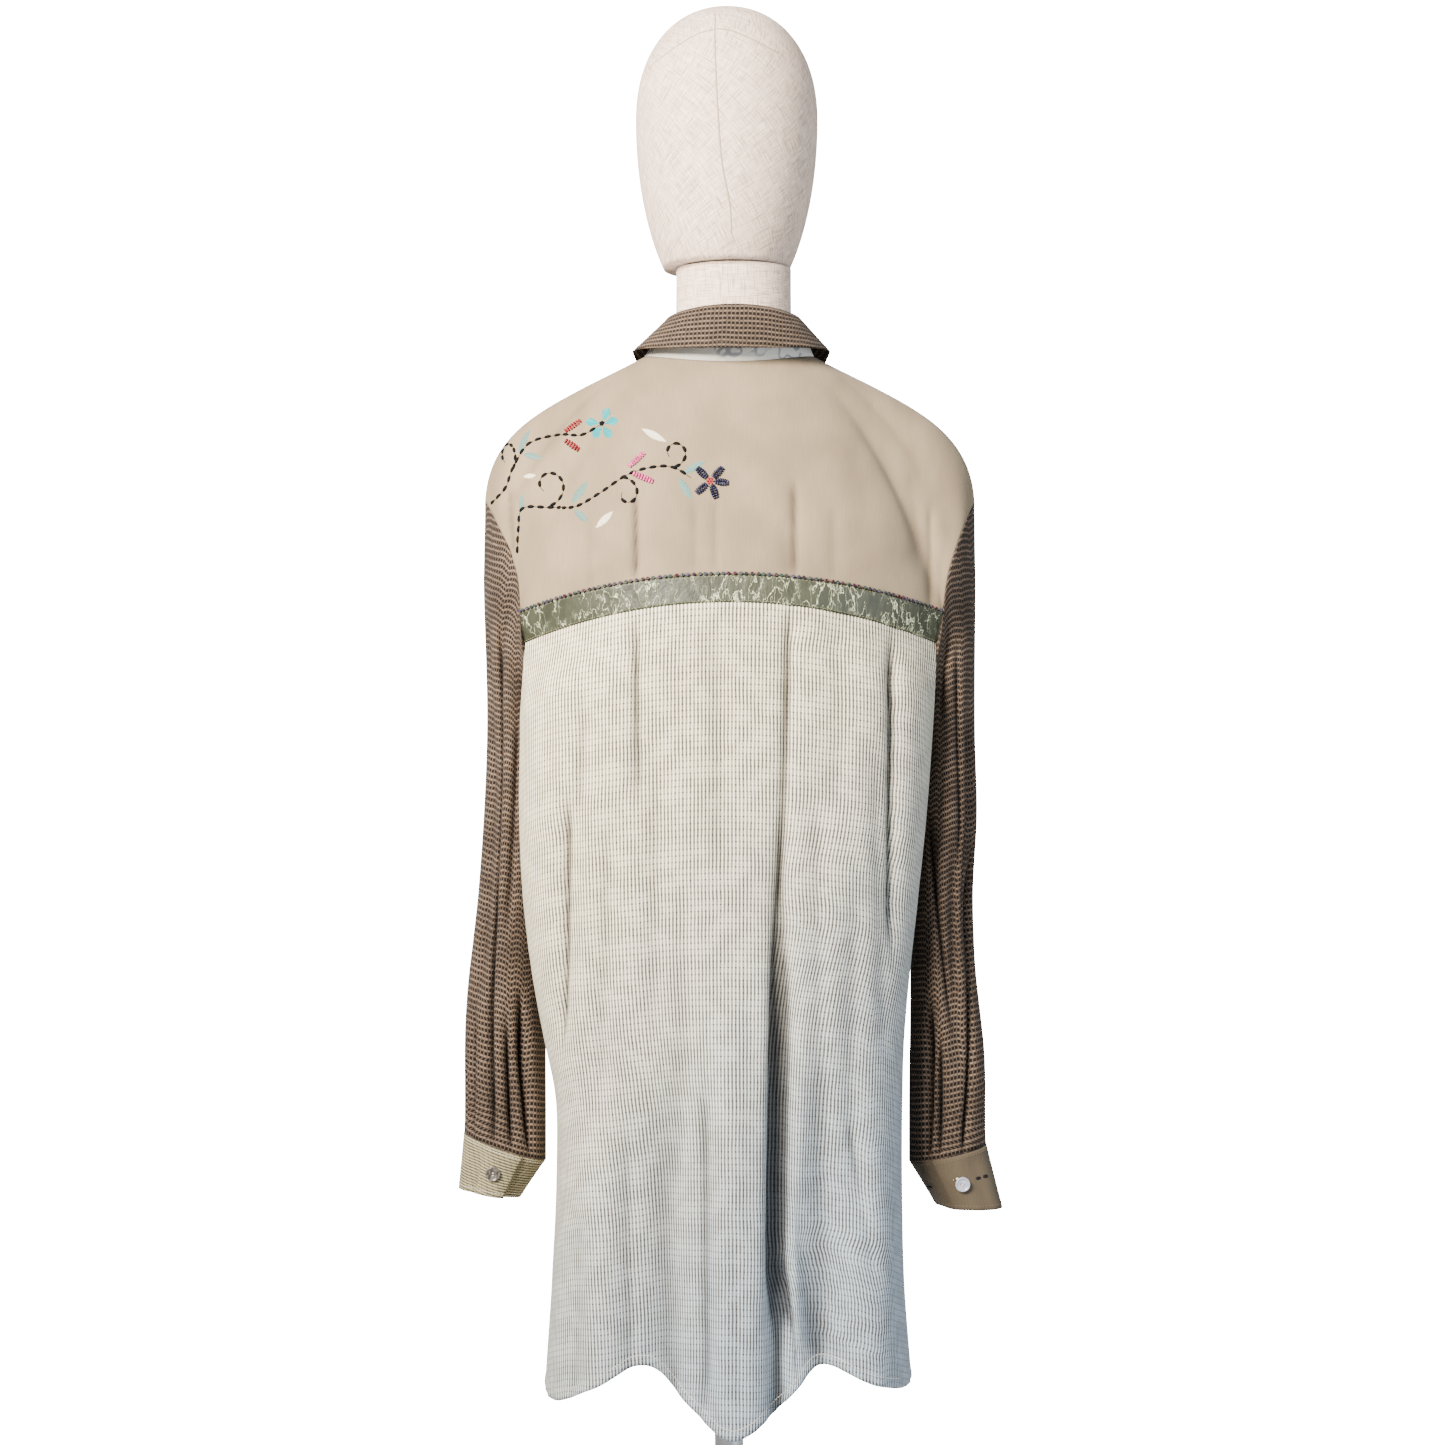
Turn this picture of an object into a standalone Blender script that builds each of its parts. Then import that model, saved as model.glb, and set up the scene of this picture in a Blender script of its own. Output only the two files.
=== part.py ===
"""Long-sleeved embroidered blouse, buttoned on a linen-covered dress form with an egg-shaped head.

Metres, +Z up, the wearer faces -Y and the wearer's left is +X. The origin is on the floor, under
the middle of the stand's base. Every cloth piece is an open surface, worked out from the sizes and
the tables below, with a Solidify modifier that gives it its wall on the inner side.
"""
from math import pi, radians

import bmesh
import bpy
import numpy as np
from mathutils import Matrix, Vector

# Cloth
WALL = 0.0012
SEAM_GAP = 0.0003
TURNED_SEAM_GAP = 0.0010
YOKE_SEAM_INSET = 0.0009
COLLAR_SEAM_GAP = 0.0004
BAND_INSET = 0.0004
BUTTON_LIFT = 0.0006

# Neck seam: an oval, higher at the sides of the neck than at centre back
NECK_HALF_WIDTH = 0.0740
NECK_BACK = 0.0560
NECK_FRONT = 0.0800
NECK_SIDE_Z = 1.3960
NECK_BACK_Z = 1.3860
NECK_FRONT_Z = 1.3450
NECK_FRONT_YOKE = radians(-28)
NECK_BAND_END = radians(40)

# Ribs that run from the neck seam over the shoulders
RIB_NEAR = 0.45
RIB_FAR = 0.97
RIB_FAR_AT_ARMHOLE = 0.86
RIB_DROP = 0.031
RIB_LIFT = 0.075
RIB_LIFT_AT_ARMHOLE = 0.045
RIB_NEAR_PULL = 0.50
CHEST_HALF_WIDTH = 0.186
CHEST_BACK = 0.122
CHEST_FRONT = 0.125
CHEST_SQUARENESS = 2.5
ARMHOLE_BACK_TURN = 0.25
ARMHOLE_BACK_REACH = 0.11

# Armhole seam, by turn from the shoulder (0) over the back (0.25) to the underarm (0.5)
ARMHOLE_COLUMNS = ("turn", "x_left", "x_right", "y", "z")
ARMHOLE_ROWS = (
    (0.000, 0.2125, 0.2136, -0.004, 1.2715),
    (0.125, 0.2000, 0.2030, 0.038, 1.2520),
    (0.250, 0.1800, 0.1860, 0.060, 1.2050),
    (0.375, 0.1755, 0.1775, 0.050, 1.1500),
    (0.500, 0.1630, 0.1630, 0.000, 1.1240),
    (0.625, 0.1660, 0.1660, -0.048, 1.1480),
    (0.750, 0.1780, 0.1780, -0.066, 1.1950),
    (0.875, 0.1990, 0.1990, -0.048, 1.2480),
)
BAND_TOP_TURN = 0.320
BAND_LOW_TURN = 0.385
FRONT_YOKE_TURN = -0.100

# Band across the back and the chest line across the front, where each crosses the middle
BAND_TOP_MIDDLE = (0.1250, 1.2005)
BAND_LOW_MIDDLE = (0.1265, 1.1782)
CHEST_MIDDLE = (-0.1290, 1.1400)
BAND_ROUNDNESS = 2.6
PLACE_BEND = 1.30
BAND_END_REACH = 0.07

# Body below the band: half widths at the back corner and at the side seam, depths back and front
BODY_COLUMNS = ("z", "corner_left", "corner_right", "side_left", "side_right", "back", "front")
BODY_ROWS = (
    (0.470, 0.1600, 0.1590, 0.1570, 0.1560, 0.1230, 0.1200),
    (0.525, 0.1580, 0.1565, 0.1560, 0.1545, 0.1220, 0.1200),
    (0.600, 0.1530, 0.1505, 0.1515, 0.1490, 0.1200, 0.1190),
    (0.768, 0.1515, 0.1500, 0.1490, 0.1475, 0.1210, 0.1200),
    (0.807, 0.1600, 0.1515, 0.1490, 0.1475, 0.1220, 0.1210),
    (0.860, 0.1700, 0.1560, 0.1490, 0.1475, 0.1235, 0.1225),
    (0.928, 0.1785, 0.1635, 0.1500, 0.1480, 0.1250, 0.1250),
    (1.013, 0.1820, 0.1720, 0.1510, 0.1500, 0.1270, 0.1280),
    (1.064, 0.1812, 0.1757, 0.1500, 0.1500, 0.1280, 0.1300),
    (1.130, 0.1812, 0.1795, 0.1540, 0.1540, 0.1275, 0.1300),
    (1.180, 0.1812, 0.1812, 0.1600, 0.1600, 0.1265, 0.1290),
)
BACK_SQUARENESS = 3.2
SECTION_WIDTH_TO_DEPTH = 1.35
ARC_STEPS = 720
FRONT_SQUARENESS = 2.3
PINCH_START = 0.80
TOP_BLEND = 0.10

# Hem outline of the back, by place across the back from the left side seam (0) to the right (1)
HEM_COLUMNS = ("across", "z")
HEM_ROWS = (
    (0.00, 0.5260),
    (0.08, 0.5130),
    (0.17, 0.5090),
    (0.26, 0.5260),
    (0.35, 0.5450),
    (0.43, 0.5120),
    (0.50, 0.4895),
    (0.58, 0.5080),
    (0.67, 0.5440),
    (0.76, 0.5280),
    (0.84, 0.5190),
    (0.93, 0.5210),
    (1.00, 0.5300),
)
FRONT_HEM_MIDDLE_Z = 0.5180

# Flutes of the back panel: place at the top and at the hem, height where they start, depth (out is
# positive) and width
FLUTE_COLUMNS = ("x_top", "x_low", "z_start", "depth", "width")
FLUTE_ROWS = (
    (0.0700, 0.0515, 0.820, -0.016, 0.020),
    (0.0050, -0.0060, 0.900, 0.016, 0.026),
    (-0.0480, -0.0400, 0.960, -0.012, 0.010),
    (-0.0760, -0.0790, 0.840, -0.014, 0.018),
    (0.1150, 0.1120, 0.800, 0.010, 0.022),
    (-0.1220, -0.1180, 0.800, 0.010, 0.020),
)
FLUTE_FADE = 0.160
FLUTE_TOP_Z = 1.150
FLUTE_FALL = 0.650

# Sleeves: x of the outer and inner sides, y of the back and front, down to the cuff seam
SLEEVE_COLUMNS = ("z", "outer", "inner", "back", "front")
SLEEVE_LEFT_ROWS = (
    (0.700, 0.2300, 0.1590, 0.028, -0.034),
    (0.745, 0.2330, 0.1600, 0.031, -0.044),
    (0.800, 0.2300, 0.1600, 0.033, -0.050),
    (0.860, 0.2265, 0.1600, 0.034, -0.054),
    (0.930, 0.2190, 0.1605, 0.036, -0.056),
    (1.000, 0.2140, 0.1610, 0.036, -0.058),
    (1.064, 0.2115, 0.1620, 0.035, -0.060),
    (1.200, 0.2140, 0.1660, 0.046, -0.066),
)
SLEEVE_RIGHT_ROWS = (
    (0.700, 0.2240, 0.1570, 0.028, -0.034),
    (0.745, 0.2200, 0.1575, 0.031, -0.044),
    (0.800, 0.2170, 0.1580, 0.033, -0.050),
    (0.860, 0.2150, 0.1585, 0.034, -0.054),
    (0.930, 0.2130, 0.1585, 0.036, -0.056),
    (1.000, 0.2165, 0.1590, 0.036, -0.058),
    (1.064, 0.2150, 0.1610, 0.035, -0.060),
    (1.200, 0.2150, 0.1660, 0.046, -0.066),
)
SLEEVE_BLEND = 0.14
ARMHOLE_TOP_REACH = 0.10
SLEEVE_FOOT_START = 0.70
SLEEVE_FOOT_END = 0.92

# Sleeve creases: turn, heights of the two ends, depth and width as a share of a turn
CREASE_COLUMNS = ("turn", "z_high", "z_low", "depth", "width")
CREASE_LEFT_ROWS = (
    (0.140, 1.080, 0.820, 0.006, 0.035),
    (0.230, 0.800, 0.700, 0.007, 0.030),
    (0.330, 0.830, 0.700, 0.009, 0.032),
    (0.620, 1.050, 0.800, 0.007, 0.040),
    (0.800, 0.900, 0.700, 0.008, 0.040),
)
CREASE_RIGHT_ROWS = (
    (0.110, 1.120, 0.840, 0.006, 0.035),
    (0.210, 1.000, 0.700, 0.007, 0.032),
    (0.330, 0.860, 0.700, 0.007, 0.030),
    (0.640, 1.060, 0.780, 0.007, 0.040),
    (0.810, 0.880, 0.700, 0.008, 0.040),
)
CREASE_FADE = 0.060

# Cuffs: middle and half sizes of the seam end and the wrist end, and how far the seam end slants
CUFF_COLUMNS = ("z", "x", "y", "half_x", "half_y", "slant")
CUFF_LEFT_ROWS = (
    (0.7110, 0.1948, -0.002, 0.0356, 0.031, 0.34),
    (0.6712, 0.2082, -0.002, 0.0262, 0.028, 0.16),
)
CUFF_RIGHT_ROWS = (
    (0.7050, -0.1902, -0.002, 0.0336, 0.030, -0.22),
    (0.6590, -0.2088, -0.002, 0.0290, 0.028, 0.02),
)
CUFF_START = radians(66)
CUFF_END = radians(360 + 118)
CUFF_LIFT_FROM = radians(350)
CUFF_LIFT_TO = radians(415)
CUFF_LIFT = WALL + 0.0010
CUFF_BUTTON_ANGLE = radians(88)

# Collar: the stand rises from the neck seam to the fold, and the fall turns down over it
FOLD_HALF_WIDTH = 0.0575
FOLD_SHIFT = -0.0040
FOLD_BACK = 0.0560
FOLD_FRONT = 0.0640
FOLD_BACK_Z = 1.4325
FOLD_SIDE_Z = 1.4270
FOLD_FRONT_Z = 1.3740
FALL_HALF_WIDTH = 0.0860
FALL_BACK = 0.0770
FALL_FRONT = 0.1080
FALL_BACK_Z = 1.3950
FALL_SIDE_Z = 1.4010
FALL_FRONT_Z = 1.3180
FALL_OPENING = radians(16)
FALL_END_CLEARANCE = 0.02
FOLD_CREST_OUT = 0.0010
FOLD_CREST_UP = 0.0006
FOLD_SHOULDER_OUT = 0.0042
FOLD_SHOULDER_DOWN = 0.0030

# Placket and buttons
PLACKET_LEFT = 0.0148
PLACKET_RIGHT = -0.0162
PLACKET_TOP_DROP = 0.0030
FRONT_LEFT_EDGE = -0.0140
FRONT_RIGHT_EDGE = 0.0143
BUTTON_RADIUS = 0.0055
BUTTON_THICKNESS = 0.0022
BUTTON_TAPER = 0.90
BUTTON_HEIGHTS = (1.300, 1.225, 1.150, 1.062, 0.974, 0.886, 0.798)
CUFF_BUTTON_RADIUS = 0.0064

# Dress form: half width, back depth and front depth, from its flat underside to below the arms
FORM_COLUMNS = ("z", "half_width", "back", "front")
FORM_ROWS = (
    (0.700, 0.1380, 0.100, 0.096),
    (0.770, 0.1400, 0.106, 0.100),
    (0.840, 0.1320, 0.098, 0.096),
    (0.915, 0.1200, 0.086, 0.090),
    (0.980, 0.1240, 0.090, 0.098),
    (1.050, 0.1370, 0.102, 0.116),
    (1.110, 0.1450, 0.108, 0.114),
    (1.180, 0.1560, 0.106, 0.092),
)
FORM_SHOULDER_HALF_WIDTH = 0.1980
FORM_SHOULDER_BACK = 0.0690
FORM_SHOULDER_FRONT = 0.0740
FORM_SHOULDER_Z = 1.2600
FORM_SQUARENESS = 2.15
FORM_NECK_FOOT_SCALE = (0.88, 0.82, 1.0)
FORM_SHOULDER_DROP = -0.0017
FORM_ROUND_EASE = 0.0130
FORM_NECK_COLUMNS = ("z", "radius")
FORM_NECK_ROWS = (
    (1.4110, 0.0520),
    (1.4280, 0.0505),
    (1.4500, 0.0500),
    (1.4722, 0.0500),
)
FORM_NECK_X = -0.0040

# Head: two half ovals of revolution, deeper from front to back than it is wide
HEAD_X = 0.0020
HEAD_Y = -0.0060
HEAD_RADIUS = 0.0793
HEAD_MIDDLE_Z = 1.6020
HEAD_TOP_Z = 1.7000
HEAD_FOOT_Z = 1.4725
HEAD_FOOT_RADIUS = 0.0500
HEAD_LOWER_REACH = 0.1780
HEAD_DEPTH_SCALE = 1.16
HEAD_TOP_SQUARENESS = 2.2
HEAD_FOOT_LEVEL = -0.66

# Stand
BASE_RADIUS = 0.170
BASE_HEIGHT = 0.012
HUB_RADIUS = 0.028
HUB_HEIGHT = 0.030
POLE_RADIUS = 0.0125
EDGE_CHAMFER = 0.004

# Numbers of segments
BACK_SEGMENTS = 22
YOKE_SIDE_SEGMENTS = 8
BAND_SEGMENTS = 2
UNDERARM_SEGMENTS = 3
FRONT_ARMHOLE_SEGMENTS = 6
FRONT_SEGMENTS = 7
YOKE_ROWS = 7
BACK_ROWS = 15
FRONT_UPPER_ROWS = 6
FRONT_LOWER_ROWS = 11
CHEST_STEPS = 60
SLEEVE_ROWS = 13
CUFF_SEGMENTS = 22
CUFF_ROWS = 2
STAND_ROWS = 2
FALL_ROWS = 3
FORM_SEGMENTS = 32
FORM_SHOULDER_ROWS = 6
FORM_BODY_ROWS = 12
HEAD_SEGMENTS = 26
HEAD_ROWS = 13
BUTTON_SIDES = 16
STAND_SIDES = 36
MERGE_DISTANCE = 0.00005

# Colours as linear values
TAUPE = (0.56, 0.48, 0.38)
MOSS = (0.25, 0.26, 0.15)
CREAM = (0.74, 0.71, 0.64)
BROWN_CHECK = (0.085, 0.055, 0.042)
LINEN = (0.70, 0.62, 0.56)
HORN = (0.16, 0.14, 0.12)
SHELL = (0.62, 0.62, 0.68)
STEEL = (0.48, 0.48, 0.49)


def table(columns, rows):
    """Return a dictionary of named columns."""
    values = np.array(rows, dtype=float)
    return {name: values[:, i] for i, name in enumerate(columns)}


def ease(value):
    """Smooth step from 0 to 1."""
    t = np.clip(value, 0.0, 1.0)
    return t * t * (3.0 - 2.0 * t)


def through(stations, values, at):
    """Cubic Hermite curve through the values, with slopes from their neighbours."""
    slopes = np.gradient(values, stations)
    at = np.clip(at, stations[0], stations[-1])
    i = np.clip(np.searchsorted(stations, at) - 1, 0, len(stations) - 2)
    step = stations[i + 1] - stations[i]
    t = (at - stations[i]) / step
    start = (1 + 2 * t) * (1 - t) ** 2 * values[i] + t * (1 - t) ** 2 * step * slopes[i]
    end = t * t * (3 - 2 * t) * values[i + 1] + t * t * (t - 1) * step * slopes[i + 1]
    return start + end


def neck_seam(angle):
    """Points on the neck seam; 90 degrees is centre back and 0 the wearer's left."""
    sine = np.sin(angle)
    x = NECK_HALF_WIDTH * np.cos(angle)
    y = np.where(sine > 0, NECK_BACK, NECK_FRONT) * sine
    back_z = NECK_SIDE_Z + (NECK_BACK_Z - NECK_SIDE_Z) * sine ** 2
    front_z = NECK_SIDE_Z + (NECK_FRONT_Z - NECK_SIDE_Z) * np.abs(sine) ** 1.5
    return np.stack((x, y, np.where(sine > 0, back_z, front_z)), axis=-1)


def armhole(side, turn):
    """Points on the armhole seam of the left (side 1) or right (side -1)."""
    data = table(ARMHOLE_COLUMNS, ARMHOLE_ROWS)
    turns = np.concatenate((data["turn"] - 1, data["turn"], data["turn"] + 1))
    x_name = "x_left" if side > 0 else "x_right"
    x, y, z = (through(turns, np.tile(data[name], 3), turn) for name in (x_name, "y", "z"))
    return np.stack((side * x, y, z), axis=-1)


def cross_line(end, middle, roundness, place, drop=1.0):
    """Line across the body from its end at one side (place 1) to its middle (0) and past it."""
    reach = np.abs(place)
    x = end[0] * place
    y = end[1] + (middle[0] - end[1]) * (1 - reach ** roundness) ** drop
    z = end[2] + (middle[1] - end[2]) * (1 - reach ** 2)
    return np.stack((x, y, z), axis=-1)


def chest_line(place):
    """Line across the front, which leaves the underarm straight forward."""
    square = FRONT_SQUARENESS
    return cross_line(armhole(1, 0.5), CHEST_MIDDLE, square, place, 1 / square)


def places(first, last, count):
    """Places along a line across the body, closer together towards its ends where it turns."""
    edge = np.sin(PLACE_BEND)
    bends = np.linspace(np.arcsin(first * edge), np.arcsin(last * edge), count + 1)
    return np.sin(bends) / edge


def back_line(turn, middle):
    """Line across the back, from left to right, between the same turn of both armholes."""
    place = places(-1.0, 1.0, BACK_SEGMENTS)
    left = cross_line(armhole(1, turn), middle, BAND_ROUNDNESS, -place)
    right = cross_line(armhole(-1, turn), middle, BAND_ROUNDNESS, place)
    return np.where(place[:, None] < 0, left, right)


def armhole_share(turn):
    """How far a rib meets the upright part of the armhole: 1 at its back or front, 0 far off."""
    return np.exp(-((np.abs(turn) - ARMHOLE_BACK_TURN) / ARMHOLE_BACK_REACH) ** 2)


def chest_pull(points):
    """How far points must move forwards or backwards to lie on the oval of the chest."""
    reach = np.minimum(np.abs(points[:, 0]) / CHEST_HALF_WIDTH, 1.0)
    full = np.where(points[:, 1] > 0, CHEST_BACK, CHEST_FRONT)
    depth = full * (1 - reach ** CHEST_SQUARENESS) ** (1 / CHEST_SQUARENESS)
    return np.sign(points[:, 1]) * np.maximum(depth - np.abs(points[:, 1]), 0.0)


def ribs(neck, outer, sideways, rows, fullness=1.0):
    """Grid of cubic ribs that leave the neck seam sloping and reach the outer points hanging.

    Where sideways is 1 a rib arrives more from the middle.
    """
    s = np.linspace(0.0, 1.0, rows + 1)[:, None, None]
    reach = RIB_FAR + (RIB_FAR_AT_ARMHOLE - RIB_FAR) * sideways
    lift = RIB_LIFT + (RIB_LIFT_AT_ARMHOLE - RIB_LIFT) * sideways
    near = neck + RIB_NEAR * (outer - neck)
    far = neck + reach[:, None] * (outer - neck)
    near[:, 2] = neck[:, 2] - RIB_DROP
    far[:, 2] = outer[:, 2] + lift
    pull = fullness * chest_pull(far)
    near[:, 1] += RIB_NEAR_PULL * pull
    far[:, 1] += pull
    inner_part = neck * (1 - s) ** 3 + near * 3 * s * (1 - s) ** 2
    return inner_part + far * 3 * s ** 2 * (1 - s) + outer * s ** 3


def unit_arc(squareness, share):
    """Quarter superellipse by share of its length, from the side (1, 0) to the middle (0, 1)."""
    angle = np.linspace(0.0, pi / 2, ARC_STEPS + 1)
    x = np.cos(angle) ** (2 / squareness)
    y = np.sin(angle) ** (2 / squareness)
    length = np.concatenate(([0.0], np.cumsum(np.hypot(SECTION_WIDTH_TO_DEPTH * np.diff(x), np.diff(y)))))
    at = share * length[-1]
    return np.interp(at, length, x), np.interp(at, length, y)


def body_at(name, z):
    """Value of one column of the body's sections at heights z."""
    data = table(BODY_COLUMNS, BODY_ROWS)
    return through(data["z"], data[name], z)


def back_section(across, z):
    """Back of the body at heights z, from the left side seam (across 0) to the right (1)."""
    left = across < 0.5
    share = 1 - np.abs(2 * across - 1)
    unit_x, unit_y = unit_arc(BACK_SQUARENESS, share)
    corner = np.where(left, body_at("corner_left", z), body_at("corner_right", z))
    seam = np.where(left, body_at("side_left", z), body_at("side_right", z))
    pinch = (corner - seam) * ease((1 - share - PINCH_START) / (1 - PINCH_START))
    x = np.where(left, 1, -1) * (corner * unit_x - pinch)
    return np.stack((x, body_at("back", z) * unit_y, z), axis=-1)


def front_section(side, share, z):
    """Front of the body at heights z, from the side seam (share 0) to centre front (1)."""
    unit_x, unit_y = unit_arc(FRONT_SQUARENESS, share)
    seam = body_at("side_left" if side > 0 else "side_right", z)
    return np.stack((seam * unit_x, -body_at("front", z) * unit_y, z), axis=-1)


def flutes(x, z):
    """Depth of the back panel's flutes at places x and heights z."""
    data = table(FLUTE_COLUMNS, FLUTE_ROWS)
    depth = np.zeros_like(x)
    for i in range(len(FLUTE_ROWS)):
        fall = ease((data["z_start"][i] - z) / FLUTE_FADE)
        down = np.clip((FLUTE_TOP_Z - z) / FLUTE_FALL, 0.0, 1.0)
        middle = data["x_top"][i] + (data["x_low"][i] - data["x_top"][i]) * down
        depth += data["depth"][i] * fall * np.exp(-((x - middle) / data["width"][i]) ** 2)
    return depth


def line_lengths(points):
    """Length along a line of points at each point."""
    steps = np.linalg.norm(np.diff(points, axis=0), axis=1)
    return np.concatenate(([0.0], np.cumsum(steps)))


def yoke_angles():
    """Angles round the neck of the yoke's ribs, from the left front seam to the right one."""
    side = np.linspace(NECK_FRONT_YOKE, NECK_BAND_END, YOKE_SIDE_SEGMENTS + 1)[:-1]
    back = np.linspace(NECK_BAND_END, pi - NECK_BAND_END, BACK_SEGMENTS + 1)
    return np.concatenate((side, back, pi - side[::-1]))


def front_angles(edge):
    """Angles round the neck of one front's ribs, to the x of its edge as seen on the left."""
    last = -np.arccos(edge / NECK_HALF_WIDTH)
    return np.linspace(NECK_FRONT_YOKE, last, FRONT_ARMHOLE_SEGMENTS + FRONT_SEGMENTS + 1)


def yoke_grid():
    """Back yoke: ribs over the back and over both shoulders to the front yoke seams."""
    turns = np.linspace(FRONT_YOKE_TURN, BAND_TOP_TURN, YOKE_SIDE_SEGMENTS + 1)
    line = back_line(BAND_TOP_TURN, BAND_TOP_MIDDLE)
    outer = np.concatenate((armhole(1, turns)[:-1], line, armhole(-1, turns)[::-1][1:]))
    side_share = armhole_share(turns[:-1])
    from_end = 1 - np.abs(places(-1.0, 1.0, BACK_SEGMENTS))
    back_share = armhole_share(BAND_TOP_TURN) * np.exp(-(from_end / BAND_END_REACH) ** 2)
    sideways = np.concatenate((side_share, back_share, side_share[::-1]))
    return ribs(neck_seam(yoke_angles()), outer, sideways, YOKE_ROWS)


def band_grid():
    """Green band between the yoke and the back panel."""
    top = back_line(BAND_TOP_TURN, BAND_TOP_MIDDLE)
    low = back_line(BAND_LOW_TURN, BAND_LOW_MIDDLE)
    t = np.linspace(0.0, 1.0, BAND_SEGMENTS + 1)[:, None, None]
    grid = top * (1 - t) + low * t
    turns = np.linspace(BAND_TOP_TURN, BAND_LOW_TURN, BAND_SEGMENTS + 1)
    grid[:, 0] = armhole(1, turns)
    grid[:, -1] = armhole(-1, turns)
    return grid


def back_panel_grid():
    """Back panel from the band and the lower armholes to the three-lobed hem."""
    turns = np.linspace(0.5, BAND_LOW_TURN, UNDERARM_SEGMENTS + 1)
    line = back_line(BAND_LOW_TURN, BAND_LOW_MIDDLE)
    top = np.concatenate((armhole(1, turns)[:-1], line, armhole(-1, turns)[::-1][1:]))
    across = line_lengths(top)
    across /= across[-1]
    hem = table(HEM_COLUMNS, HEM_ROWS)
    hem_z = through(hem["across"], hem["z"], across)
    t = np.linspace(0.0, 1.0, BACK_ROWS + 1)[:, None]
    z = top[:, 2] * (1 - t) + hem_z * t
    section = back_section(np.broadcast_to(across, z.shape), z)
    grid = section.copy()
    blend = ease(t / TOP_BLEND)[..., None]
    grid[..., :2] = top[:, :2] * (1 - blend) + section[..., :2] * blend
    return grid + outward(grid) * flutes(grid[..., 0], z)[..., None]


def front_grids(side, edge):
    """Upper and lower grids of one front, which share the chest line.

    The edge is the x of its front edge on the left body, before the right front is mirrored.
    """
    turns = np.linspace(FRONT_YOKE_TURN, -0.5, FRONT_ARMHOLE_SEGMENTS + 1)
    underarm = armhole(1, 0.5)
    place = places(1.0, edge / underarm[0], FRONT_SEGMENTS)
    chest = chest_line(place)
    outer = np.concatenate((armhole(1, turns)[:-1], chest))
    armhole_part = armhole_share(turns[:-1])
    sideways = np.concatenate((armhole_part, np.zeros(len(chest))))
    upper = ribs(neck_seam(front_angles(edge)), outer, sideways, FRONT_UPPER_ROWS)
    half = line_lengths(chest_line(places(1.0, 0.0, CHEST_STEPS)))[-1]
    shares = np.minimum(line_lengths(chest) / half, 1.0)
    t = np.linspace(0.0, 1.0, FRONT_LOWER_ROWS + 1)[:, None]
    side_hem = HEM_ROWS[0][1] if side > 0 else HEM_ROWS[-1][1]
    hem_z = side_hem + (FRONT_HEM_MIDDLE_Z - side_hem) * ease(shares)
    z = chest[:, 2] * (1 - t) + hem_z * t
    section = front_section(side, np.broadcast_to(shares, z.shape), z)
    section[:, -1, 0] = edge
    blend = ease(t / TOP_BLEND)[..., None]
    lower = section.copy()
    lower[..., :2] = chest[:, :2] * (1 - blend) + section[..., :2] * blend
    mirror = np.array((side, 1, 1))
    return upper * mirror, lower * mirror


def outward(grid):
    """Unit vectors across the surface, level with the floor and away from the body's axis."""
    across = np.gradient(grid, axis=1)
    vectors = np.stack((across[..., 1], -across[..., 0], np.zeros(grid.shape[:2])), axis=-1)
    vectors /= np.linalg.norm(vectors, axis=-1, keepdims=True)
    facing = np.sum(vectors[..., :2] * grid[..., :2], axis=-1)
    return vectors * np.sign(np.sum(facing))


def normals(grid):
    """Unit normals of a grid, on the side away from the body's axis."""
    down = np.gradient(grid, axis=0)
    across = np.gradient(grid, axis=1)
    vectors = np.cross(across, down)
    vectors /= np.linalg.norm(vectors, axis=-1, keepdims=True)
    facing = np.sum(vectors[..., :2] * grid[..., :2])
    return vectors * np.sign(facing)


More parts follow.
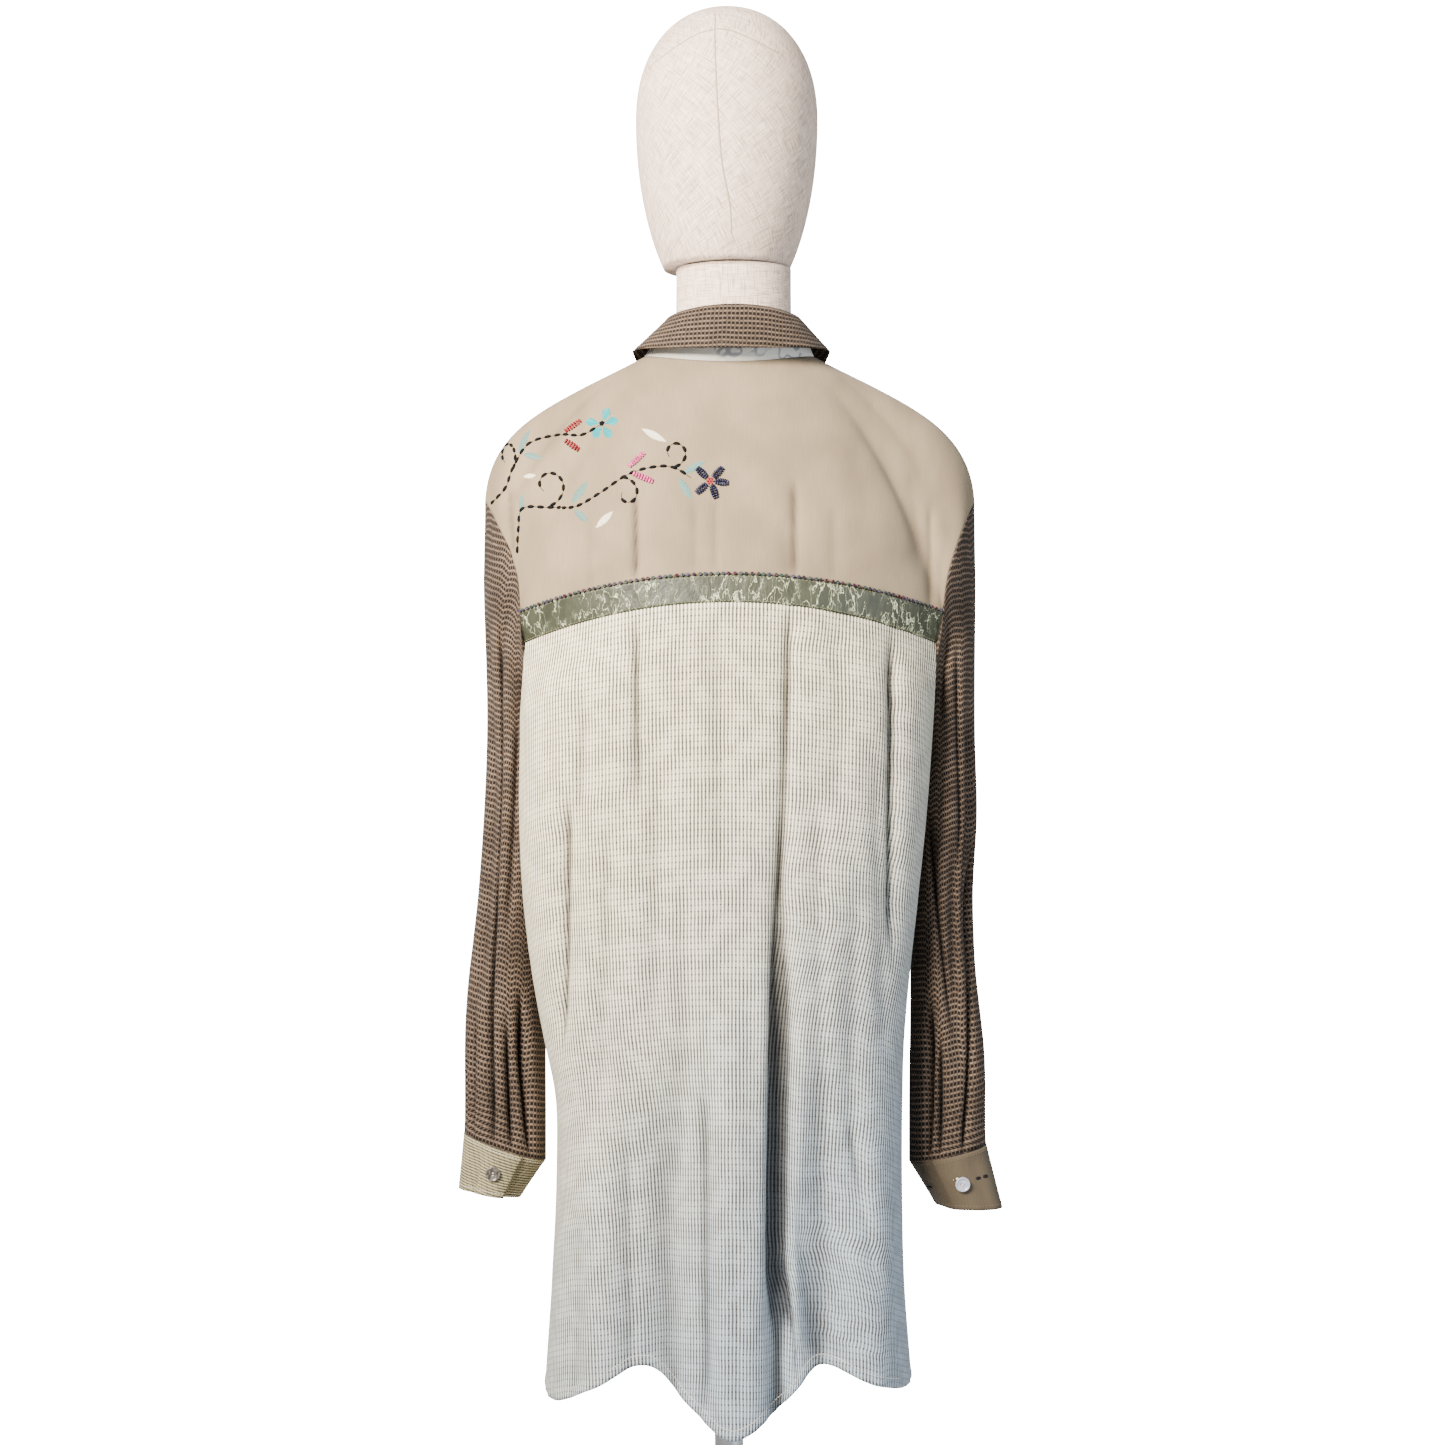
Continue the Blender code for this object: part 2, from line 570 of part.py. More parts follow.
def sleeve_grid(side, rows, creases, cuff_rows):
    """Sleeve from the armhole seam to the slanting cuff seam, as a closed ring of columns."""
    stations = (
        np.linspace(FRONT_YOKE_TURN, BAND_TOP_TURN, YOKE_SIDE_SEGMENTS + 1)[:-1],
        np.linspace(BAND_TOP_TURN, BAND_LOW_TURN, BAND_SEGMENTS + 1)[:-1],
        np.linspace(BAND_LOW_TURN, 0.5, UNDERARM_SEGMENTS + 1)[:-1],
        np.linspace(0.5, 1 + FRONT_YOKE_TURN, FRONT_ARMHOLE_SEGMENTS + 1)[:-1],
    )
    turn = np.concatenate(stations)
    angle = 2 * pi * turn
    top = armhole(side, turn)
    hanging = ease(np.abs((turn + 0.5) % 1.0 - 0.5) / ARMHOLE_TOP_REACH)
    top[:, 0] += side * hanging * TURNED_SEAM_GAP
    top[:, 2] -= (1 - hanging) * TURNED_SEAM_GAP
    data = table(SLEEVE_COLUMNS, rows)
    cuff = table(CUFF_COLUMNS, cuff_rows)
    foot_x = cuff["x"][0] + side * cuff["half_x"][0] * np.cos(angle)
    foot_y = cuff["y"][0] + cuff["half_y"][0] * np.sin(angle)
    foot_z = cuff["z"][0] + TURNED_SEAM_GAP + cuff["slant"][0] * (foot_x - cuff["x"][0])
    t = np.linspace(0.0, 1.0, SLEEVE_ROWS + 1)[:, None]
    z = top[:, 2] * (1 - t) + foot_z * t
    outer, inner, back, front = (through(data["z"], data[name], z) for name in SLEEVE_COLUMNS[1:])
    depth = (back - front) / 2
    x = side * ((outer + inner) / 2 + (outer - inner) / 2 * np.cos(angle))
    y = (back + front) / 2 + depth * np.sin(angle)
    grid = np.stack((x, y, z), axis=-1)
    grid += ring_outward(grid) * crease_depth(turn, z, creases)[..., None]
    near_top = ease(t / SLEEVE_BLEND)[..., None]
    near_foot = ease((t - SLEEVE_FOOT_START) / (SLEEVE_FOOT_END - SLEEVE_FOOT_START))[..., None]
    foot = np.stack((foot_x, foot_y, foot_z), axis=-1)
    grid[..., :2] = top[:, :2] * (1 - near_top) + grid[..., :2] * near_top
    grid[..., :2] = grid[..., :2] * (1 - near_foot) + foot[:, :2] * near_foot
    return grid


def ring_outward(grid):
    """Unit vectors away from the middle of each row of a closed ring."""
    away = grid - grid.mean(axis=1, keepdims=True)
    away[..., 2] = 0
    return away / np.linalg.norm(away, axis=-1, keepdims=True)


def crease_depth(turn, z, rows):
    """Depth of a sleeve's creases, negative towards its inside."""
    data = table(CREASE_COLUMNS, rows)
    depth = np.zeros(z.shape)
    for i in range(len(rows)):
        away = (turn - data["turn"][i] + 0.5) % 1.0 - 0.5
        high = ease((data["z_high"][i] - z) / CREASE_FADE)
        low = ease((z - data["z_low"][i]) / CREASE_FADE)
        depth -= data["depth"][i] * high * low * np.exp(-(away / data["width"][i]) ** 2)
    return depth


def cuff_grid(side, rows):
    """Cuff that runs once round the wrist and laps over its own start on the back."""
    data = table(CUFF_COLUMNS, rows)
    angle = np.linspace(CUFF_START, CUFF_END, CUFF_SEGMENTS + 1)
    lift = CUFF_LIFT * ease((angle - CUFF_LIFT_FROM) / (CUFF_LIFT_TO - CUFF_LIFT_FROM))
    t = np.linspace(0.0, 1.0, CUFF_ROWS + 1)[:, None]
    middle_z, middle_x, middle_y, half_x, half_y, slant = (
        data[name][0] * (1 - t) + data[name][1] * t for name in CUFF_COLUMNS)
    x = middle_x + side * (half_x + lift) * np.cos(angle)
    y = middle_y + (half_y + lift) * np.sin(angle)
    z = middle_z + slant * (x - middle_x)
    return np.stack((x, y, z), axis=-1)


def oval(angle, shift, half_width, back, front, heights):
    """Oval round the neck with its own heights at the back, side and front."""
    sine = np.sin(angle)
    x = shift + half_width * np.cos(angle)
    y = np.where(sine > 0, back, front) * sine
    back_z, side_z, front_z = heights
    z = np.where(sine > 0, side_z + (back_z - side_z) * sine ** 2,
                 side_z + (front_z - side_z) * sine ** 2)
    return np.stack((x, y, z), axis=-1)


def stand_angles():
    """Angles round the collar stand, on the ribs of the fronts and the yoke, left to right."""
    left = front_angles(FRONT_LEFT_EDGE)[::-1][:-1]
    right = pi - front_angles(FRONT_RIGHT_EDGE)[1:]
    return np.concatenate((left, yoke_angles(), right))


def fall_angles():
    """Angles round the collar fall, between its two front edges."""
    ends = FALL_OPENING - pi / 2, 3 * pi / 2 - FALL_OPENING
    inside = stand_angles()
    inside = inside[(inside > ends[0] + FALL_END_CLEARANCE) & (inside < ends[1] - FALL_END_CLEARANCE)]
    return np.concatenate((ends[:1], inside, ends[1:]))


def fold_oval(angle, grow, rise):
    """Oval of the collar's fold line, grown outwards and raised."""
    heights = (FOLD_BACK_Z + rise, FOLD_SIDE_Z + rise, FOLD_FRONT_Z + rise)
    return oval(angle, FOLD_SHIFT, FOLD_HALF_WIDTH + grow, FOLD_BACK + grow, FOLD_FRONT + grow,
                heights)


def collar_stand_grid():
    """Collar stand from the neck seam up to the fold."""
    angle = stand_angles()
    low = neck_seam(angle)
    low[:, 2] += COLLAR_SEAM_GAP
    top = fold_oval(angle, 0.0, 0.0)
    t = np.linspace(0.0, 1.0, STAND_ROWS + 1)[:, None, None]
    return low * (1 - t) + top * t


def collar_fall_grid():
    """Collar fall: over the top of the stand, then out and down to its free edge."""
    angle = fall_angles()
    rise = WALL + SEAM_GAP
    inner = fold_oval(angle, -WALL, rise)
    crest = fold_oval(angle, FOLD_CREST_OUT, rise + FOLD_CREST_UP)
    shoulder = fold_oval(angle, FOLD_SHOULDER_OUT, rise - FOLD_SHOULDER_DOWN)
    edge = oval(angle, FOLD_SHIFT / 2, FALL_HALF_WIDTH, FALL_BACK, FALL_FRONT,
                (FALL_BACK_Z, FALL_SIDE_Z, FALL_FRONT_Z))
    t = np.linspace(0.0, 1.0, FALL_ROWS + 1)[:, None, None]
    down = shoulder * (1 - t) + edge * t
    return np.concatenate((inner[None], crest[None], down))


def placket_grid():
    """Strip over both front edges: the fronts' surface at three places of its own, moved out."""
    columns = []
    for edge in (PLACKET_LEFT, (PLACKET_LEFT + PLACKET_RIGHT) / 2, PLACKET_RIGHT):
        upper, lower = front_grids(1, edge)
        columns.append(np.concatenate((upper[:, -1], lower[1:, -1])))
    grid = np.stack(columns, axis=1)
    return grid + normals(grid) * (WALL + SEAM_GAP)


def form_grid():
    """Dress form from the top of its neck, over the shoulders, to its flat underside."""
    angle = np.linspace(0.0, 2 * pi, FORM_SEGMENTS, endpoint=False)
    cosine, sine = np.cos(angle), np.sin(angle)
    depth = np.where(sine > 0, FORM_SHOULDER_BACK, FORM_SHOULDER_FRONT)
    square = 2 / FORM_SQUARENESS
    outer = np.stack((FORM_SHOULDER_HALF_WIDTH * cosine, depth * sine,
                      np.full_like(angle, FORM_SHOULDER_Z)), axis=-1)
    neck_foot = neck_seam(angle) * FORM_NECK_FOOT_SCALE
    neck_foot[:, 2] -= FORM_SHOULDER_DROP + FORM_ROUND_EASE * sine ** 2
    shoulder = ribs(neck_foot, outer, np.zeros(FORM_SEGMENTS), FORM_SHOULDER_ROWS, 0.0)
    neck = table(FORM_NECK_COLUMNS, FORM_NECK_ROWS)
    neck_rows = []
    for z, radius in zip(neck["z"][::-1], neck["radius"][::-1]):
        neck_rows.append(np.stack((FORM_NECK_X + radius * cosine, radius * sine,
                                   np.full_like(angle, z)), axis=-1))
    body = table(FORM_COLUMNS, FORM_ROWS)
    heights = np.linspace(body["z"][-1], body["z"][0], FORM_BODY_ROWS + 1)
    body_rows = []
    for z in heights:
        half_width, back, front = (through(body["z"], body[name], z) for name in FORM_COLUMNS[1:])
        x = half_width * np.sign(cosine) * np.abs(cosine) ** square
        y = np.where(sine > 0, back, front) * np.sign(sine) * np.abs(sine) ** square
        body_rows.append(np.stack((x, y, np.full_like(angle, z)), axis=-1))
    return np.concatenate((neck_rows, shoulder, body_rows))


def inset(grid, edges, distance=SEAM_GAP / 2):
    """Draw the named edges of a grid back along its surface, to leave half of each seam's gap."""
    result = grid.copy()
    edge_rows = {"top": (0, 1), "low": (-1, -2)}
    for name in edges:
        if name in edge_rows:
            here, inside = edge_rows[name]
            step = grid[inside] - grid[here]
            result[here] += step / np.linalg.norm(step, axis=-1, keepdims=True) * distance
        else:
            here, inside = (0, 1) if name == "first" else (-1, -2)
            step = grid[:, inside] - grid[:, here]
            result[:, here] += step / np.linalg.norm(step, axis=-1, keepdims=True) * distance
    return result


def grid_faces(rows, columns, start=0, closed=False, flip=False):
    """Four-cornered faces of a grid of points numbered row by row."""
    faces = []
    for row in range(rows - 1):
        for column in range(columns if closed else columns - 1):
            beside = (column + 1) % columns
            face = (start + row * columns + column, start + row * columns + beside,
                    start + (row + 1) * columns + beside, start + (row + 1) * columns + column)
            faces.append(face[::-1] if flip else face)
    return faces


def material(name, colour, roughness, metallic=0.0):
    """Material with a Principled BSDF."""
    result = bpy.data.materials.new(name)
    result.use_nodes = True
    shader = result.node_tree.nodes["Principled BSDF"]
    shader.inputs["Base Color"].default_value = (*colour, 1.0)
    shader.inputs["Roughness"].default_value = roughness
    shader.inputs["Metallic"].default_value = metallic
    return result


def add_mesh(name, points, faces, look, collection):
    """New object from points and faces, shaded smooth and with its material."""
    mesh = bpy.data.meshes.new(name)
    mesh.from_pydata([tuple(point) for point in points], [], faces)
    mesh.materials.append(look)
    mesh.shade_smooth()
    made = bpy.data.objects.new(name, mesh)
    collection.objects.link(made)
    return made


def add_wall(made, thickness=WALL):
    """Solidify an open surface on its inner side."""
    wall = made.modifiers.new("Wall", "SOLIDIFY")
    wall.thickness = thickness
    wall.offset = -1.0
    return made


def add_cloth(name, grid, look, collection, closed=False, flip=False):
    """Cloth piece from one grid of points."""
    rows, columns = grid.shape[:2]
    faces = grid_faces(rows, columns, closed=closed, flip=flip)
    return add_wall(add_mesh(name, grid.reshape(-1, 3), faces, look, collection))


def add_front(name, upper, lower, look, collection, flip):
    """Front panel from its upper and lower grids, joined along the chest line."""
    rows, columns = upper.shape[:2]
    low_rows, low_columns = lower.shape[:2]
    points = np.concatenate((upper.reshape(-1, 3), lower[1:].reshape(-1, 3)))
    faces = grid_faces(rows, columns, flip=flip)
    chest_start = rows * columns - low_columns
    faces += grid_faces(low_rows, low_columns, start=chest_start, flip=flip)
    return add_wall(add_mesh(name, points, faces, look, collection))


def add_button(name, middle, facing, radius, look, collection):
    """Flat round button whose back lies just off the cloth."""
    shape = bmesh.new()
    bmesh.ops.create_cone(shape, cap_ends=True, segments=BUTTON_SIDES, radius1=radius,
                          radius2=radius * BUTTON_TAPER, depth=BUTTON_THICKNESS)
    mesh = bpy.data.meshes.new(name)
    shape.to_mesh(mesh)
    shape.free()
    mesh.materials.append(look)
    made = bpy.data.objects.new(name, mesh)
    collection.objects.link(made)
    facing = Vector(facing).normalized()
    place = Vector(middle) + facing * (BUTTON_LIFT + BUTTON_THICKNESS / 2)
    made.matrix_world = Matrix.Translation(place) @ facing.to_track_quat("Z", "Y").to_matrix().to_4x4()
    return made


def add_front_buttons(placket, look, collection):
    """Buttons down the middle of the placket, each square to the cloth under it."""
    facing = normals(placket)[:, 1]
    line = placket[:, 1]
    order = np.argsort(line[:, 2])
    for number, height in enumerate(BUTTON_HEIGHTS, start=1):
        middle = [np.interp(height, line[order, 2], line[order, i]) for i in range(3)]
        normal = [np.interp(height, line[order, 2], facing[order, i]) for i in range(3)]
        add_button(f"button_front_{number}", middle, normal, BUTTON_RADIUS, look, collection)


def add_cuff_button(name, side, rows, look, collection):
    """Button on the lap of a cuff."""
    data = table(CUFF_COLUMNS, rows)
    middle = {key: data[key].mean() for key in CUFF_COLUMNS}
    reach = np.array((side * (middle["half_x"] + CUFF_LIFT) * np.cos(CUFF_BUTTON_ANGLE),
                      (middle["half_y"] + CUFF_LIFT) * np.sin(CUFF_BUTTON_ANGLE)))
    point = (middle["x"] + reach[0], middle["y"] + reach[1], middle["z"])
    taper = (data["half_y"][0] - data["half_y"][1]) / (data["z"][0] - data["z"][1])
    facing = (side * np.cos(CUFF_BUTTON_ANGLE), np.sin(CUFF_BUTTON_ANGLE), -taper)
    add_button(name, point, facing, CUFF_BUTTON_RADIUS, look, collection)


def add_form(look, collection):
    """Solid dress form with a flat top to its neck and a flat underside."""
    grid = form_grid()
    rows, columns = grid.shape[:2]
    points = grid.reshape(-1, 3)
    faces = grid_faces(rows, columns, closed=True, flip=True)
    faces.append(tuple(range(columns)))
    faces.append(tuple(range((rows - 1) * columns, rows * columns))[::-1])
    return add_mesh("form_torso", points, faces, look, collection)


def add_head(look, collection):
    """Egg-shaped head: a profile turned once, then made deeper from front to back."""
    foot = np.array([[0.0, HEAD_FOOT_Z], [HEAD_FOOT_RADIUS, HEAD_FOOT_Z]])
    split = np.linspace(HEAD_FOOT_LEVEL, 1.0, HEAD_ROWS + 1)
    below = split < 0
    reach = np.where(below, HEAD_LOWER_REACH, HEAD_TOP_Z - HEAD_MIDDLE_Z)
    square = np.where(below, 2.0, HEAD_TOP_SQUARENESS)
    level = np.sin(split * pi / 2)
    level = np.where(below, split, level)
    radius = HEAD_RADIUS * (1 - np.abs(level) ** square) ** (1 / square)
    profile = np.concatenate((foot, np.stack((radius, HEAD_MIDDLE_Z + level * reach), axis=-1)))
    points = [(x, 0.0, z) for x, z in profile[::-1]]
    edges = [(i, i + 1) for i in range(len(points) - 1)]
    mesh = bpy.data.meshes.new("form_head")
    mesh.from_pydata(points, edges, [])
    mesh.materials.append(look)
    made = bpy.data.objects.new("form_head", mesh)
    collection.objects.link(made)
    turn = made.modifiers.new("Turn", "SCREW")
    turn.steps = HEAD_SEGMENTS
    turn.render_steps = HEAD_SEGMENTS
    turn.use_merge_vertices = True
    turn.merge_threshold = MERGE_DISTANCE
    turn.use_smooth_shade = True
    made.scale = (1.0, HEAD_DEPTH_SCALE, 1.0)
    made.location = (HEAD_X, HEAD_Y, 0.0)
    return made


def add_turned(name, profile, look, collection):
    """Turned piece from a profile that runs down its outer side."""
    mesh = bpy.data.meshes.new(name)
    points = [(x, 0.0, z) for x, z in profile]
    mesh.from_pydata(points, [(i, i + 1) for i in range(len(points) - 1)], [])
    mesh.materials.append(look)
    made = bpy.data.objects.new(name, mesh)
    collection.objects.link(made)
    turn = made.modifiers.new("Turn", "SCREW")
    turn.steps = STAND_SIDES
    turn.render_steps = STAND_SIDES
    turn.use_merge_vertices = True
    turn.merge_threshold = MERGE_DISTANCE
    return made


def add_stand(look, collection):
    """Round base with a hub, and the pole that carries the form."""
    hub_top = BASE_HEIGHT + HUB_HEIGHT
    base = ((0.0, hub_top),
            (POLE_RADIUS + EDGE_CHAMFER, hub_top),
            (HUB_RADIUS, BASE_HEIGHT + EDGE_CHAMFER),
            (BASE_RADIUS - EDGE_CHAMFER, BASE_HEIGHT),
            (BASE_RADIUS, BASE_HEIGHT - EDGE_CHAMFER),
            (BASE_RADIUS, 0.0),
            (0.0, 0.0))
    add_turned("stand_base", base, look, collection)
    pole_low = hub_top + SEAM_GAP
    pole_top = FORM_ROWS[0][0] - SEAM_GAP
    pole = ((0.0, pole_top), (POLE_RADIUS, pole_top), (POLE_RADIUS, pole_low), (0.0, pole_low))
    add_turned("stand_pole", pole, look, collection)


def add_body(looks, collection):
    """Yoke, band, back panel, fronts, placket and front buttons."""
    add_cloth("back_yoke", inset(yoke_grid(), ("top", "low", "first", "last"), BAND_INSET),
              looks["taupe"], collection, flip=True)
    add_cloth("yoke_band", inset(band_grid(), ("top", "low", "first", "last"), BAND_INSET),
              looks["moss"], collection, flip=True)
    add_cloth("back_panel", inset(back_panel_grid(), ("top", "first", "last")), looks["cream"],
              collection, flip=True)
    placket = inset(placket_grid(), ("top",), PLACKET_TOP_DROP)
    add_cloth("front_placket", placket, looks["cream"], collection)
    add_front_buttons(placket, looks["shell"], collection)
    add_fronts(looks, collection)


def add_fronts(looks, collection):
    """Left and right fronts, drawn back along their side, armhole and yoke seams."""
    for name, side, edge in (("front_left", 1, FRONT_LEFT_EDGE), ("front_right", -1, FRONT_RIGHT_EDGE)):
        upper, lower = front_grids(side, edge)
        upper = inset(inset(upper, ("top",), TURNED_SEAM_GAP / 2), ("first",), YOKE_SEAM_INSET)
        armhole_part = slice(0, FRONT_ARMHOLE_SEGMENTS)
        step = upper[-2, armhole_part] - upper[-1, armhole_part]
        step /= np.linalg.norm(step, axis=-1, keepdims=True)
        upper[-1, armhole_part] += step * SEAM_GAP / 2
        lower = inset(lower, ("first",), TURNED_SEAM_GAP / 2)
        upper[-1, FRONT_ARMHOLE_SEGMENTS:] = lower[0]
        add_front(name, upper, lower, looks["cream"], collection, flip=side < 0)


def main():
    """Build the blouse, the form and the stand."""
    for old in list(bpy.data.objects):
        bpy.data.objects.remove(old, do_unlink=True)
    collection = bpy.data.collections.new("embroidered_blouse")
    bpy.context.scene.collection.children.link(collection)
    looks = {
        "taupe": material("taupe_crepe", TAUPE, 0.85),
        "moss": material("moss_ribbon", MOSS, 0.45),
        "cream": material("cream_check", CREAM, 0.85),
        "brown": material("brown_check", BROWN_CHECK, 0.80),
        "linen": material("linen", LINEN, 0.90),
        "horn": material("horn_button", HORN, 0.35),
        "shell": material("shell_button", SHELL, 0.25),
        "steel": material("brushed_steel", STEEL, 0.40, 1.0),
    }
    add_body(looks, collection)
    for side, name, rows, creases, cuff, cuff_look, button_look in (
            (1, "left", SLEEVE_LEFT_ROWS, CREASE_LEFT_ROWS, CUFF_LEFT_ROWS, "cream", "horn"),
            (-1, "right", SLEEVE_RIGHT_ROWS, CREASE_RIGHT_ROWS, CUFF_RIGHT_ROWS, "taupe", "shell")):
        sleeve = sleeve_grid(side, rows, creases, cuff)
        add_cloth(f"sleeve_{name}", sleeve, looks["brown"], collection, closed=True, flip=side > 0)
        add_cloth(f"cuff_{name}", cuff_grid(side, cuff), looks[cuff_look], collection, flip=side > 0)
        add_cuff_button(f"button_cuff_{name}", side, cuff, looks[button_look], collection)
    add_cloth("collar_stand", collar_stand_grid(), looks["cream"], collection)
    add_cloth("collar_fall", collar_fall_grid(), looks["brown"], collection, flip=True)
    add_form(looks["linen"], collection)
    add_head(looks["linen"], collection)
    add_stand(looks["steel"], collection)


main()
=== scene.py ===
"""Looks of the long-sleeved embroidered blouse on its linen dress form.

The cloth is laid on the same surfaces as the solids, at a finer pitch and with its creases, hems,
sewing, beads and embroidery. Metres, +Z up; the wearer faces -Y and the wearer's left is +X.
"""
from math import pi, radians

import bmesh
import bpy
import numpy as np
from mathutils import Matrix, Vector


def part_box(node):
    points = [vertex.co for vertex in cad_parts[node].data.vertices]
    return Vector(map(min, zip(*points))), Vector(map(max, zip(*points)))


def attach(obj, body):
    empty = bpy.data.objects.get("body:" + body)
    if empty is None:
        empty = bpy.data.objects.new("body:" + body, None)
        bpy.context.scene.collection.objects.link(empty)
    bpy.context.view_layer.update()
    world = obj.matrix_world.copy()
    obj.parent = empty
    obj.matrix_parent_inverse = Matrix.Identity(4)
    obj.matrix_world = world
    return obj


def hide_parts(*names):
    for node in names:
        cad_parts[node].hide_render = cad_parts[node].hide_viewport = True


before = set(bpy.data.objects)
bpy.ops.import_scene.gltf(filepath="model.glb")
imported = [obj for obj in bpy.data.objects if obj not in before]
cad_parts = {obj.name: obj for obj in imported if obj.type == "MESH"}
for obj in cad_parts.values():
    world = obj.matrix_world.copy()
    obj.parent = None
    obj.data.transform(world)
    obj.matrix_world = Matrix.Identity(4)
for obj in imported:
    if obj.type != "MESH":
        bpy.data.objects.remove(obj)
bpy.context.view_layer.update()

bl_info = {
    "name": "Embroidered Blouse",
    "version": (1, 0, 0),
    "blender": (4, 5, 0),
    "location": "View3D > Sidebar > Blouse",
    "description": "Dresses the blouse, its form and its stand",
    "category": "Object",
}

# Neck seam: an oval, higher at the sides of the neck than at centre back
NECK_HALF_WIDTH = 0.074
NECK_BACK = 0.056
NECK_FRONT = 0.08
NECK_SIDE_Z = 1.396
NECK_BACK_Z = 1.386
NECK_FRONT_Z = 1.345
NECK_FRONT_YOKE = radians(-28)
NECK_BAND_END = radians(40)

# Ribs of the surface, from the neck seam over the shoulders
RIB_NEAR = 0.45
RIB_FAR = 0.97
RIB_FAR_AT_ARMHOLE = 0.86
RIB_DROP = 0.031
RIB_LIFT = 0.075
RIB_LIFT_AT_ARMHOLE = 0.045
RIB_NEAR_PULL = 0.5
CHEST_HALF_WIDTH = 0.186
CHEST_BACK = 0.122
CHEST_FRONT = 0.125
CHEST_SQUARENESS = 2.5
ARMHOLE_BACK_TURN = 0.25
ARMHOLE_BACK_REACH = 0.11

# Armhole seam, by turn from the shoulder (0) over the back (0.25) to the underarm (0.5)
ARMHOLE_COLUMNS = ("turn", "x_left", "x_right", "y", "z")
ARMHOLE_ROWS = (
    (0.0, 0.2125, 0.2136, -0.004, 1.2715),
    (0.125, 0.2, 0.203, 0.038, 1.252),
    (0.25, 0.18, 0.186, 0.06, 1.205),
    (0.375, 0.1755, 0.1775, 0.05, 1.15),
    (0.5, 0.163, 0.163, 0.0, 1.124),
    (0.625, 0.166, 0.166, -0.048, 1.148),
    (0.75, 0.178, 0.178, -0.066, 1.195),
    (0.875, 0.199, 0.199, -0.048, 1.248),
)
BAND_TOP_TURN = 0.32
BAND_LOW_TURN = 0.385
FRONT_YOKE_TURN = -0.1

# Band across the back and the chest line across the front, where each crosses the middle
BAND_TOP_MIDDLE = (0.125, 1.2005)
BAND_LOW_MIDDLE = (0.1265, 1.1782)
CHEST_MIDDLE = (-0.129, 1.14)
BAND_ROUNDNESS = 2.6
PLACE_BEND = 1.3
BAND_END_REACH = 0.07

# Body below the band: half widths at the back's corners and the side seams, and depths
BODY_COLUMNS = ("z", "corner_left", "corner_right", "side_left", "side_right", "back", "front")
BODY_ROWS = (
    (0.47, 0.16, 0.159, 0.157, 0.156, 0.123, 0.12),
    (0.525, 0.158, 0.1565, 0.156, 0.1545, 0.122, 0.12),
    (0.6, 0.153, 0.1505, 0.1515, 0.149, 0.12, 0.119),
    (0.768, 0.1515, 0.15, 0.149, 0.1475, 0.121, 0.12),
    (0.807, 0.16, 0.1515, 0.149, 0.1475, 0.122, 0.121),
    (0.86, 0.17, 0.156, 0.149, 0.1475, 0.1235, 0.1225),
    (0.928, 0.1785, 0.1635, 0.15, 0.148, 0.125, 0.125),
    (1.013, 0.182, 0.172, 0.151, 0.15, 0.127, 0.128),
    (1.064, 0.1812, 0.1757, 0.15, 0.15, 0.128, 0.13),
    (1.13, 0.1812, 0.1795, 0.154, 0.154, 0.1275, 0.13),
    (1.18, 0.1812, 0.1812, 0.16, 0.16, 0.1265, 0.129),
)
BACK_SQUARENESS = 3.2
FRONT_SQUARENESS = 2.3
SECTION_WIDTH_TO_DEPTH = 1.35
PINCH_START = 0.8
TOP_BLEND = 0.1

# Hem outline of the back, by place across the back from the left side seam (0) to the right (1)
HEM_COLUMNS = ("across", "z")
HEM_ROWS = (
    (0.0, 0.526),
    (0.08, 0.513),
    (0.17, 0.509),
    (0.26, 0.526),
    (0.35, 0.545),
    (0.43, 0.512),
    (0.5, 0.4895),
    (0.58, 0.508),
    (0.67, 0.544),
    (0.76, 0.528),
    (0.84, 0.519),
    (0.93, 0.521),
    (1.0, 0.53),
)
FRONT_HEM_MIDDLE_Z = 0.518

# Flutes of the back panel, as in the solids: x at the top and low down, the height it starts at,
# depth and width
FLUTE_ROWS = (
    (0.07, 0.0515, 0.82, -0.016, 0.02),
    (0.005, -0.006, 0.9, 0.016, 0.026),
    (-0.048, -0.04, 0.96, -0.012, 0.01),
    (-0.076, -0.079, 0.84, -0.014, 0.018),
    (0.115, 0.112, 0.8, 0.01, 0.022),
    (-0.122, -0.118, 0.8, 0.01, 0.02),
)
FLUTE_FADE = 0.16
FLUTE_TOP_Z = 1.15
FLUTE_FALL = 0.65

# Sleeves: x of the outer and inner sides, y of the back and front, down to the cuff seam
SLEEVE_COLUMNS = ("z", "outer_left", "inner_left", "outer_right", "inner_right", "back", "front")
SLEEVE_ROWS = (
    (0.7, 0.23, 0.159, 0.224, 0.157, 0.028, -0.034),
    (0.745, 0.233, 0.16, 0.22, 0.1575, 0.031, -0.044),
    (0.8, 0.23, 0.16, 0.217, 0.158, 0.033, -0.05),
    (0.86, 0.2265, 0.16, 0.215, 0.1585, 0.034, -0.054),
    (0.93, 0.219, 0.1605, 0.213, 0.1585, 0.036, -0.056),
    (1.0, 0.214, 0.161, 0.2165, 0.159, 0.036, -0.058),
    (1.064, 0.2115, 0.162, 0.215, 0.161, 0.035, -0.06),
    (1.2, 0.214, 0.166, 0.215, 0.166, 0.046, -0.066),
)
SLEEVE_BLEND = 0.14
SLEEVE_FOOT_START = 0.7
SLEEVE_FOOT_END = 0.92

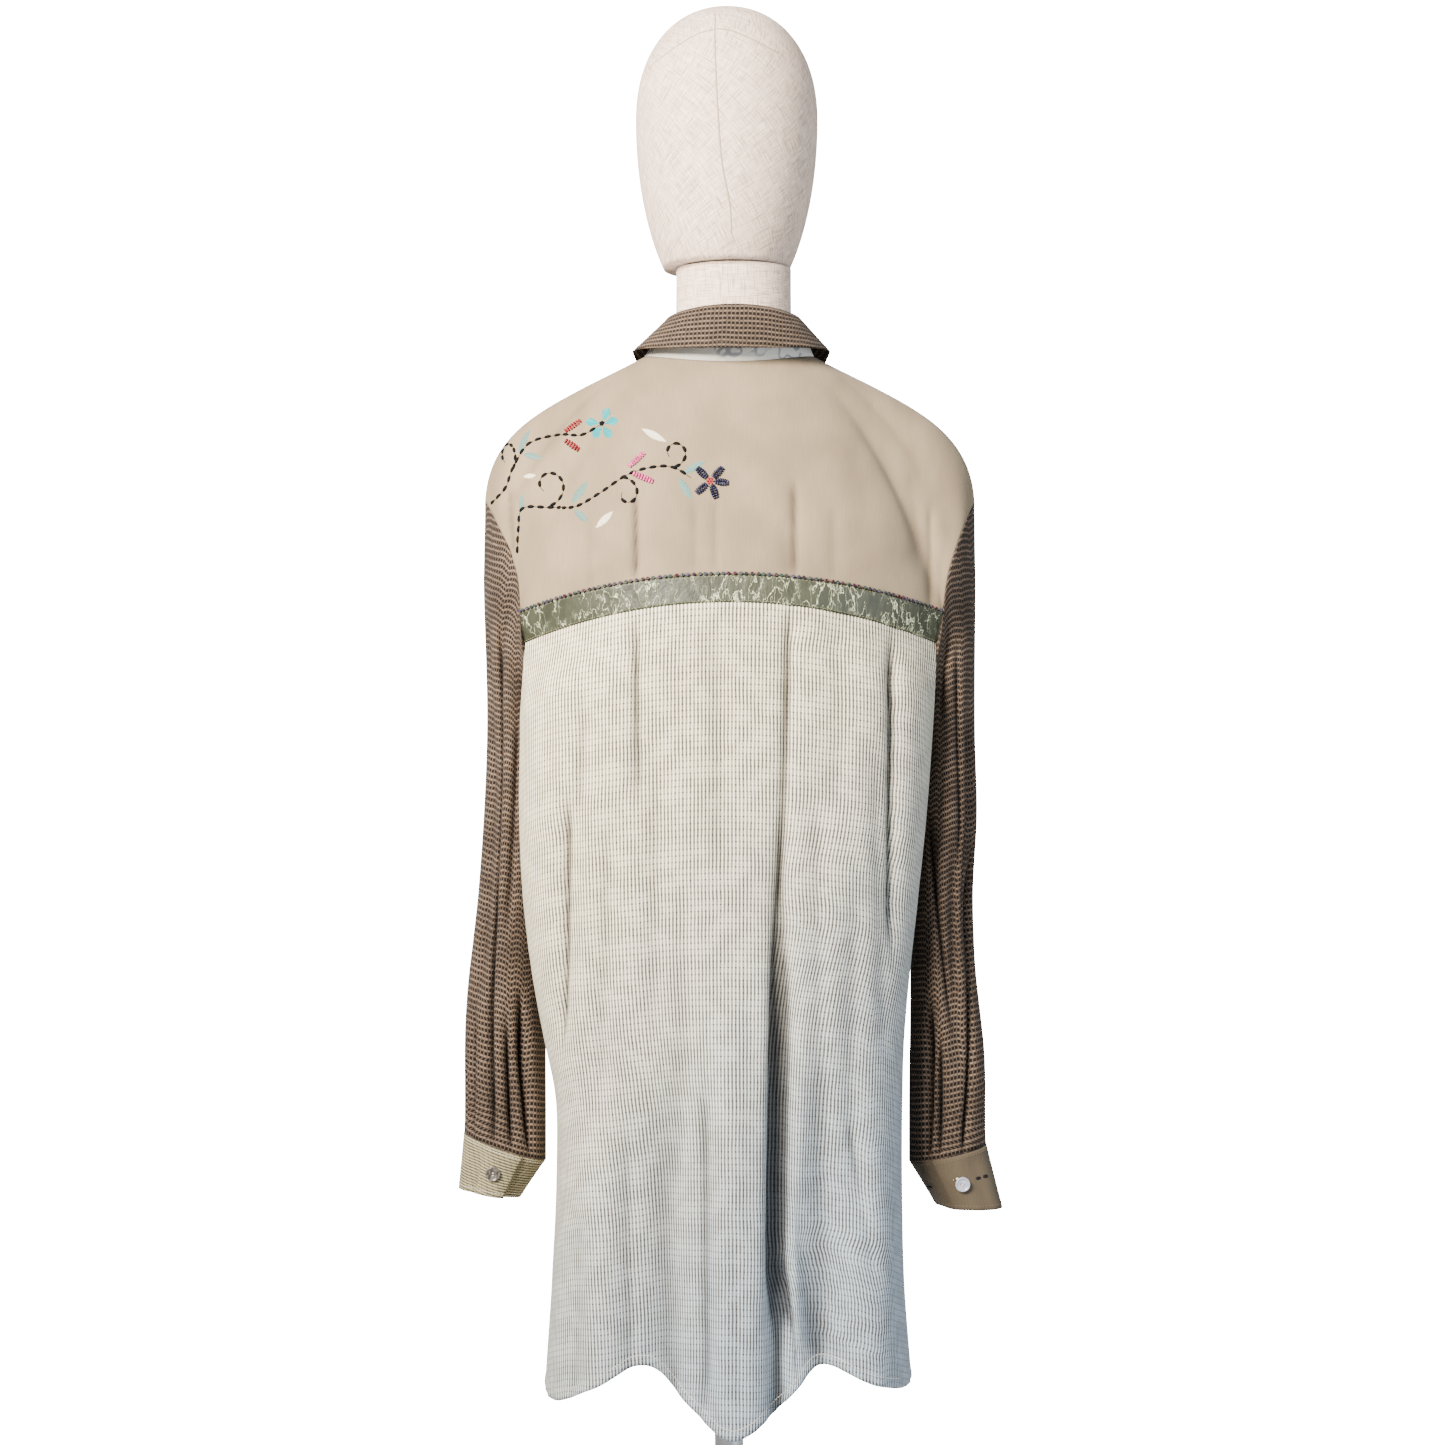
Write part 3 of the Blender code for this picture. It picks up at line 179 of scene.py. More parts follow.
# Sleeve creases: turn at the high and low ends, their heights, depth (in is negative), width as a
# share of a turn, and sharpness (2 is a soft bell, 1 a sharp edge)
CREASE_LEFT_ROWS = (
    (0.14, 0.14, 1.08, 0.82, -0.006, 0.035, 2.0),
    (0.23, 0.23, 0.8, 0.7, -0.007, 0.03, 2.0),
    (0.33, 0.33, 0.83, 0.7, -0.009, 0.032, 2.0),
    (0.62, 0.62, 1.05, 0.8, -0.007, 0.04, 2.0),
    (0.8, 0.8, 0.9, 0.7, -0.008, 0.04, 2.0),
)
CREASE_RIGHT_ROWS = (
    (0.11, 0.11, 1.12, 0.84, -0.006, 0.035, 2.0),
    (0.21, 0.21, 1.0, 0.7, -0.007, 0.032, 2.0),
    (0.33, 0.33, 0.86, 0.7, -0.007, 0.03, 2.0),
    (0.64, 0.64, 1.06, 0.78, -0.007, 0.04, 2.0),
    (0.81, 0.81, 0.88, 0.7, -0.008, 0.04, 2.0),
)
# Sharp creases that the solids leave out; those by the cuffs run into the seam
SHARP_LEFT_ROWS = (
    (0.195, 0.19, 1.19, 0.9, -0.0055, 0.012, 1.3),
    (0.188, 0.212, 0.96, 0.69, -0.01, 0.012, 1.2),
    (0.262, 0.292, 0.84, 0.69, -0.011, 0.013, 1.2),
    (0.315, 0.375, 0.86, 0.69, -0.014, 0.015, 1.2),
    (0.29, 0.25, 1.1, 0.88, -0.005, 0.02, 1.6),
    (0.12, 0.105, 0.86, 0.69, -0.0045, 0.014, 1.4),
    (0.05, 0.04, 0.82, 0.69, -0.007, 0.014, 1.3),
    (0.975, 0.96, 0.9, 0.69, -0.008, 0.015, 1.3),
    (0.89, 0.875, 0.86, 0.69, -0.0075, 0.014, 1.3),
    (0.78, 0.8, 0.98, 0.72, -0.007, 0.016, 1.4),
    (0.69, 0.715, 0.82, 0.69, -0.009, 0.014, 1.3),
    (0.26, 0.18, 1.23, 1.08, -0.004, 0.02, 1.6),
    (0.09, 0.14, 1.2, 1.0, -0.003, 0.022, 1.6),
)
SHARP_RIGHT_ROWS = (
    (0.355, 0.22, 1.01, 0.8, -0.008, 0.014, 1.3),
    (0.055, 0.205, 0.99, 0.68, -0.009, 0.013, 1.2),
    (0.285, 0.3, 0.83, 0.68, -0.011, 0.012, 1.2),
    (0.33, 0.35, 0.85, 0.68, -0.012, 0.013, 1.2),
    (0.215, 0.175, 1.16, 0.93, -0.006, 0.016, 1.4),
    (0.12, 0.15, 1.1, 0.87, -0.005, 0.015, 1.4),
    (0.03, 0.02, 0.8, 0.68, -0.007, 0.014, 1.3),
    (0.96, 0.93, 0.92, 0.69, -0.008, 0.015, 1.3),
    (0.88, 0.86, 0.84, 0.68, -0.0075, 0.014, 1.3),
    (0.77, 0.79, 1.0, 0.74, -0.007, 0.016, 1.4),
    (0.71, 0.73, 0.82, 0.68, -0.009, 0.014, 1.3),
    (0.25, 0.3, 1.21, 1.06, -0.0045, 0.018, 1.5),
)
SHARP_SEAM = 0.01
CREASE_FADE = 0.06

# Creases of the body seen from behind or in front: both ends in x and z, depth (in is negative),
# width and sharpness
BACK_FOLDS = (
    (-0.05, 1.19, -0.041, 0.9, -0.0065, 0.0045, 1.2),
    (-0.042, 1.02, -0.036, 0.56, -0.0105, 0.006, 1.2),
    (-0.029, 0.9, -0.023, 0.56, 0.0035, 0.008, 1.8),
    (-0.038, 0.64, -0.06, 0.53, -0.006, 0.005, 1.2),
    (-0.055, 0.7, -0.074, 0.53, -0.0045, 0.01, 1.8),
    (0.0785, 1.176, 0.076, 1.0, -0.005, 0.006, 1.4),
    (0.062, 1.1, 0.064, 0.78, -0.003, 0.011, 2.0),
    (0.122, 1.13, 0.133, 0.83, -0.0042, 0.01, 1.6),
    (0.101, 1.02, 0.112, 0.74, -0.004, 0.011, 2.0),
    (0.136, 1.035, 0.1425, 0.785, -0.008, 0.006, 1.3),
    (0.023, 0.8, 0.022, 0.48, -0.0055, 0.009, 1.6),
    (-0.002, 0.68, -0.009, 0.48, -0.0035, 0.008, 1.7),
    (0.086, 0.76, 0.08, 0.5, -0.0045, 0.01, 1.8),
    (0.128, 0.69, 0.131, 0.5, -0.004, 0.009, 1.8),
    (-0.137, 1.17, -0.14, 0.86, -0.0105, 0.006, 1.3),
    (-0.123, 1.08, -0.132, 0.78, -0.004, 0.009, 1.8),
    (-0.105, 0.96, -0.098, 0.62, -0.0045, 0.011, 1.9),
    (-0.096, 0.76, -0.125, 0.6, -0.004, 0.008, 1.6),
    (0.012, 1.18, 0.01, 0.94, -0.0022, 0.01, 2.0),
    (-0.09, 1.19, -0.086, 0.98, -0.0024, 0.012, 2.0),
    (-0.07, 1.05, -0.076, 0.7, -0.003, 0.01, 1.9),
    (0.042, 0.98, 0.044, 0.66, -0.0026, 0.012, 2.0),
)
YOKE_FOLDS = (
    (0.19, 1.286, 0.184, 1.215, -0.003, 0.0045, 1.4),
    (-0.172, 1.274, -0.171, 1.165, -0.003, 0.0045, 1.4),
    (-0.156, 1.3, -0.162, 1.2, -0.0018, 0.008, 1.8),
    (0.148, 1.3, 0.162, 1.2, -0.0016, 0.008, 1.8),
    (0.079, 1.275, 0.0782, 1.192, -0.004, 0.0042, 1.3),
    (-0.0535, 1.285, -0.0542, 1.192, -0.0034, 0.005, 1.4),
    (-0.044, 1.25, -0.048, 1.194, -0.0012, 0.005, 1.6),
    (0.03, 1.268, 0.029, 1.198, -0.0011, 0.0055, 1.6),
    (0.013, 1.27, 0.0125, 1.198, -0.0013, 0.0046, 1.5),
    (-0.086, 1.265, -0.085, 1.19, -0.0014, 0.007, 1.7),
    (0.118, 1.262, 0.116, 1.182, -0.0012, 0.007, 1.7),
    (0.038, 1.33, 0.03, 1.23, -0.0008, 0.012, 2.0),
    (-0.105, 1.33, -0.116, 1.22, -0.001, 0.012, 2.0),
)
FRONT_FOLDS = (
    (0.09, 1.23, 0.07, 0.96, -0.0025, 0.01, 1.7),
    (-0.084, 1.22, -0.074, 0.94, -0.0025, 0.009, 1.7),
    (0.124, 1.14, 0.113, 0.86, -0.003, 0.009, 1.6),
    (-0.127, 1.13, -0.116, 0.88, -0.003, 0.01, 1.6),
    (0.056, 0.9, 0.064, 0.52, -0.006, 0.015, 1.9),
    (-0.048, 0.86, -0.056, 0.52, -0.006, 0.014, 1.9),
    (0.106, 0.82, 0.112, 0.52, -0.005, 0.014, 1.9),
    (-0.102, 0.8, -0.11, 0.52, -0.005, 0.015, 1.9),
    (0.03, 1.1, 0.032, 0.9, -0.0015, 0.008, 1.8),
    (-0.033, 1.08, -0.035, 0.86, -0.0015, 0.008, 1.8),
)
FOLD_FADE = 0.22

# Cuffs: middle and half sizes of the seam end and the wrist end, and how far the seam end slants
CUFF_COLUMNS = ("z", "x", "y", "half_x", "half_y", "slant")
CUFF_LEFT_ROWS = (
    (0.711, 0.1948, -0.002, 0.0356, 0.031, 0.34),
    (0.6712, 0.2082, -0.002, 0.0262, 0.028, 0.16),
)
CUFF_RIGHT_ROWS = (
    (0.705, -0.1902, -0.002, 0.0336, 0.03, -0.22),
    (0.659, -0.2088, -0.002, 0.029, 0.028, 0.02),
)
CUFF_START = radians(66)
CUFF_END = radians(360 + 118)
CUFF_LIFT_FROM = radians(350)
CUFF_LIFT_TO = radians(415)
CUFF_LIFT = 0.0022

# Collar: the stand rises from the neck seam to the fold, and the fall turns down over it
FOLD_HALF_WIDTH = 0.0575
FOLD_SHIFT = -0.004
FOLD_BACK = 0.056
FOLD_FRONT = 0.064
FOLD_BACK_Z = 1.4325
FOLD_SIDE_Z = 1.427
FOLD_FRONT_Z = 1.374
FALL_HALF_WIDTH = 0.086
FALL_BACK = 0.077
FALL_FRONT = 0.108
FALL_BACK_Z = 1.395
FALL_SIDE_Z = 1.401
FALL_FRONT_Z = 1.318
FALL_OPENING = radians(16)
FOLD_RISE = 0.0015
FOLD_INNER_IN = 0.0012
FOLD_CREST_OUT = 0.001
FOLD_CREST_UP = 0.0006
FOLD_SHOULDER_OUT = 0.0042
FOLD_SHOULDER_DOWN = 0.003

# Fronts, placket and buttons
FRONT_LEFT_EDGE = -0.014
FRONT_RIGHT_EDGE = 0.0143
PLACKET_LEFT = 0.0148
PLACKET_RIGHT = -0.0162
BUTTON_HEIGHTS = (1.3, 1.225, 1.15, 1.062, 0.974, 0.886, 0.798)

# Dress form: half width, back depth and front depth, from its flat underside to below the arms
FORM_COLUMNS = ("z", "half_width", "back", "front")
FORM_ROWS = (
    (0.7, 0.138, 0.1, 0.096),
    (0.77, 0.14, 0.106, 0.1),
    (0.84, 0.132, 0.098, 0.096),
    (0.915, 0.12, 0.086, 0.09),
    (0.98, 0.124, 0.09, 0.098),
    (1.05, 0.137, 0.102, 0.116),
    (1.11, 0.145, 0.108, 0.114),
    (1.18, 0.156, 0.106, 0.092),
)
FORM_SHOULDER_HALF_WIDTH = 0.198
FORM_SHOULDER_BACK = 0.069
FORM_SHOULDER_FRONT = 0.074
FORM_SHOULDER_Z = 1.26
FORM_SQUARENESS = 2.15
FORM_NECK_FOOT_SCALE = (0.88, 0.82, 1.0)
FORM_SHOULDER_DROP = -0.0017
FORM_ROUND_EASE = 0.013
FORM_NECK_COLUMNS = ("z", "radius")
FORM_NECK_ROWS = (
    (1.411, 0.052),
    (1.428, 0.0505),
    (1.45, 0.05),
    (1.4722, 0.05),
)
FORM_NECK_X = -0.004

# Head: two half ovals of revolution, deeper from front to back than it is wide
HEAD_X = 0.002
HEAD_Y = -0.006
HEAD_RADIUS = 0.0793
HEAD_MIDDLE_Z = 1.602
HEAD_TOP_Z = 1.7
HEAD_LOWER_REACH = 0.178
HEAD_DEPTH_SCALE = 1.16
HEAD_TOP_SQUARENESS = 2.2
HEAD_FOOT_LEVEL = -0.72
HEAD_TIP_RADIUS = 0.0002

# Stand
BASE_RADIUS = 0.17
BASE_HEIGHT = 0.012
HUB_RADIUS = 0.028
HUB_HEIGHT = 0.03
POLE_RADIUS = 0.0125
EDGE_CHAMFER = 0.004
EDGE_BEND = 0.0012
AXIS_GAP = 0.0005

# Numbers of segments
BACK_SEGMENTS = 176
YOKE_SIDE_SEGMENTS = 40
UNDERARM_SEGMENTS = 18
FRONT_ARMHOLE_SEGMENTS = 30
FRONT_SEGMENTS = 42
YOKE_ROWS = 64
BAND_ROWS = 12
BACK_ROWS = 150
FRONT_UPPER_ROWS = 50
FRONT_LOWER_ROWS = 90
SLEEVE_TURN_SEGMENTS = 208
SLEEVE_LENGTH_SEGMENTS = 112
CUFF_SEGMENTS = 120
CUFF_ROWS = 20
STAND_ROWS = 10
FALL_ROWS = 16
ARC_STEPS = 720
FORM_SEGMENTS = 120
HEAD_SEGMENTS = 128
HEAD_LEVELS = 90
FORM_NECK_LEVELS = 22
FORM_SHOULDER_ROWS = 24
FORM_BODY_LEVELS = 60
FLOOR_SEGMENTS = 96

# Share of the cream's red, green and blue that the left cuff is painted with: painted shade on the
# body's own cloth, also a little yellower
SHADED_CUFF_CREAM = (0.4, 0.385, 0.3)
# Cloth detail
RIBBON_LIFT = 0.0006
PLACKET_LIFT = 0.0015
PLACKET_SEGMENTS = 12
FACING_REACH = 0.03
HEM_WIDTH = 0.0085
HEM_LIFT = 0.0006
HEM_GROOVE = 0.0006
HEM_PUCKER = 0.0005
HEM_WAVES = (310.0, 83.0, 0.7)
HEM_STEP = 0.002
HEM_GROOVE_WIDTH = 0.0011
HEM_PUCKER_REACH = 0.016
CUFF_DENT = 0.0022
CUFF_WAVE = 0.0014
CUFF_DENT_SPAN = (0.86, 0.035)
CUFF_WAVES = (26.0, 9.0)
# Seams of the head as seen, from the crown down the centre back and in an arc over the crown,
# and the half width and half height of their cord
HEAD_SEAM_BACK = ((0.0122, 1.696), (0.0122, 1.6648), (0.0096, 1.6082), (0.0061, 1.5656),
                  (-0.0005, 1.531), (-0.0024, 1.504))
HEAD_SEAM_CROWN = ((0.067, 1.6515), (0.043, 1.669), (0.0218, 1.68), (-0.0026, 1.6806),
                   (-0.0435, 1.6612))
HEAD_SEAM = (0.00075, 0.0003)
# Marks on the cuffs as seen, from x, z to x, z
CUFF_DASH_ROWS = (
    (-0.2148, 0.682, -0.2188, 0.6828),
    (-0.221, 0.6836, -0.2248, 0.6845),
    (-0.1726, 0.6742, -0.1766, 0.675),
)
CUFF_HOLE_LEFT = (0.2042, 0.6966, 0.199, 0.6958)
CUFF_HOLE_RIGHT = (-0.195, 0.681, -0.205, 0.683)
MARK_POINTS = 8
TURN_SEGMENTS = 96
YOKE_EASE_PASSES = 40
YOKE_EASE_REACH = 22
YOKE_EASE_TOP = 0.12
YOKE_EASE_FOOT = 0.10
# Painted shade in the folds' hollows: smoothing passes, the depth at which the shade is full, and
# the colour multiplied in there
HOLLOW_PASSES = 14
HOLLOW_DEPTH = 0.0022
HOLLOW_PAINTED_SHADE = (0.2, 0.19, 0.19)

# Light: strength of the sky; the soft lights' place, aim, width of beam, size and colour
SKY_STRENGTH = 0.55
BACKDROP_STRENGTH = 22.0
KEY_LIGHT = ((1.15, 1.75, 2.15), (0.1, 0.0, 1.34), radians(84), 0.9, (1.0, 0.93, 0.83))
FILL_LIGHT = ((-1.9, 1.5, 0.9), (0.0, 0.0, 0.9), radians(120), 1.4, (0.74, 0.86, 1.0))
SENSOR_WIDTH = 36.0

# Camera's place, from which the embroidery is set out as it is seen
EYE = (0.0057, 2.4, 1.0788)

# Rows of stitches: lengths in from the edges of their cloth
CUFF_SEWING = (0.004, 0.003)
RIBBON_SEWING = (0.0012, 0.001)
STAND_SEWING = 0.0016
FALL_SEWING = 0.005
# Sewing: stitch length on cloth, share of it that shows, half width and half height
TOP_STITCH = (0.003, 0.74, 0.00026, 0.00022)
BLACK_STITCH = (0.009, 0.68, 0.00138, 0.0009)
VINE_THREAD = (0.006, 0.999, 0.0003, 0.0002)
BEAD_STITCH = (0.01, 0.99, 0.0003, 0.0003)
# Threads alone: half width and half height
BEAD_THREAD = (0.00024, 0.00024)
HOLE_THREAD = (0.0011, 0.0004)
THREAD_SIDES = 6
THREAD_RINGS = 6
THREAD_SINK = 0.0001

# Beads: ring and tube radius, stretch along the hole, segments round the ring and the tube
SEAM_BEAD = (0.00086, 0.00072, 1.1)
SEAM_BEAD_PITCH = 0.0048
SEAM_BEAD_RISE = 0.001
SEAM_BEAD_LIFT = 0.0013
SEAM_BEAD_END = 0.0008
SEAM_BEAD_DRIFT = 0.0005
SEAM_BEAD_TILT = 0.35
SMALL_BEAD = (0.00058, 0.00042, 1.3)
BEAD_RING = 14
BEAD_TUBE = 8

# Vines: points that each stem passes, as seen on the upright plane through the form's axis
VINE_HIGH = ((0.207, 1.269), (0.1945, 1.283), (0.188, 1.3), (0.174, 1.3215),
             (0.148, 1.329), (0.128, 1.329), (0.111, 1.3385))
VINE_LOW = ((0.1842, 1.226), (0.183, 1.248), (0.1795, 1.265), (0.156, 1.266),
            (0.134, 1.2665), (0.113, 1.278), (0.088, 1.2945), (0.066, 1.301),
            (0.048, 1.3005), (0.03, 1.2895))
# Curls: where one leaves its stem, its centre, its turn, its last radius and how narrow it is
CURL_COLUMNS = ("from_x", "from_z", "x", "z", "turn", "end", "squash")
CURL_ROWS = (
    (0.1884, 1.2985, 0.1925, 1.3115, -335.0, 0.0075, 0.55),
    (0.1558, 1.2672, 0.1566, 1.286, -340.0, 0.007, 1.0),
    (0.0931, 1.2925, 0.089, 1.2768, 330.0, 0.004, 1.0),
    (0.0478, 1.301, 0.047, 1.314, -335.0, 0.006, 1.0),
)
# Satin leaves
LEAF_COLUMNS = ("root_x", "root_z", "tip_x", "tip_z", "half", "colour")
LEAF_ROWS = (
    (0.1835, 1.313, 0.1735, 1.3345, 0.0026, "teal"),
    (0.1795, 1.3125, 0.162, 1.3085, 0.003, "teal"),
    (0.168, 1.294, 0.179, 1.2925, 0.0024, "white"),
    (0.1812, 1.261, 0.18, 1.2785, 0.0024, "teal"),
    (0.1375, 1.269, 0.1225, 1.289, 0.0036, "teal"),
    (0.135, 1.264, 0.1225, 1.2535, 0.0034, "teal"),
    (0.101, 1.2625, 0.116, 1.248, 0.0032, "white"),
    (0.0545, 1.323, 0.076, 1.3345, 0.0034, "white"),
    (0.0405, 1.295, 0.0205, 1.3065, 0.0036, "teal"),
    (0.044, 1.292, 0.0325, 1.273, 0.0036, "teal"),
)
# Bead leaves: root, tip, rows of beads, colour
BEAD_LEAF_ROWS = (
    (0.1425, 1.3315, 0.1285, 1.3415, 7, "red"),
    (0.1425, 1.324, 0.13, 1.3155, 6, "red"),
    (0.087, 1.301, 0.0735, 1.3135, 8, "pink"),
    (0.0835, 1.2955, 0.0655, 1.288, 8, "pink"),
)
# Flowers: centre, how far from it petals start and end, and half width; each petal's own turn
SATIN_FLOWER = (0.1105, 1.3388, 0.0018, 0.0148, 0.004)
SATIN_FLOWER_TURNS = (68.0, 14.0, -58.0, -120.0, 172.0)
BEAD_FLOWER = (0.0164, 1.2888, 0.0038, 0.0162)
BEAD_FLOWER_TURNS = (136.0, 47.0, -6.0, -70.0, -138.0)
PETAL_BEAD = (0.0005, 0.00048, 3.3)
# Knots and beads at the flowers' centres: radius of their ring and how high they lie
KNOT_BEAD = (0.0006, 0.0006, 1.0)
KNOT_RING = 0.0012
KNOT_RISE = 0.0007
CENTRE_RING = 0.0024
CENTRE_RISE = 0.0008
LEAF_RISE = 0.0007
LEAF_LENGTH_STEPS = 14
LEAF_WIDTH_STEPS = 8
SATIN_WALL = 0.0003
BEAD_SLANT = 0.25
BEAD_RISE = 0.0009
BEAD_SPREAD = 0.00125

# Buttons: profile points as shares of the radius and of the thickness, and the holes' size
BUTTON_PROFILE = ((0.02, 0.62), (0.45, 0.6), (0.66, 0.64), (0.76, 0.86), (0.86, 1.0),
                  (0.95, 0.95), (1.0, 0.62), (0.985, 0.25), (0.9, 0.02), (0.02, 0.0))
BUTTON_TOP = (0.02, 0.95)
BUTTON_TOP_STEPS = 22
BUTTON_SEGMENTS = 56
HOLE_RADIUS = 0.00078
HOLE_SPREAD = 0.0014
HOLE_DEPTH = 0.434
FRONT_BUTTON = (0.0055, 0.0022)
CUFF_BUTTON = (0.0064, 0.0022)
BUTTON_THREAD_GAP = 0.00022
THREAD_CREST = 0.00045
THREAD_DIVE = 0.0009
TWO_HOLES = 1.3


def table(columns, rows):
    """Return a dictionary of named columns."""
    values = np.array(rows, dtype=float)
    return {name: values[:, i] for i, name in enumerate(columns)}


def ease(value):
    """Smooth step from 0 to 1: 3 t squared less 2 t cubed."""
    t = np.clip(value, 0.0, 1.0)
    return t * t * (3.0 - 2.0 * t)


def through(stations, values, at):
    """Cubic Hermite curve through the values, with slopes from their neighbours."""
    slopes = np.gradient(values, stations)
    at = np.clip(at, stations[0], stations[-1])
    i = np.clip(np.searchsorted(stations, at) - 1, 0, len(stations) - 2)
    step = stations[i + 1] - stations[i]
    t = (at - stations[i]) / step
    start = (1 + 2 * t) * (1 - t) ** 2 * values[i] + t * (1 - t) ** 2 * step * slopes[i]
    end = t * t * (3 - 2 * t) * values[i + 1] + t * t * (t - 1) * step * slopes[i + 1]
    return start + end


def shares(count):
    """Even shares from 0 to 1, one to a row."""
    return np.linspace(0.0, 1.0, count + 1)[:, None]


def all_round(count):
    """Even angles once round."""
    return np.linspace(0.0, 2 * pi, count, endpoint=False)


def neck_seam(angle):
    """Neck seam: an oval in plan, highest at the sides and lowest in front."""
    sine = np.sin(angle)
    x = NECK_HALF_WIDTH * np.cos(angle)
    y = np.where(sine > 0, NECK_BACK, NECK_FRONT) * sine
    back_z = NECK_SIDE_Z + (NECK_BACK_Z - NECK_SIDE_Z) * sine ** 2
    front_z = NECK_SIDE_Z + (NECK_FRONT_Z - NECK_SIDE_Z) * np.abs(sine) ** 1.5
    return np.stack((x, y, np.where(sine > 0, back_z, front_z)), axis=-1)


def armhole(side, turn):
    """Armhole seam: a smooth closed curve through the rows of the armhole table."""
    data = table(ARMHOLE_COLUMNS, ARMHOLE_ROWS)
    turns = np.concatenate((data["turn"] - 1, data["turn"], data["turn"] + 1))
    x_name = "x_left" if side > 0 else "x_right"
    x, y, z = (through(turns, np.tile(data[name], 3), turn) for name in (x_name, "y", "z"))
    return np.stack((side * x, y, z), axis=-1)


def cross_line(end, middle, roundness, place, drop=1.0):
    """Line across the body, whose y and z ease from its end to its middle."""
    reach = np.abs(place)
    x = end[0] * place
    y = end[1] + (middle[0] - end[1]) * (1 - reach ** roundness) ** drop
    z = end[2] + (middle[1] - end[2]) * (1 - reach ** 2)
    return np.stack((x, y, z), axis=-1)


def chest_line(place):
    """Line across the front, which leaves the underarm straight forward."""
    square = FRONT_SQUARENESS
    return cross_line(armhole(1, 0.5), CHEST_MIDDLE, square, place, 1 / square)


def places(first, last, count):
    """Sines of evenly spaced angles, closer together towards the ends where a line turns."""
    edge = np.sin(PLACE_BEND)
    bends = np.linspace(np.arcsin(first * edge), np.arcsin(last * edge), count + 1)
    return np.sin(bends) / edge


def back_line(turn, middle):
    """Line across the back, from left to right, between the same turn of both armholes."""
    place = places(-1.0, 1.0, BACK_SEGMENTS)
    left = cross_line(armhole(1, turn), middle, BAND_ROUNDNESS, -place)
    right = cross_line(armhole(-1, turn), middle, BAND_ROUNDNESS, place)
    return np.where(place[:, None] < 0, left, right)


def armhole_share(turn):
    """Bell curve of the turn: 1 at the upright part of the armhole, 0 far off."""
    return np.exp(-((np.abs(turn) - ARMHOLE_BACK_TURN) / ARMHOLE_BACK_REACH) ** 2)


def chest_pull(points):
    """How far points must move forwards or backwards to lie on the superellipse of the chest."""
    reach = np.minimum(np.abs(points[:, 0]) / CHEST_HALF_WIDTH, 1.0)
    full = np.where(points[:, 1] > 0, CHEST_BACK, CHEST_FRONT)
    depth = full * (1 - reach ** CHEST_SQUARENESS) ** (1 / CHEST_SQUARENESS)
    return np.sign(points[:, 1]) * np.maximum(depth - np.abs(points[:, 1]), 0.0)


def ribs(neck, outer, sideways, rows, fullness=1.0):
    """Cubic Bezier ribs that leave the neck seam sloping and reach the outer points hanging."""
    s = shares(rows)[:, None]
    reach = RIB_FAR + (RIB_FAR_AT_ARMHOLE - RIB_FAR) * sideways
    lift = RIB_LIFT + (RIB_LIFT_AT_ARMHOLE - RIB_LIFT) * sideways
    near = neck + RIB_NEAR * (outer - neck)
    far = neck + reach[:, None] * (outer - neck)
    near[:, 2] = neck[:, 2] - RIB_DROP
    far[:, 2] = outer[:, 2] + lift
    pull = fullness * chest_pull(far)
    near[:, 1] += RIB_NEAR_PULL * pull
    far[:, 1] += pull
    inner_part = neck * (1 - s) ** 3 + near * 3 * s * (1 - s) ** 2
    return inner_part + far * 3 * s ** 2 * (1 - s) + outer * s ** 3


def unit_arc(squareness, share):
    """Quarter superellipse by share of its length, from the side (1, 0) to the middle (0, 1)."""
    angle = np.linspace(0.0, pi / 2, ARC_STEPS + 1)
    x = np.cos(angle) ** (2 / squareness)
    y = np.sin(angle) ** (2 / squareness)
    steps = np.hypot(SECTION_WIDTH_TO_DEPTH * np.diff(x), np.diff(y))
    length = np.concatenate(([0.0], np.cumsum(steps)))
    at = share * length[-1]
    return np.interp(at, length, x), np.interp(at, length, y)


def body_at(name, z):
    """Value of one column of the body's sections at heights z."""
    data = table(BODY_COLUMNS, BODY_ROWS)
    return through(data["z"], data[name], z)


def back_section(across, z):
    """Back of the body at heights z: half superellipses pinched in at the side seams."""
    left = across < 0.5
    share = 1 - np.abs(2 * across - 1)
    unit_x, unit_y = unit_arc(BACK_SQUARENESS, share)
    corner = np.where(left, body_at("corner_left", z), body_at("corner_right", z))
    seam = np.where(left, body_at("side_left", z), body_at("side_right", z))
    pinch = (corner - seam) * ease((1 - share - PINCH_START) / (1 - PINCH_START))
    x = np.where(left, 1, -1) * (corner * unit_x - pinch)
    return np.stack((x, body_at("back", z) * unit_y, z), axis=-1)


def front_section(side, share, z):
    """Front of the body at heights z: a quarter superellipse from the side seam to the middle."""
    unit_x, unit_y = unit_arc(FRONT_SQUARENESS, share)
    seam = body_at("side_left" if side > 0 else "side_right", z)
    return np.stack((seam * unit_x, -body_at("front", z) * unit_y, z), axis=-1)


def flutes(x, z):
    """Sum of bell curves across, each easing in below its own height."""
    down = np.clip((FLUTE_TOP_Z - z) / FLUTE_FALL, 0.0, 1.0)
    total = np.zeros_like(x)
    for x_top, x_low, z_start, depth, width in FLUTE_ROWS:
        middle = x_top + (x_low - x_top) * down
        fall = ease((z_start - z) / FLUTE_FADE)
        total += depth * fall * np.exp(-((x - middle) / width) ** 2)
    return total


def fold_depth(x, z, rows):
    """Sum of creases: lines with a bell of their own power across, eased out at both ends."""
    total = np.zeros_like(x)
    for x_high, z_high, x_low, z_low, depth, width, power in rows:
        down = (z_high - z) / (z_high - z_low)
        middle = x_high + (x_low - x_high) * down
        fade = ease(down / FOLD_FADE) * ease((1 - down) / FOLD_FADE)
        total += depth * fade * np.exp(-(np.abs(x - middle) / width) ** power)
    return total


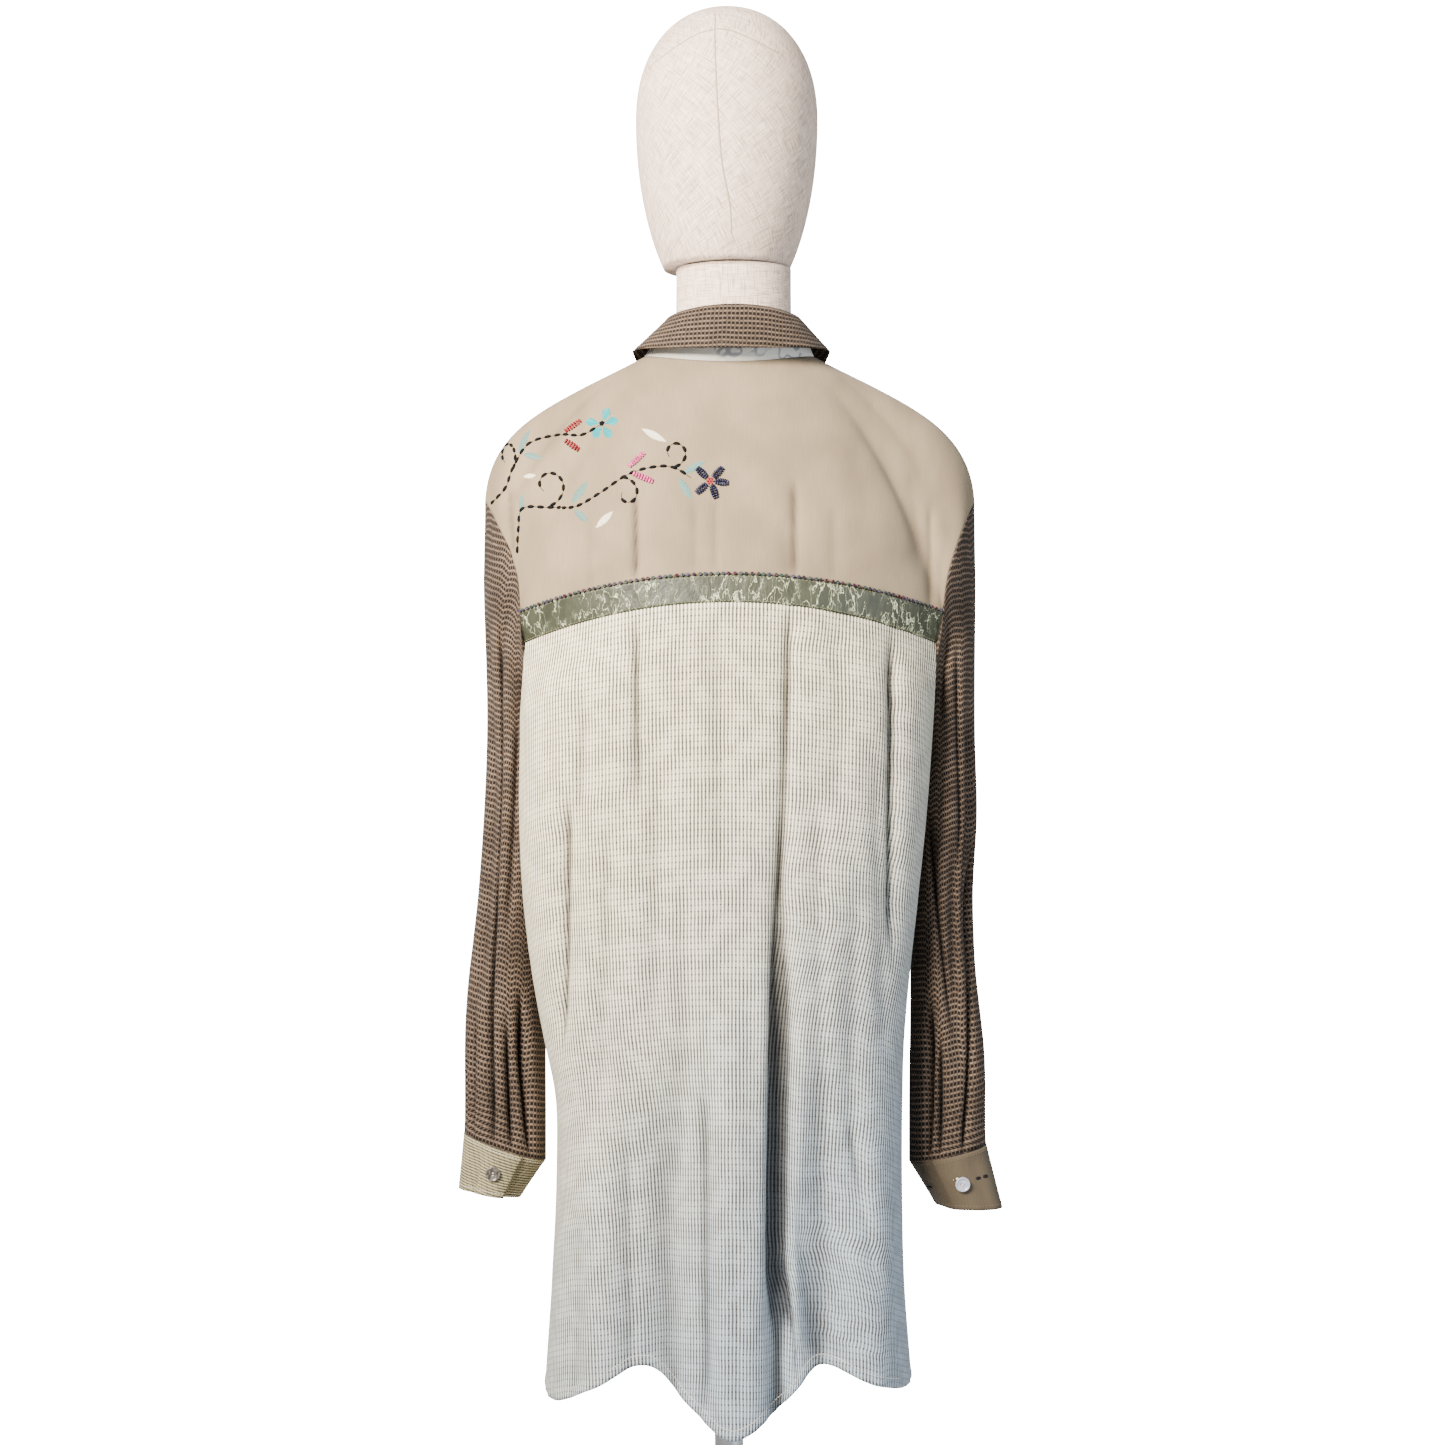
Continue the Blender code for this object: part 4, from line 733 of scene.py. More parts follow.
def line_lengths(points):
    """Length along a line of points at each point."""
    steps = np.linalg.norm(np.diff(points, axis=0), axis=1)
    return np.concatenate(([0.0], np.cumsum(steps)))


def unit(vectors):
    """Vectors brought to length 1."""
    return vectors / np.maximum(np.linalg.norm(vectors, axis=-1, keepdims=True), 1e-12)


def outward(grid):
    """Unit vectors across the surface, level with the floor and away from the body's axis."""
    across = np.gradient(grid, axis=1)
    level = np.zeros(grid.shape[:2])
    vectors = unit(np.stack((across[..., 1], -across[..., 0], level), axis=-1))
    facing = np.sum(vectors[..., :2] * grid[..., :2], axis=-1)
    return vectors * np.sign(np.sum(facing))


def normals(grid, middle=(0.0, 0.0)):
    """Unit normals of a grid from its two gradients, on the side away from an upright axis."""
    vectors = unit(np.cross(np.gradient(grid, axis=1), np.gradient(grid, axis=0)))
    facing = np.sum(vectors[..., :2] * (grid[..., :2] - np.array(middle)))
    return vectors * np.sign(facing)


def yoke_angles():
    """Angles round the neck of the yoke's ribs, from the left front seam to the right one."""
    side = np.linspace(NECK_FRONT_YOKE, NECK_BAND_END, YOKE_SIDE_SEGMENTS + 1)[:-1]
    back = np.linspace(NECK_BAND_END, pi - NECK_BAND_END, BACK_SEGMENTS + 1)
    return np.concatenate((side, back, pi - side[::-1]))


def front_angles(edge):
    """Angles round the neck of one front's ribs, to the x of its edge as seen on the left."""
    last = -np.arccos(edge / NECK_HALF_WIDTH)
    return np.linspace(NECK_FRONT_YOKE, last, FRONT_ARMHOLE_SEGMENTS + FRONT_SEGMENTS + 1)


def from_armhole_to_armhole(turns, line):
    """Left armhole by its turns, a line across the back, then the right armhole."""
    return np.concatenate((armhole(1, turns)[:-1], line, armhole(-1, turns)[::-1][1:]))


def yoke_grid():
    """Back yoke: ribs over the back and both shoulders."""
    turns = np.linspace(FRONT_YOKE_TURN, BAND_TOP_TURN, YOKE_SIDE_SEGMENTS + 1)
    outer = from_armhole_to_armhole(turns, back_line(BAND_TOP_TURN, BAND_TOP_MIDDLE))
    side_share = armhole_share(turns[:-1])
    from_end = 1 - np.abs(places(-1.0, 1.0, BACK_SEGMENTS))
    back_share = armhole_share(BAND_TOP_TURN) * np.exp(-(from_end / BAND_END_REACH) ** 2)
    sideways = np.concatenate((side_share, back_share, side_share[::-1]))
    return ribs(neck_seam(yoke_angles()), outer, sideways, YOKE_ROWS)


def band_grid():
    """Green band: straight rules between two lines across the back, its ends on the armholes."""
    top = back_line(BAND_TOP_TURN, BAND_TOP_MIDDLE)
    low = back_line(BAND_LOW_TURN, BAND_LOW_MIDDLE)
    t = shares(BAND_ROWS)[:, None]
    grid = top * (1 - t) + low * t
    turns = np.linspace(BAND_TOP_TURN, BAND_LOW_TURN, BAND_ROWS + 1)
    grid[:, 0] = armhole(1, turns)
    grid[:, -1] = armhole(-1, turns)
    return grid


def back_panel_grid():
    """Back panel: sections of the body from the band down to the three-lobed hem, with flutes."""
    turns = np.linspace(0.5, BAND_LOW_TURN, UNDERARM_SEGMENTS + 1)
    top = from_armhole_to_armhole(turns, back_line(BAND_LOW_TURN, BAND_LOW_MIDDLE))
    across = line_lengths(top)
    across /= across[-1]
    hem = table(HEM_COLUMNS, HEM_ROWS)
    hem_z = through(hem["across"], hem["z"], across)
    t = shares(BACK_ROWS)
    z = top[:, 2] * (1 - t) + hem_z * t
    section = back_section(np.broadcast_to(across, z.shape), z)
    grid = section.copy()
    blend = ease(t / TOP_BLEND)[..., None]
    grid[..., :2] = top[:, :2] * (1 - blend) + section[..., :2] * blend
    return grid + outward(grid) * flutes(grid[..., 0], z)[..., None]


def front_grids(side, edge):
    """Upper and lower grids of one front, which share the chest line. The edge is the x of its
    front edge before the right front is mirrored."""
    turns = np.linspace(FRONT_YOKE_TURN, -0.5, FRONT_ARMHOLE_SEGMENTS + 1)
    underarm = armhole(1, 0.5)
    chest = chest_line(places(1.0, edge / underarm[0], FRONT_SEGMENTS))
    outer = np.concatenate((armhole(1, turns)[:-1], chest))
    sideways = np.concatenate((armhole_share(turns[:-1]), np.zeros(len(chest))))
    upper = ribs(neck_seam(front_angles(edge)), outer, sideways, FRONT_UPPER_ROWS)
    half = line_lengths(chest_line(places(1.0, 0.0, FRONT_SEGMENTS)))[-1]
    along = np.minimum(line_lengths(chest) / half, 1.0)
    t = shares(FRONT_LOWER_ROWS)
    side_hem = HEM_ROWS[0][1] if side > 0 else HEM_ROWS[-1][1]
    hem_z = side_hem + (FRONT_HEM_MIDDLE_Z - side_hem) * ease(along)
    z = chest[:, 2] * (1 - t) + hem_z * t
    section = front_section(side, np.broadcast_to(along, z.shape), z)
    section[:, -1, 0] = edge
    blend = ease(t / TOP_BLEND)[..., None]
    lower = section.copy()
    lower[..., :2] = chest[:, :2] * (1 - blend) + section[..., :2] * blend
    mirror = np.array((side, 1, 1))
    return upper * mirror, lower * mirror


def ring_outward(grid):
    """Unit vectors away from the middle of each row of a closed ring."""
    away = grid - grid.mean(axis=1, keepdims=True)
    away[..., 2] = 0
    return unit(away)


def crease_depth(turn, z, rows):
    """Sum of a sleeve's creases: lines in turn and height, with a bell of their own power."""
    total = np.zeros(z.shape)
    for turn_high, turn_low, z_high, z_low, depth, width, power in rows:
        down = np.clip((z_high - z) / (z_high - z_low), 0, 1)
        away = (turn - turn_high - (turn_low - turn_high) * down + 0.5) % 1.0 - 0.5
        fade = ease((z_high - z) / CREASE_FADE) * ease((z - z_low) / CREASE_FADE)
        total += depth * fade * np.exp(-(np.abs(away) / width) ** power)
    return total


def sleeve_grid(side, creases, sharp, cuff_rows):
    """Sleeve: ovals by height, eased into the armhole seam and the slanting cuff seam, with its
    creases pressed in, the sharp ones last."""
    turn = np.linspace(0.0, 1.0, SLEEVE_TURN_SEGMENTS, endpoint=False)
    angle = 2 * pi * turn
    top = armhole(side, turn)
    data = table(SLEEVE_COLUMNS, SLEEVE_ROWS)
    body_side = "left" if side > 0 else "right"
    names = (f"outer_{body_side}", f"inner_{body_side}", "back", "front")
    cuff = table(CUFF_COLUMNS, cuff_rows)
    foot_x = cuff["x"][0] + side * cuff["half_x"][0] * np.cos(angle)
    foot_y = cuff["y"][0] + cuff["half_y"][0] * np.sin(angle)
    foot_z = cuff["z"][0] + cuff["slant"][0] * (foot_x - cuff["x"][0])
    t = shares(SLEEVE_LENGTH_SEGMENTS)
    z = top[:, 2] * (1 - t) + foot_z * t
    outer, inner, back, front = (through(data["z"], data[name], z) for name in names)
    x = side * ((outer + inner) / 2 + (outer - inner) / 2 * np.cos(angle))
    y = (back + front) / 2 + (back - front) / 2 * np.sin(angle)
    grid = np.stack((x, y, z), axis=-1)
    grid += ring_outward(grid) * crease_depth(turn, z, creases)[..., None]
    near_top = ease(t / SLEEVE_BLEND)[..., None]
    near_foot = ease((t - SLEEVE_FOOT_START) / (SLEEVE_FOOT_END - SLEEVE_FOOT_START))[..., None]
    foot = np.stack((foot_x, foot_y, foot_z), axis=-1)
    grid[..., :2] = top[:, :2] * (1 - near_top) + grid[..., :2] * near_top
    grid[..., :2] = grid[..., :2] * (1 - near_foot) + foot[:, :2] * near_foot
    seam = ease((z - foot_z) / SHARP_SEAM) * near_top[..., 0]
    return grid + ring_outward(grid) * (crease_depth(turn, z, sharp) * seam)[..., None]


def cuff_grid(side, rows):
    """Cuff: an oval that runs once round the wrist and rises by a wall where it laps itself."""
    data = table(CUFF_COLUMNS, rows)
    angle = np.linspace(CUFF_START, CUFF_END, CUFF_SEGMENTS + 1)
    lift = CUFF_LIFT * ease((angle - CUFF_LIFT_FROM) / (CUFF_LIFT_TO - CUFF_LIFT_FROM))
    t = shares(CUFF_ROWS)
    middle_z, middle_x, middle_y, half_x, half_y, slant = (
        data[name][0] * (1 - t) + data[name][1] * t for name in CUFF_COLUMNS)
    x = middle_x + side * (half_x + lift) * np.cos(angle)
    y = middle_y + (half_y + lift) * np.sin(angle)
    return np.stack((x, y, middle_z + slant * (x - middle_x)), axis=-1)


def oval(angle, shift, half_width, back, front, heights):
    """Oval round the neck, with its heights at the back, the sides and the front."""
    sine = np.sin(angle)
    x = shift + half_width * np.cos(angle)
    y = np.where(sine > 0, back, front) * sine
    back_z, side_z, front_z = heights
    z = side_z + (np.where(sine > 0, back_z, front_z) - side_z) * sine ** 2
    return np.stack((x, y, z), axis=-1)


def fold_oval(angle, grow, rise):
    """Oval of the collar's fold line, grown outwards and raised."""
    heights = (FOLD_BACK_Z + rise, FOLD_SIDE_Z + rise, FOLD_FRONT_Z + rise)
    return oval(angle, FOLD_SHIFT, FOLD_HALF_WIDTH + grow, FOLD_BACK + grow, FOLD_FRONT + grow,
                heights)


def collar_stand_grid():
    """Collar stand: straight rules from the neck seam up to the fold line."""
    left = front_angles(FRONT_LEFT_EDGE)[::-1][:-1]
    right = pi - front_angles(FRONT_RIGHT_EDGE)[1:]
    angle = np.concatenate((left, yoke_angles(), right))
    t = shares(STAND_ROWS)[:, None]
    return neck_seam(angle) * (1 - t) + fold_oval(angle, 0.0, 0.0) * t


def collar_fall_grid():
    """Collar fall: over the top of the stand, then out and down to its free edge."""
    angle = np.linspace(FALL_OPENING - pi / 2, 3 * pi / 2 - FALL_OPENING, 2 * BACK_SEGMENTS + 1)
    inner = fold_oval(angle, -FOLD_INNER_IN, FOLD_RISE)
    crest = fold_oval(angle, FOLD_CREST_OUT, FOLD_RISE + FOLD_CREST_UP)
    shoulder = fold_oval(angle, FOLD_SHOULDER_OUT, FOLD_RISE - FOLD_SHOULDER_DOWN)
    edge = oval(angle, FOLD_SHIFT / 2, FALL_HALF_WIDTH, FALL_BACK, FALL_FRONT,
                (FALL_BACK_Z, FALL_SIDE_Z, FALL_FRONT_Z))
    t = shares(FALL_ROWS)[:, None]
    return np.concatenate((inner[None], crest[None], shoulder * (1 - t) + edge * t))


def form_grid():
    """Dress form: neck circles, ribs over the shoulders, then superellipses down the body."""
    angle = all_round(FORM_SEGMENTS)
    cosine, sine = np.cos(angle), np.sin(angle)
    depth = np.where(sine > 0, FORM_SHOULDER_BACK, FORM_SHOULDER_FRONT)
    square = 2 / FORM_SQUARENESS
    flat = np.ones_like(angle)
    outer = np.stack((FORM_SHOULDER_HALF_WIDTH * cosine, depth * sine, FORM_SHOULDER_Z * flat),
                     axis=-1)
    foot = neck_seam(angle) * FORM_NECK_FOOT_SCALE
    foot[:, 2] -= FORM_SHOULDER_DROP + FORM_ROUND_EASE * sine ** 2
    shoulder = ribs(foot, outer, np.zeros(FORM_SEGMENTS), FORM_SHOULDER_ROWS, 0.0)
    neck = table(FORM_NECK_COLUMNS, FORM_NECK_ROWS)
    neck_z = np.linspace(neck["z"][-1], neck["z"][0], FORM_NECK_LEVELS)[:, None]
    radius = through(neck["z"], neck["radius"], neck_z)
    neck_rows = np.stack((FORM_NECK_X + radius * cosine, radius * sine, neck_z * flat), axis=-1)
    body = table(FORM_COLUMNS, FORM_ROWS)
    z = np.linspace(body["z"][-1], body["z"][0], FORM_BODY_LEVELS)[:, None]
    half_width, back, front = (through(body["z"], body[name], z) for name in FORM_COLUMNS[1:])
    x = half_width * np.sign(cosine) * np.abs(cosine) ** square
    y = np.where(sine > 0, back, front) * np.sign(sine) * np.abs(sine) ** square
    body_rows = np.stack((x, y, z * flat), axis=-1)
    return np.concatenate((neck_rows, shoulder, body_rows))


def head_grid():
    """Egg-shaped head: a parabola below its widest level and a superellipse above it."""
    level = np.linspace(HEAD_FOOT_LEVEL, 1.0, HEAD_LEVELS)[:, None]
    below = level < 0
    reach = np.where(below, HEAD_LOWER_REACH, HEAD_TOP_Z - HEAD_MIDDLE_Z)
    height = np.where(below, level, np.sin(level * pi / 2))
    square = np.where(below, 2.0, HEAD_TOP_SQUARENESS)
    radius = HEAD_RADIUS * np.maximum(1 - np.abs(height) ** square, 0.0) ** (1 / square)
    radius = np.maximum(radius, HEAD_TIP_RADIUS)
    angle = all_round(HEAD_SEGMENTS)
    x = HEAD_X + radius * np.cos(angle)
    y = HEAD_Y + HEAD_DEPTH_SCALE * radius * np.sin(angle)
    z = np.broadcast_to(HEAD_MIDDLE_Z + height * reach, x.shape)
    return np.stack((x, y, z), axis=-1)[::-1]


def ring_of(grid, closed):
    """Grid whose rows, where they are closed, end where they start."""
    return np.concatenate((grid, grid[:, :1]), axis=1) if closed else grid


def cloth_map(grid, closed=False):
    """Map of a grid in metres: length across each row from its middle, and down from the top."""
    ring = ring_of(grid, closed)
    across = np.linalg.norm(np.diff(ring, axis=1), axis=-1)
    across = np.concatenate((np.zeros((len(grid), 1)), np.cumsum(across, axis=1)), axis=1)
    down = np.linalg.norm(np.diff(ring, axis=0), axis=-1)
    down = np.concatenate((np.zeros((1, ring.shape[1])), np.cumsum(down, axis=0)))
    middle = across[:, across.shape[1] // 2][:, None]
    return np.stack((across - middle, -down), axis=-1)


def grid_corners(rows, columns, start=0, closed=False):
    """Point numbers of the four corners of every face of a grid, as one array."""
    row, column = np.meshgrid(np.arange(rows - 1), np.arange(columns if closed else columns - 1),
                              indexing="ij")
    beside = (column + 1) % columns
    corners = (row * columns + column, row * columns + beside,
               (row + 1) * columns + beside, (row + 1) * columns + column)
    return start + np.stack(corners, axis=-1).reshape(-1, 4)


def map_corners(cloth):
    """Map values at the four corners of every face of a grid, in the order of grid_corners."""
    corners = (cloth[:-1, :-1], cloth[:-1, 1:], cloth[1:, 1:], cloth[1:, :-1])
    return np.stack(corners, axis=2).reshape(-1, 4, 2)


def new_piece(name, points, faces, look, cloth=None):
    """New smooth object on the one body, from points, faces and, for cloth, its map."""
    mesh = bpy.data.meshes.new(name)
    mesh.from_pydata(points.reshape(-1, 3), [], faces)
    if cloth is not None:
        layer = mesh.uv_layers.new(name="Cloth")
        layer.data.foreach_set("uv", np.ascontiguousarray(cloth, dtype=np.float32).ravel())
    mesh.materials.append(look)
    mesh.shade_smooth()
    made = bpy.data.objects.new(name, mesh)
    bpy.context.scene.collection.objects.link(made)
    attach(made, "root")
    return made


def new_cloth(name, grid, look, wall, node, closed=False, flip=False):
    """Cloth piece from one grid, with its wall on the inner side, and what it stands for. A
    sleeve's map is measured up from its cuff, so that its rows lie level there."""
    rows, columns = grid.shape[:2]
    corners = grid_corners(rows, columns, closed=closed)
    cloth = cloth_map(grid, closed)
    if closed:
        cloth[..., 1] -= cloth[-1, :, 1]
    cloth = map_corners(cloth)
    if flip:
        corners, cloth = corners[:, ::-1], cloth[:, ::-1]
    made = new_piece(name, grid, corners, look, cloth)
    keep_hollows(made, hollows(grid, closed))
    finish_cloth(made, wall, node)


def hollows(grid, closed=False):
    """How hollow each point of a grid lies against its row's neighbours, from 0 to 1."""
    even = grid
    for _ in range(HOLLOW_PASSES):
        if closed:
            even = (np.roll(even, 1, axis=1) + 2 * even + np.roll(even, -1, axis=1)) / 4
        else:
            wide = np.concatenate((even[:, :1], even, even[:, -1:]), axis=1)
            even = (wide[:, :-2] + 2 * even + wide[:, 2:]) / 4
    up = ring_outward(grid) if closed else normals(grid)
    return np.clip(((even - grid) * up).sum(axis=-1) / HOLLOW_DEPTH, 0.0, 1.0)


def keep_hollows(made, values):
    """Store the hollows on the points, for the materials to paint shade into their folds with."""
    layer = made.data.attributes.new("HollowShade", "FLOAT", "POINT")
    layer.data.foreach_set("value", np.ascontiguousarray(values, dtype=np.float32).ravel())


def finish_cloth(made, wall, node):
    """Give a cloth piece its wall and hide the solid that it stands for."""
    add_wall(made, wall)
    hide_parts(node)


def add_wall(made, wall):
    """Give a sheet its thickness, inwards from its shown side."""
    solid = made.modifiers.new("Wall", "SOLIDIFY")
    solid.thickness = wall
    solid.offset = -1.0


def dim(colour, share):
    """Colour at a share of its brightness, each part 1 at most."""
    return tuple(min(1.0, share * part) for part in colour)


class Nodes:
    """Short way to write a material's nodes, for colours and heights worked out from a map."""

    def __init__(self, name, coordinates="UV"):
        """Start a material and read its map (UV) or its place in the object (Object)."""
        self.look = bpy.data.materials.new(name)
        self.look.use_nodes = True
        self.tree = self.look.node_tree
        self.shader = self.tree.nodes["Principled BSDF"]
        source = self.add("ShaderNodeTexCoord")
        self.place = source.outputs[coordinates]
        split = self.add("ShaderNodeSeparateXYZ")
        self.link(self.place, split.inputs[0])
        self.u, self.v, self.w = split.outputs

    def add(self, kind, **values):
        """New node with its settings."""
        node = self.tree.nodes.new(kind)
        for key, value in values.items():
            setattr(node, key, value)
        return node

    def link(self, output, value):
        """Join two sockets."""
        self.tree.links.new(output, value)

    def feed(self, socket, value):
        """Set a socket from another socket, a number or a colour."""
        if isinstance(value, bpy.types.NodeSocket):
            self.link(value, socket)
        elif isinstance(value, tuple) and len(value) == 3 and len(socket.default_value) == 4:
            socket.default_value = (*value, 1.0)
        else:
            socket.default_value = value

    def math(self, operation, *values):
        """One step of arithmetic."""
        node = self.add("ShaderNodeMath", operation=operation)
        for socket, value in zip(node.inputs, values):
            self.feed(socket, value)
        return node.outputs[0]

    def times(self, one, other):
        """Product of two values."""
        return self.math("MULTIPLY", one, other)

    def plus(self, one, other):
        """Sum of two values."""
        return self.math("ADD", one, other)

    def minus(self, one, other):
        """One value less another."""
        return self.math("SUBTRACT", one, other)

    def sway(self, scale, detail, width):
        """Noise about zero that wanders over a width."""
        return self.times(self.minus(self.noise(scale, detail), 0.5), width)

    def near(self, value, pitch, width, soft):
        """1 in stripes of a width at every multiple of a pitch, 0 between, with soft edges."""
        away = self.math("PINGPONG", value, pitch / 2)
        return self.spread(away, width / 2 + soft, width / 2 - soft)

    def spread(self, value, low, high, to_low=0.0, to_high=1.0):
        """Map a range of values smoothly to another."""
        node = self.add("ShaderNodeMapRange", interpolation_type="SMOOTHSTEP")
        for socket, given in zip(node.inputs, (value, low, high, to_low, to_high)):
            self.feed(socket, given)
        return node.outputs[0]

    def noise(self, scale, detail=2.0, stretch=None, place=None):
        """Noise with so many cells to a metre, stretched by its own factors across and down."""
        where = self.place if place is None else place
        if stretch is not None:
            mapping = self.add("ShaderNodeMapping")
            mapping.inputs["Scale"].default_value = stretch
            self.link(where, mapping.inputs["Vector"])
            where = mapping.outputs[0]
        node = self.add("ShaderNodeTexNoise")
        node.inputs["Scale"].default_value = scale
        node.inputs["Detail"].default_value = detail
        self.link(where, node.inputs["Vector"])
        return node.outputs[0]

    def mix(self, factor, one, other):
        """Mix of two colours."""
        node = self.add("ShaderNodeMix", data_type="RGBA")
        self.feed(node.inputs["Factor"], factor)
        self.feed(node.inputs[6], one)
        self.feed(node.inputs[7], other)
        return node.outputs[2]

    def toned(self, noise, one, other):
        """Slow change from one colour to another over the middle of a noise."""
        return self.mix(self.spread(noise, 0.3, 0.7), one, other)

    def with_painted_fold_shade(self, colour):
        """Colour with painted shade in the hollows of the folds."""
        hollow = self.add("ShaderNodeAttribute", attribute_name="HollowShade")
        node = self.add("ShaderNodeMix", data_type="RGBA", blend_type="MULTIPLY")
        self.feed(node.inputs["Factor"], hollow.outputs["Fac"])
        self.feed(node.inputs[6], colour)
        self.feed(node.inputs[7], HOLLOW_PAINTED_SHADE)
        return node.outputs[2]

    def bump(self, height, distance, strength=1.0):
        """Bump the shader by a height in units of a distance in metres."""
        node = self.add("ShaderNodeBump")
        node.inputs["Strength"].default_value = strength
        node.inputs["Distance"].default_value = distance
        self.link(height, node.inputs["Height"])
        self.link(node.outputs[0], self.shader.inputs["Normal"])

    def finish(self, colour, roughness, sheen=0.0, metallic=0.0, specular=0.5, coat=0.0):
        """Set the shader's own values and hand over the material."""
        self.feed(self.shader.inputs["Base Color"], colour)
        self.feed(self.shader.inputs["Roughness"], roughness)
        self.shader.inputs["Metallic"].default_value = metallic
        self.shader.inputs["Sheen Weight"].default_value = sheen
        self.shader.inputs["Specular IOR Level"].default_value = specular
        self.shader.inputs["Coat Weight"].default_value = coat
        return self.look


def crepe_look(name, colour):
    """Taupe crepe: fine pebbly grain, faint warp streaks and slow changes of tone."""
    g = Nodes(name)
    grain = g.noise(1500.0, 2.0)
    streak = g.noise(1.0, 2.0, stretch=(900.0, 60.0, 1.0))
    tone = g.noise(16.0, 2.0)
    light = dim(colour, 1.13)
    dark = dim(colour, 0.86)
    shade = g.toned(tone, dark, light)
    thread = g.plus(g.times(grain, 0.5), g.times(streak, 0.5))
    shade = g.mix(g.spread(thread, 0.35, 0.62, 0.30, 0.0), shade, dim(colour, 0.62))
    g.bump(thread, 0.00025, 0.7)
    return g.finish(g.with_painted_fold_shade(shade), 0.78, sheen=0.08, specular=0.2)


def ribbon_look(name, colour, painted_highlight):
    """Moss organza ribbon: painted highlights in crumpled lines that wander across it, over a fine
    rib.
    """
    g = Nodes(name)
    bend = g.noise(1.0, 3.0, stretch=(95.0, 55.0, 1.0))
    crumple = g.math("ABSOLUTE", g.minus(bend, 0.5))
    second = g.noise(1.0, 2.0, stretch=(150.0, 45.0, 1.0))
    fine = g.math("ABSOLUTE", g.minus(second, 0.53))
    line = g.math("MAXIMUM", g.spread(crumple, 0.020, 0.004),
                  g.spread(fine, 0.014, 0.002, 0.0, 0.8))
    patch = g.spread(g.noise(38.0, 1.0), 0.36, 0.58)
    weave = g.noise(1800.0, 1.0)
    # Painted highlights: crumpled lines in patches, mixed towards the highlight colour
    glint = g.times(g.times(line, patch), g.spread(weave, 0.25, 0.55))
    ground = g.toned(bend, dim(colour, 0.78), dim(colour, 1.18))
    g.bump(g.plus(g.times(glint, 0.8), g.times(bend, 1.6)), 0.0012, 0.8)
    return g.finish(g.with_painted_fold_shade(g.mix(glint, ground, painted_highlight)), 0.46, specular=0.35)


def check_look(name, cream, line, rib_pitch, row_pitch, turned=False, painted_cool_light=None):
    """Cream dobby cloth: raised ribs, grey gaps between them, and a row of short dark dashes in
    the gaps at every row pitch, every other dash darker."""
    g = Nodes(name)
    across, along = (g.v, g.u) if turned else (g.u, g.v)
    across = g.plus(across, g.sway(30.0, 2.0, rib_pitch * 0.5))
    gap = g.near(across, rib_pitch, rib_pitch * 0.52, rib_pitch * 0.15)
    row = g.near(along, row_pitch, row_pitch * 0.22, row_pitch * 0.07)
    place = g.near(across, rib_pitch, rib_pitch * 0.54, rib_pitch * 0.10)
    darker = g.near(across, rib_pitch * 2, rib_pitch * 0.8, rib_pitch * 0.2)
    uneven = g.spread(g.noise(420.0, 1.0), 0.30, 0.55, 0.75, 1.0)
    dash = g.times(g.times(row, place), uneven)
    dash = g.times(dash, g.plus(0.62, g.times(darker, 0.38)))
    tone = g.noise(9.0, 2.0)
    ground = g.toned(tone, cream, dim(cream, 0.90))
    # Painted cool light: the ground turns bluish grey lower down and further across the cloth
    if painted_cool_light is not None:
        lower = g.plus(g.v, g.times(g.u, painted_cool_light[0]))
        ground = g.mix(g.spread(lower, *painted_cool_light[1]), ground, painted_cool_light[2])
    worn = g.spread(g.noise(55.0, 2.0), 0.32, 0.62, 0.72, 1.0)
    rib_shade = g.mix(g.times(gap, worn), ground,
                      g.mix(0.94, ground, (0.030, 0.028, 0.028)))
    row_shade = g.mix(g.times(row, 0.10), rib_shade, line)
    thread = g.noise(2200.0, 1.0)
    fuzz = g.mix(g.spread(thread, 0.35, 0.65, 0.12, 0.0), row_shade, dim(cream, 0.5))
    height = g.minus(1.0, g.plus(g.times(gap, 0.75),
                                            g.times(dash, 0.25)))
    g.bump(g.plus(height, g.times(thread, 0.35)), 0.00040, 0.8)
    return g.finish(g.with_painted_fold_shade(g.mix(dash, fuzz, line)), 0.82, sheen=0.05, specular=0.2)


def tweed_look(name, values):
    """Brown dobby cloth: rows of tan dashes, each brightest in the middle of its column, with
    dark squares between the rows and faint tan columns between the squares."""
    g = Nodes(name)
    column_pitch, row_pitch = values.column_pitch, values.tweed_pitch
    along = g.plus(g.v, g.sway(30.0, 1.0, row_pitch * 0.6))
    across = g.plus(g.u, g.sway(60.0, 1.0, column_pitch * 0.5))
    row = g.near(along, row_pitch, row_pitch * 0.35, row_pitch * 0.13)
    dash = g.near(across, column_pitch, column_pitch * 0.76, column_pitch * 0.16)
    column = g.near(g.plus(across, column_pitch / 2), column_pitch, column_pitch * 0.26,
                    column_pitch * 0.10)
    uneven = g.spread(g.noise(380.0, 1.0), 0.30, 0.60, 0.50, 1.0)
    bright = g.times(g.times(row, uneven),
                    g.plus(0.30, g.times(dash, 0.70)))
    fine = g.times(g.times(column, 0.48), g.minus(1.0, row))
    patch = g.spread(g.noise(26.0, 2.0), 0.32, 0.66, 0.70, 1.0)
    tone = g.noise(14.0, 2.0)
    pale = g.toned(tone, tuple(values.tan), dim(values.tan, 0.62))
    level = g.times(g.math("MINIMUM", g.plus(bright, fine), 1.0), patch)
    g.bump(level, 0.0005, 0.9)
    return g.finish(g.with_painted_fold_shade(g.mix(level, tuple(values.brown), pale)), 0.88, sheen=0.03,
                    specular=0.15)


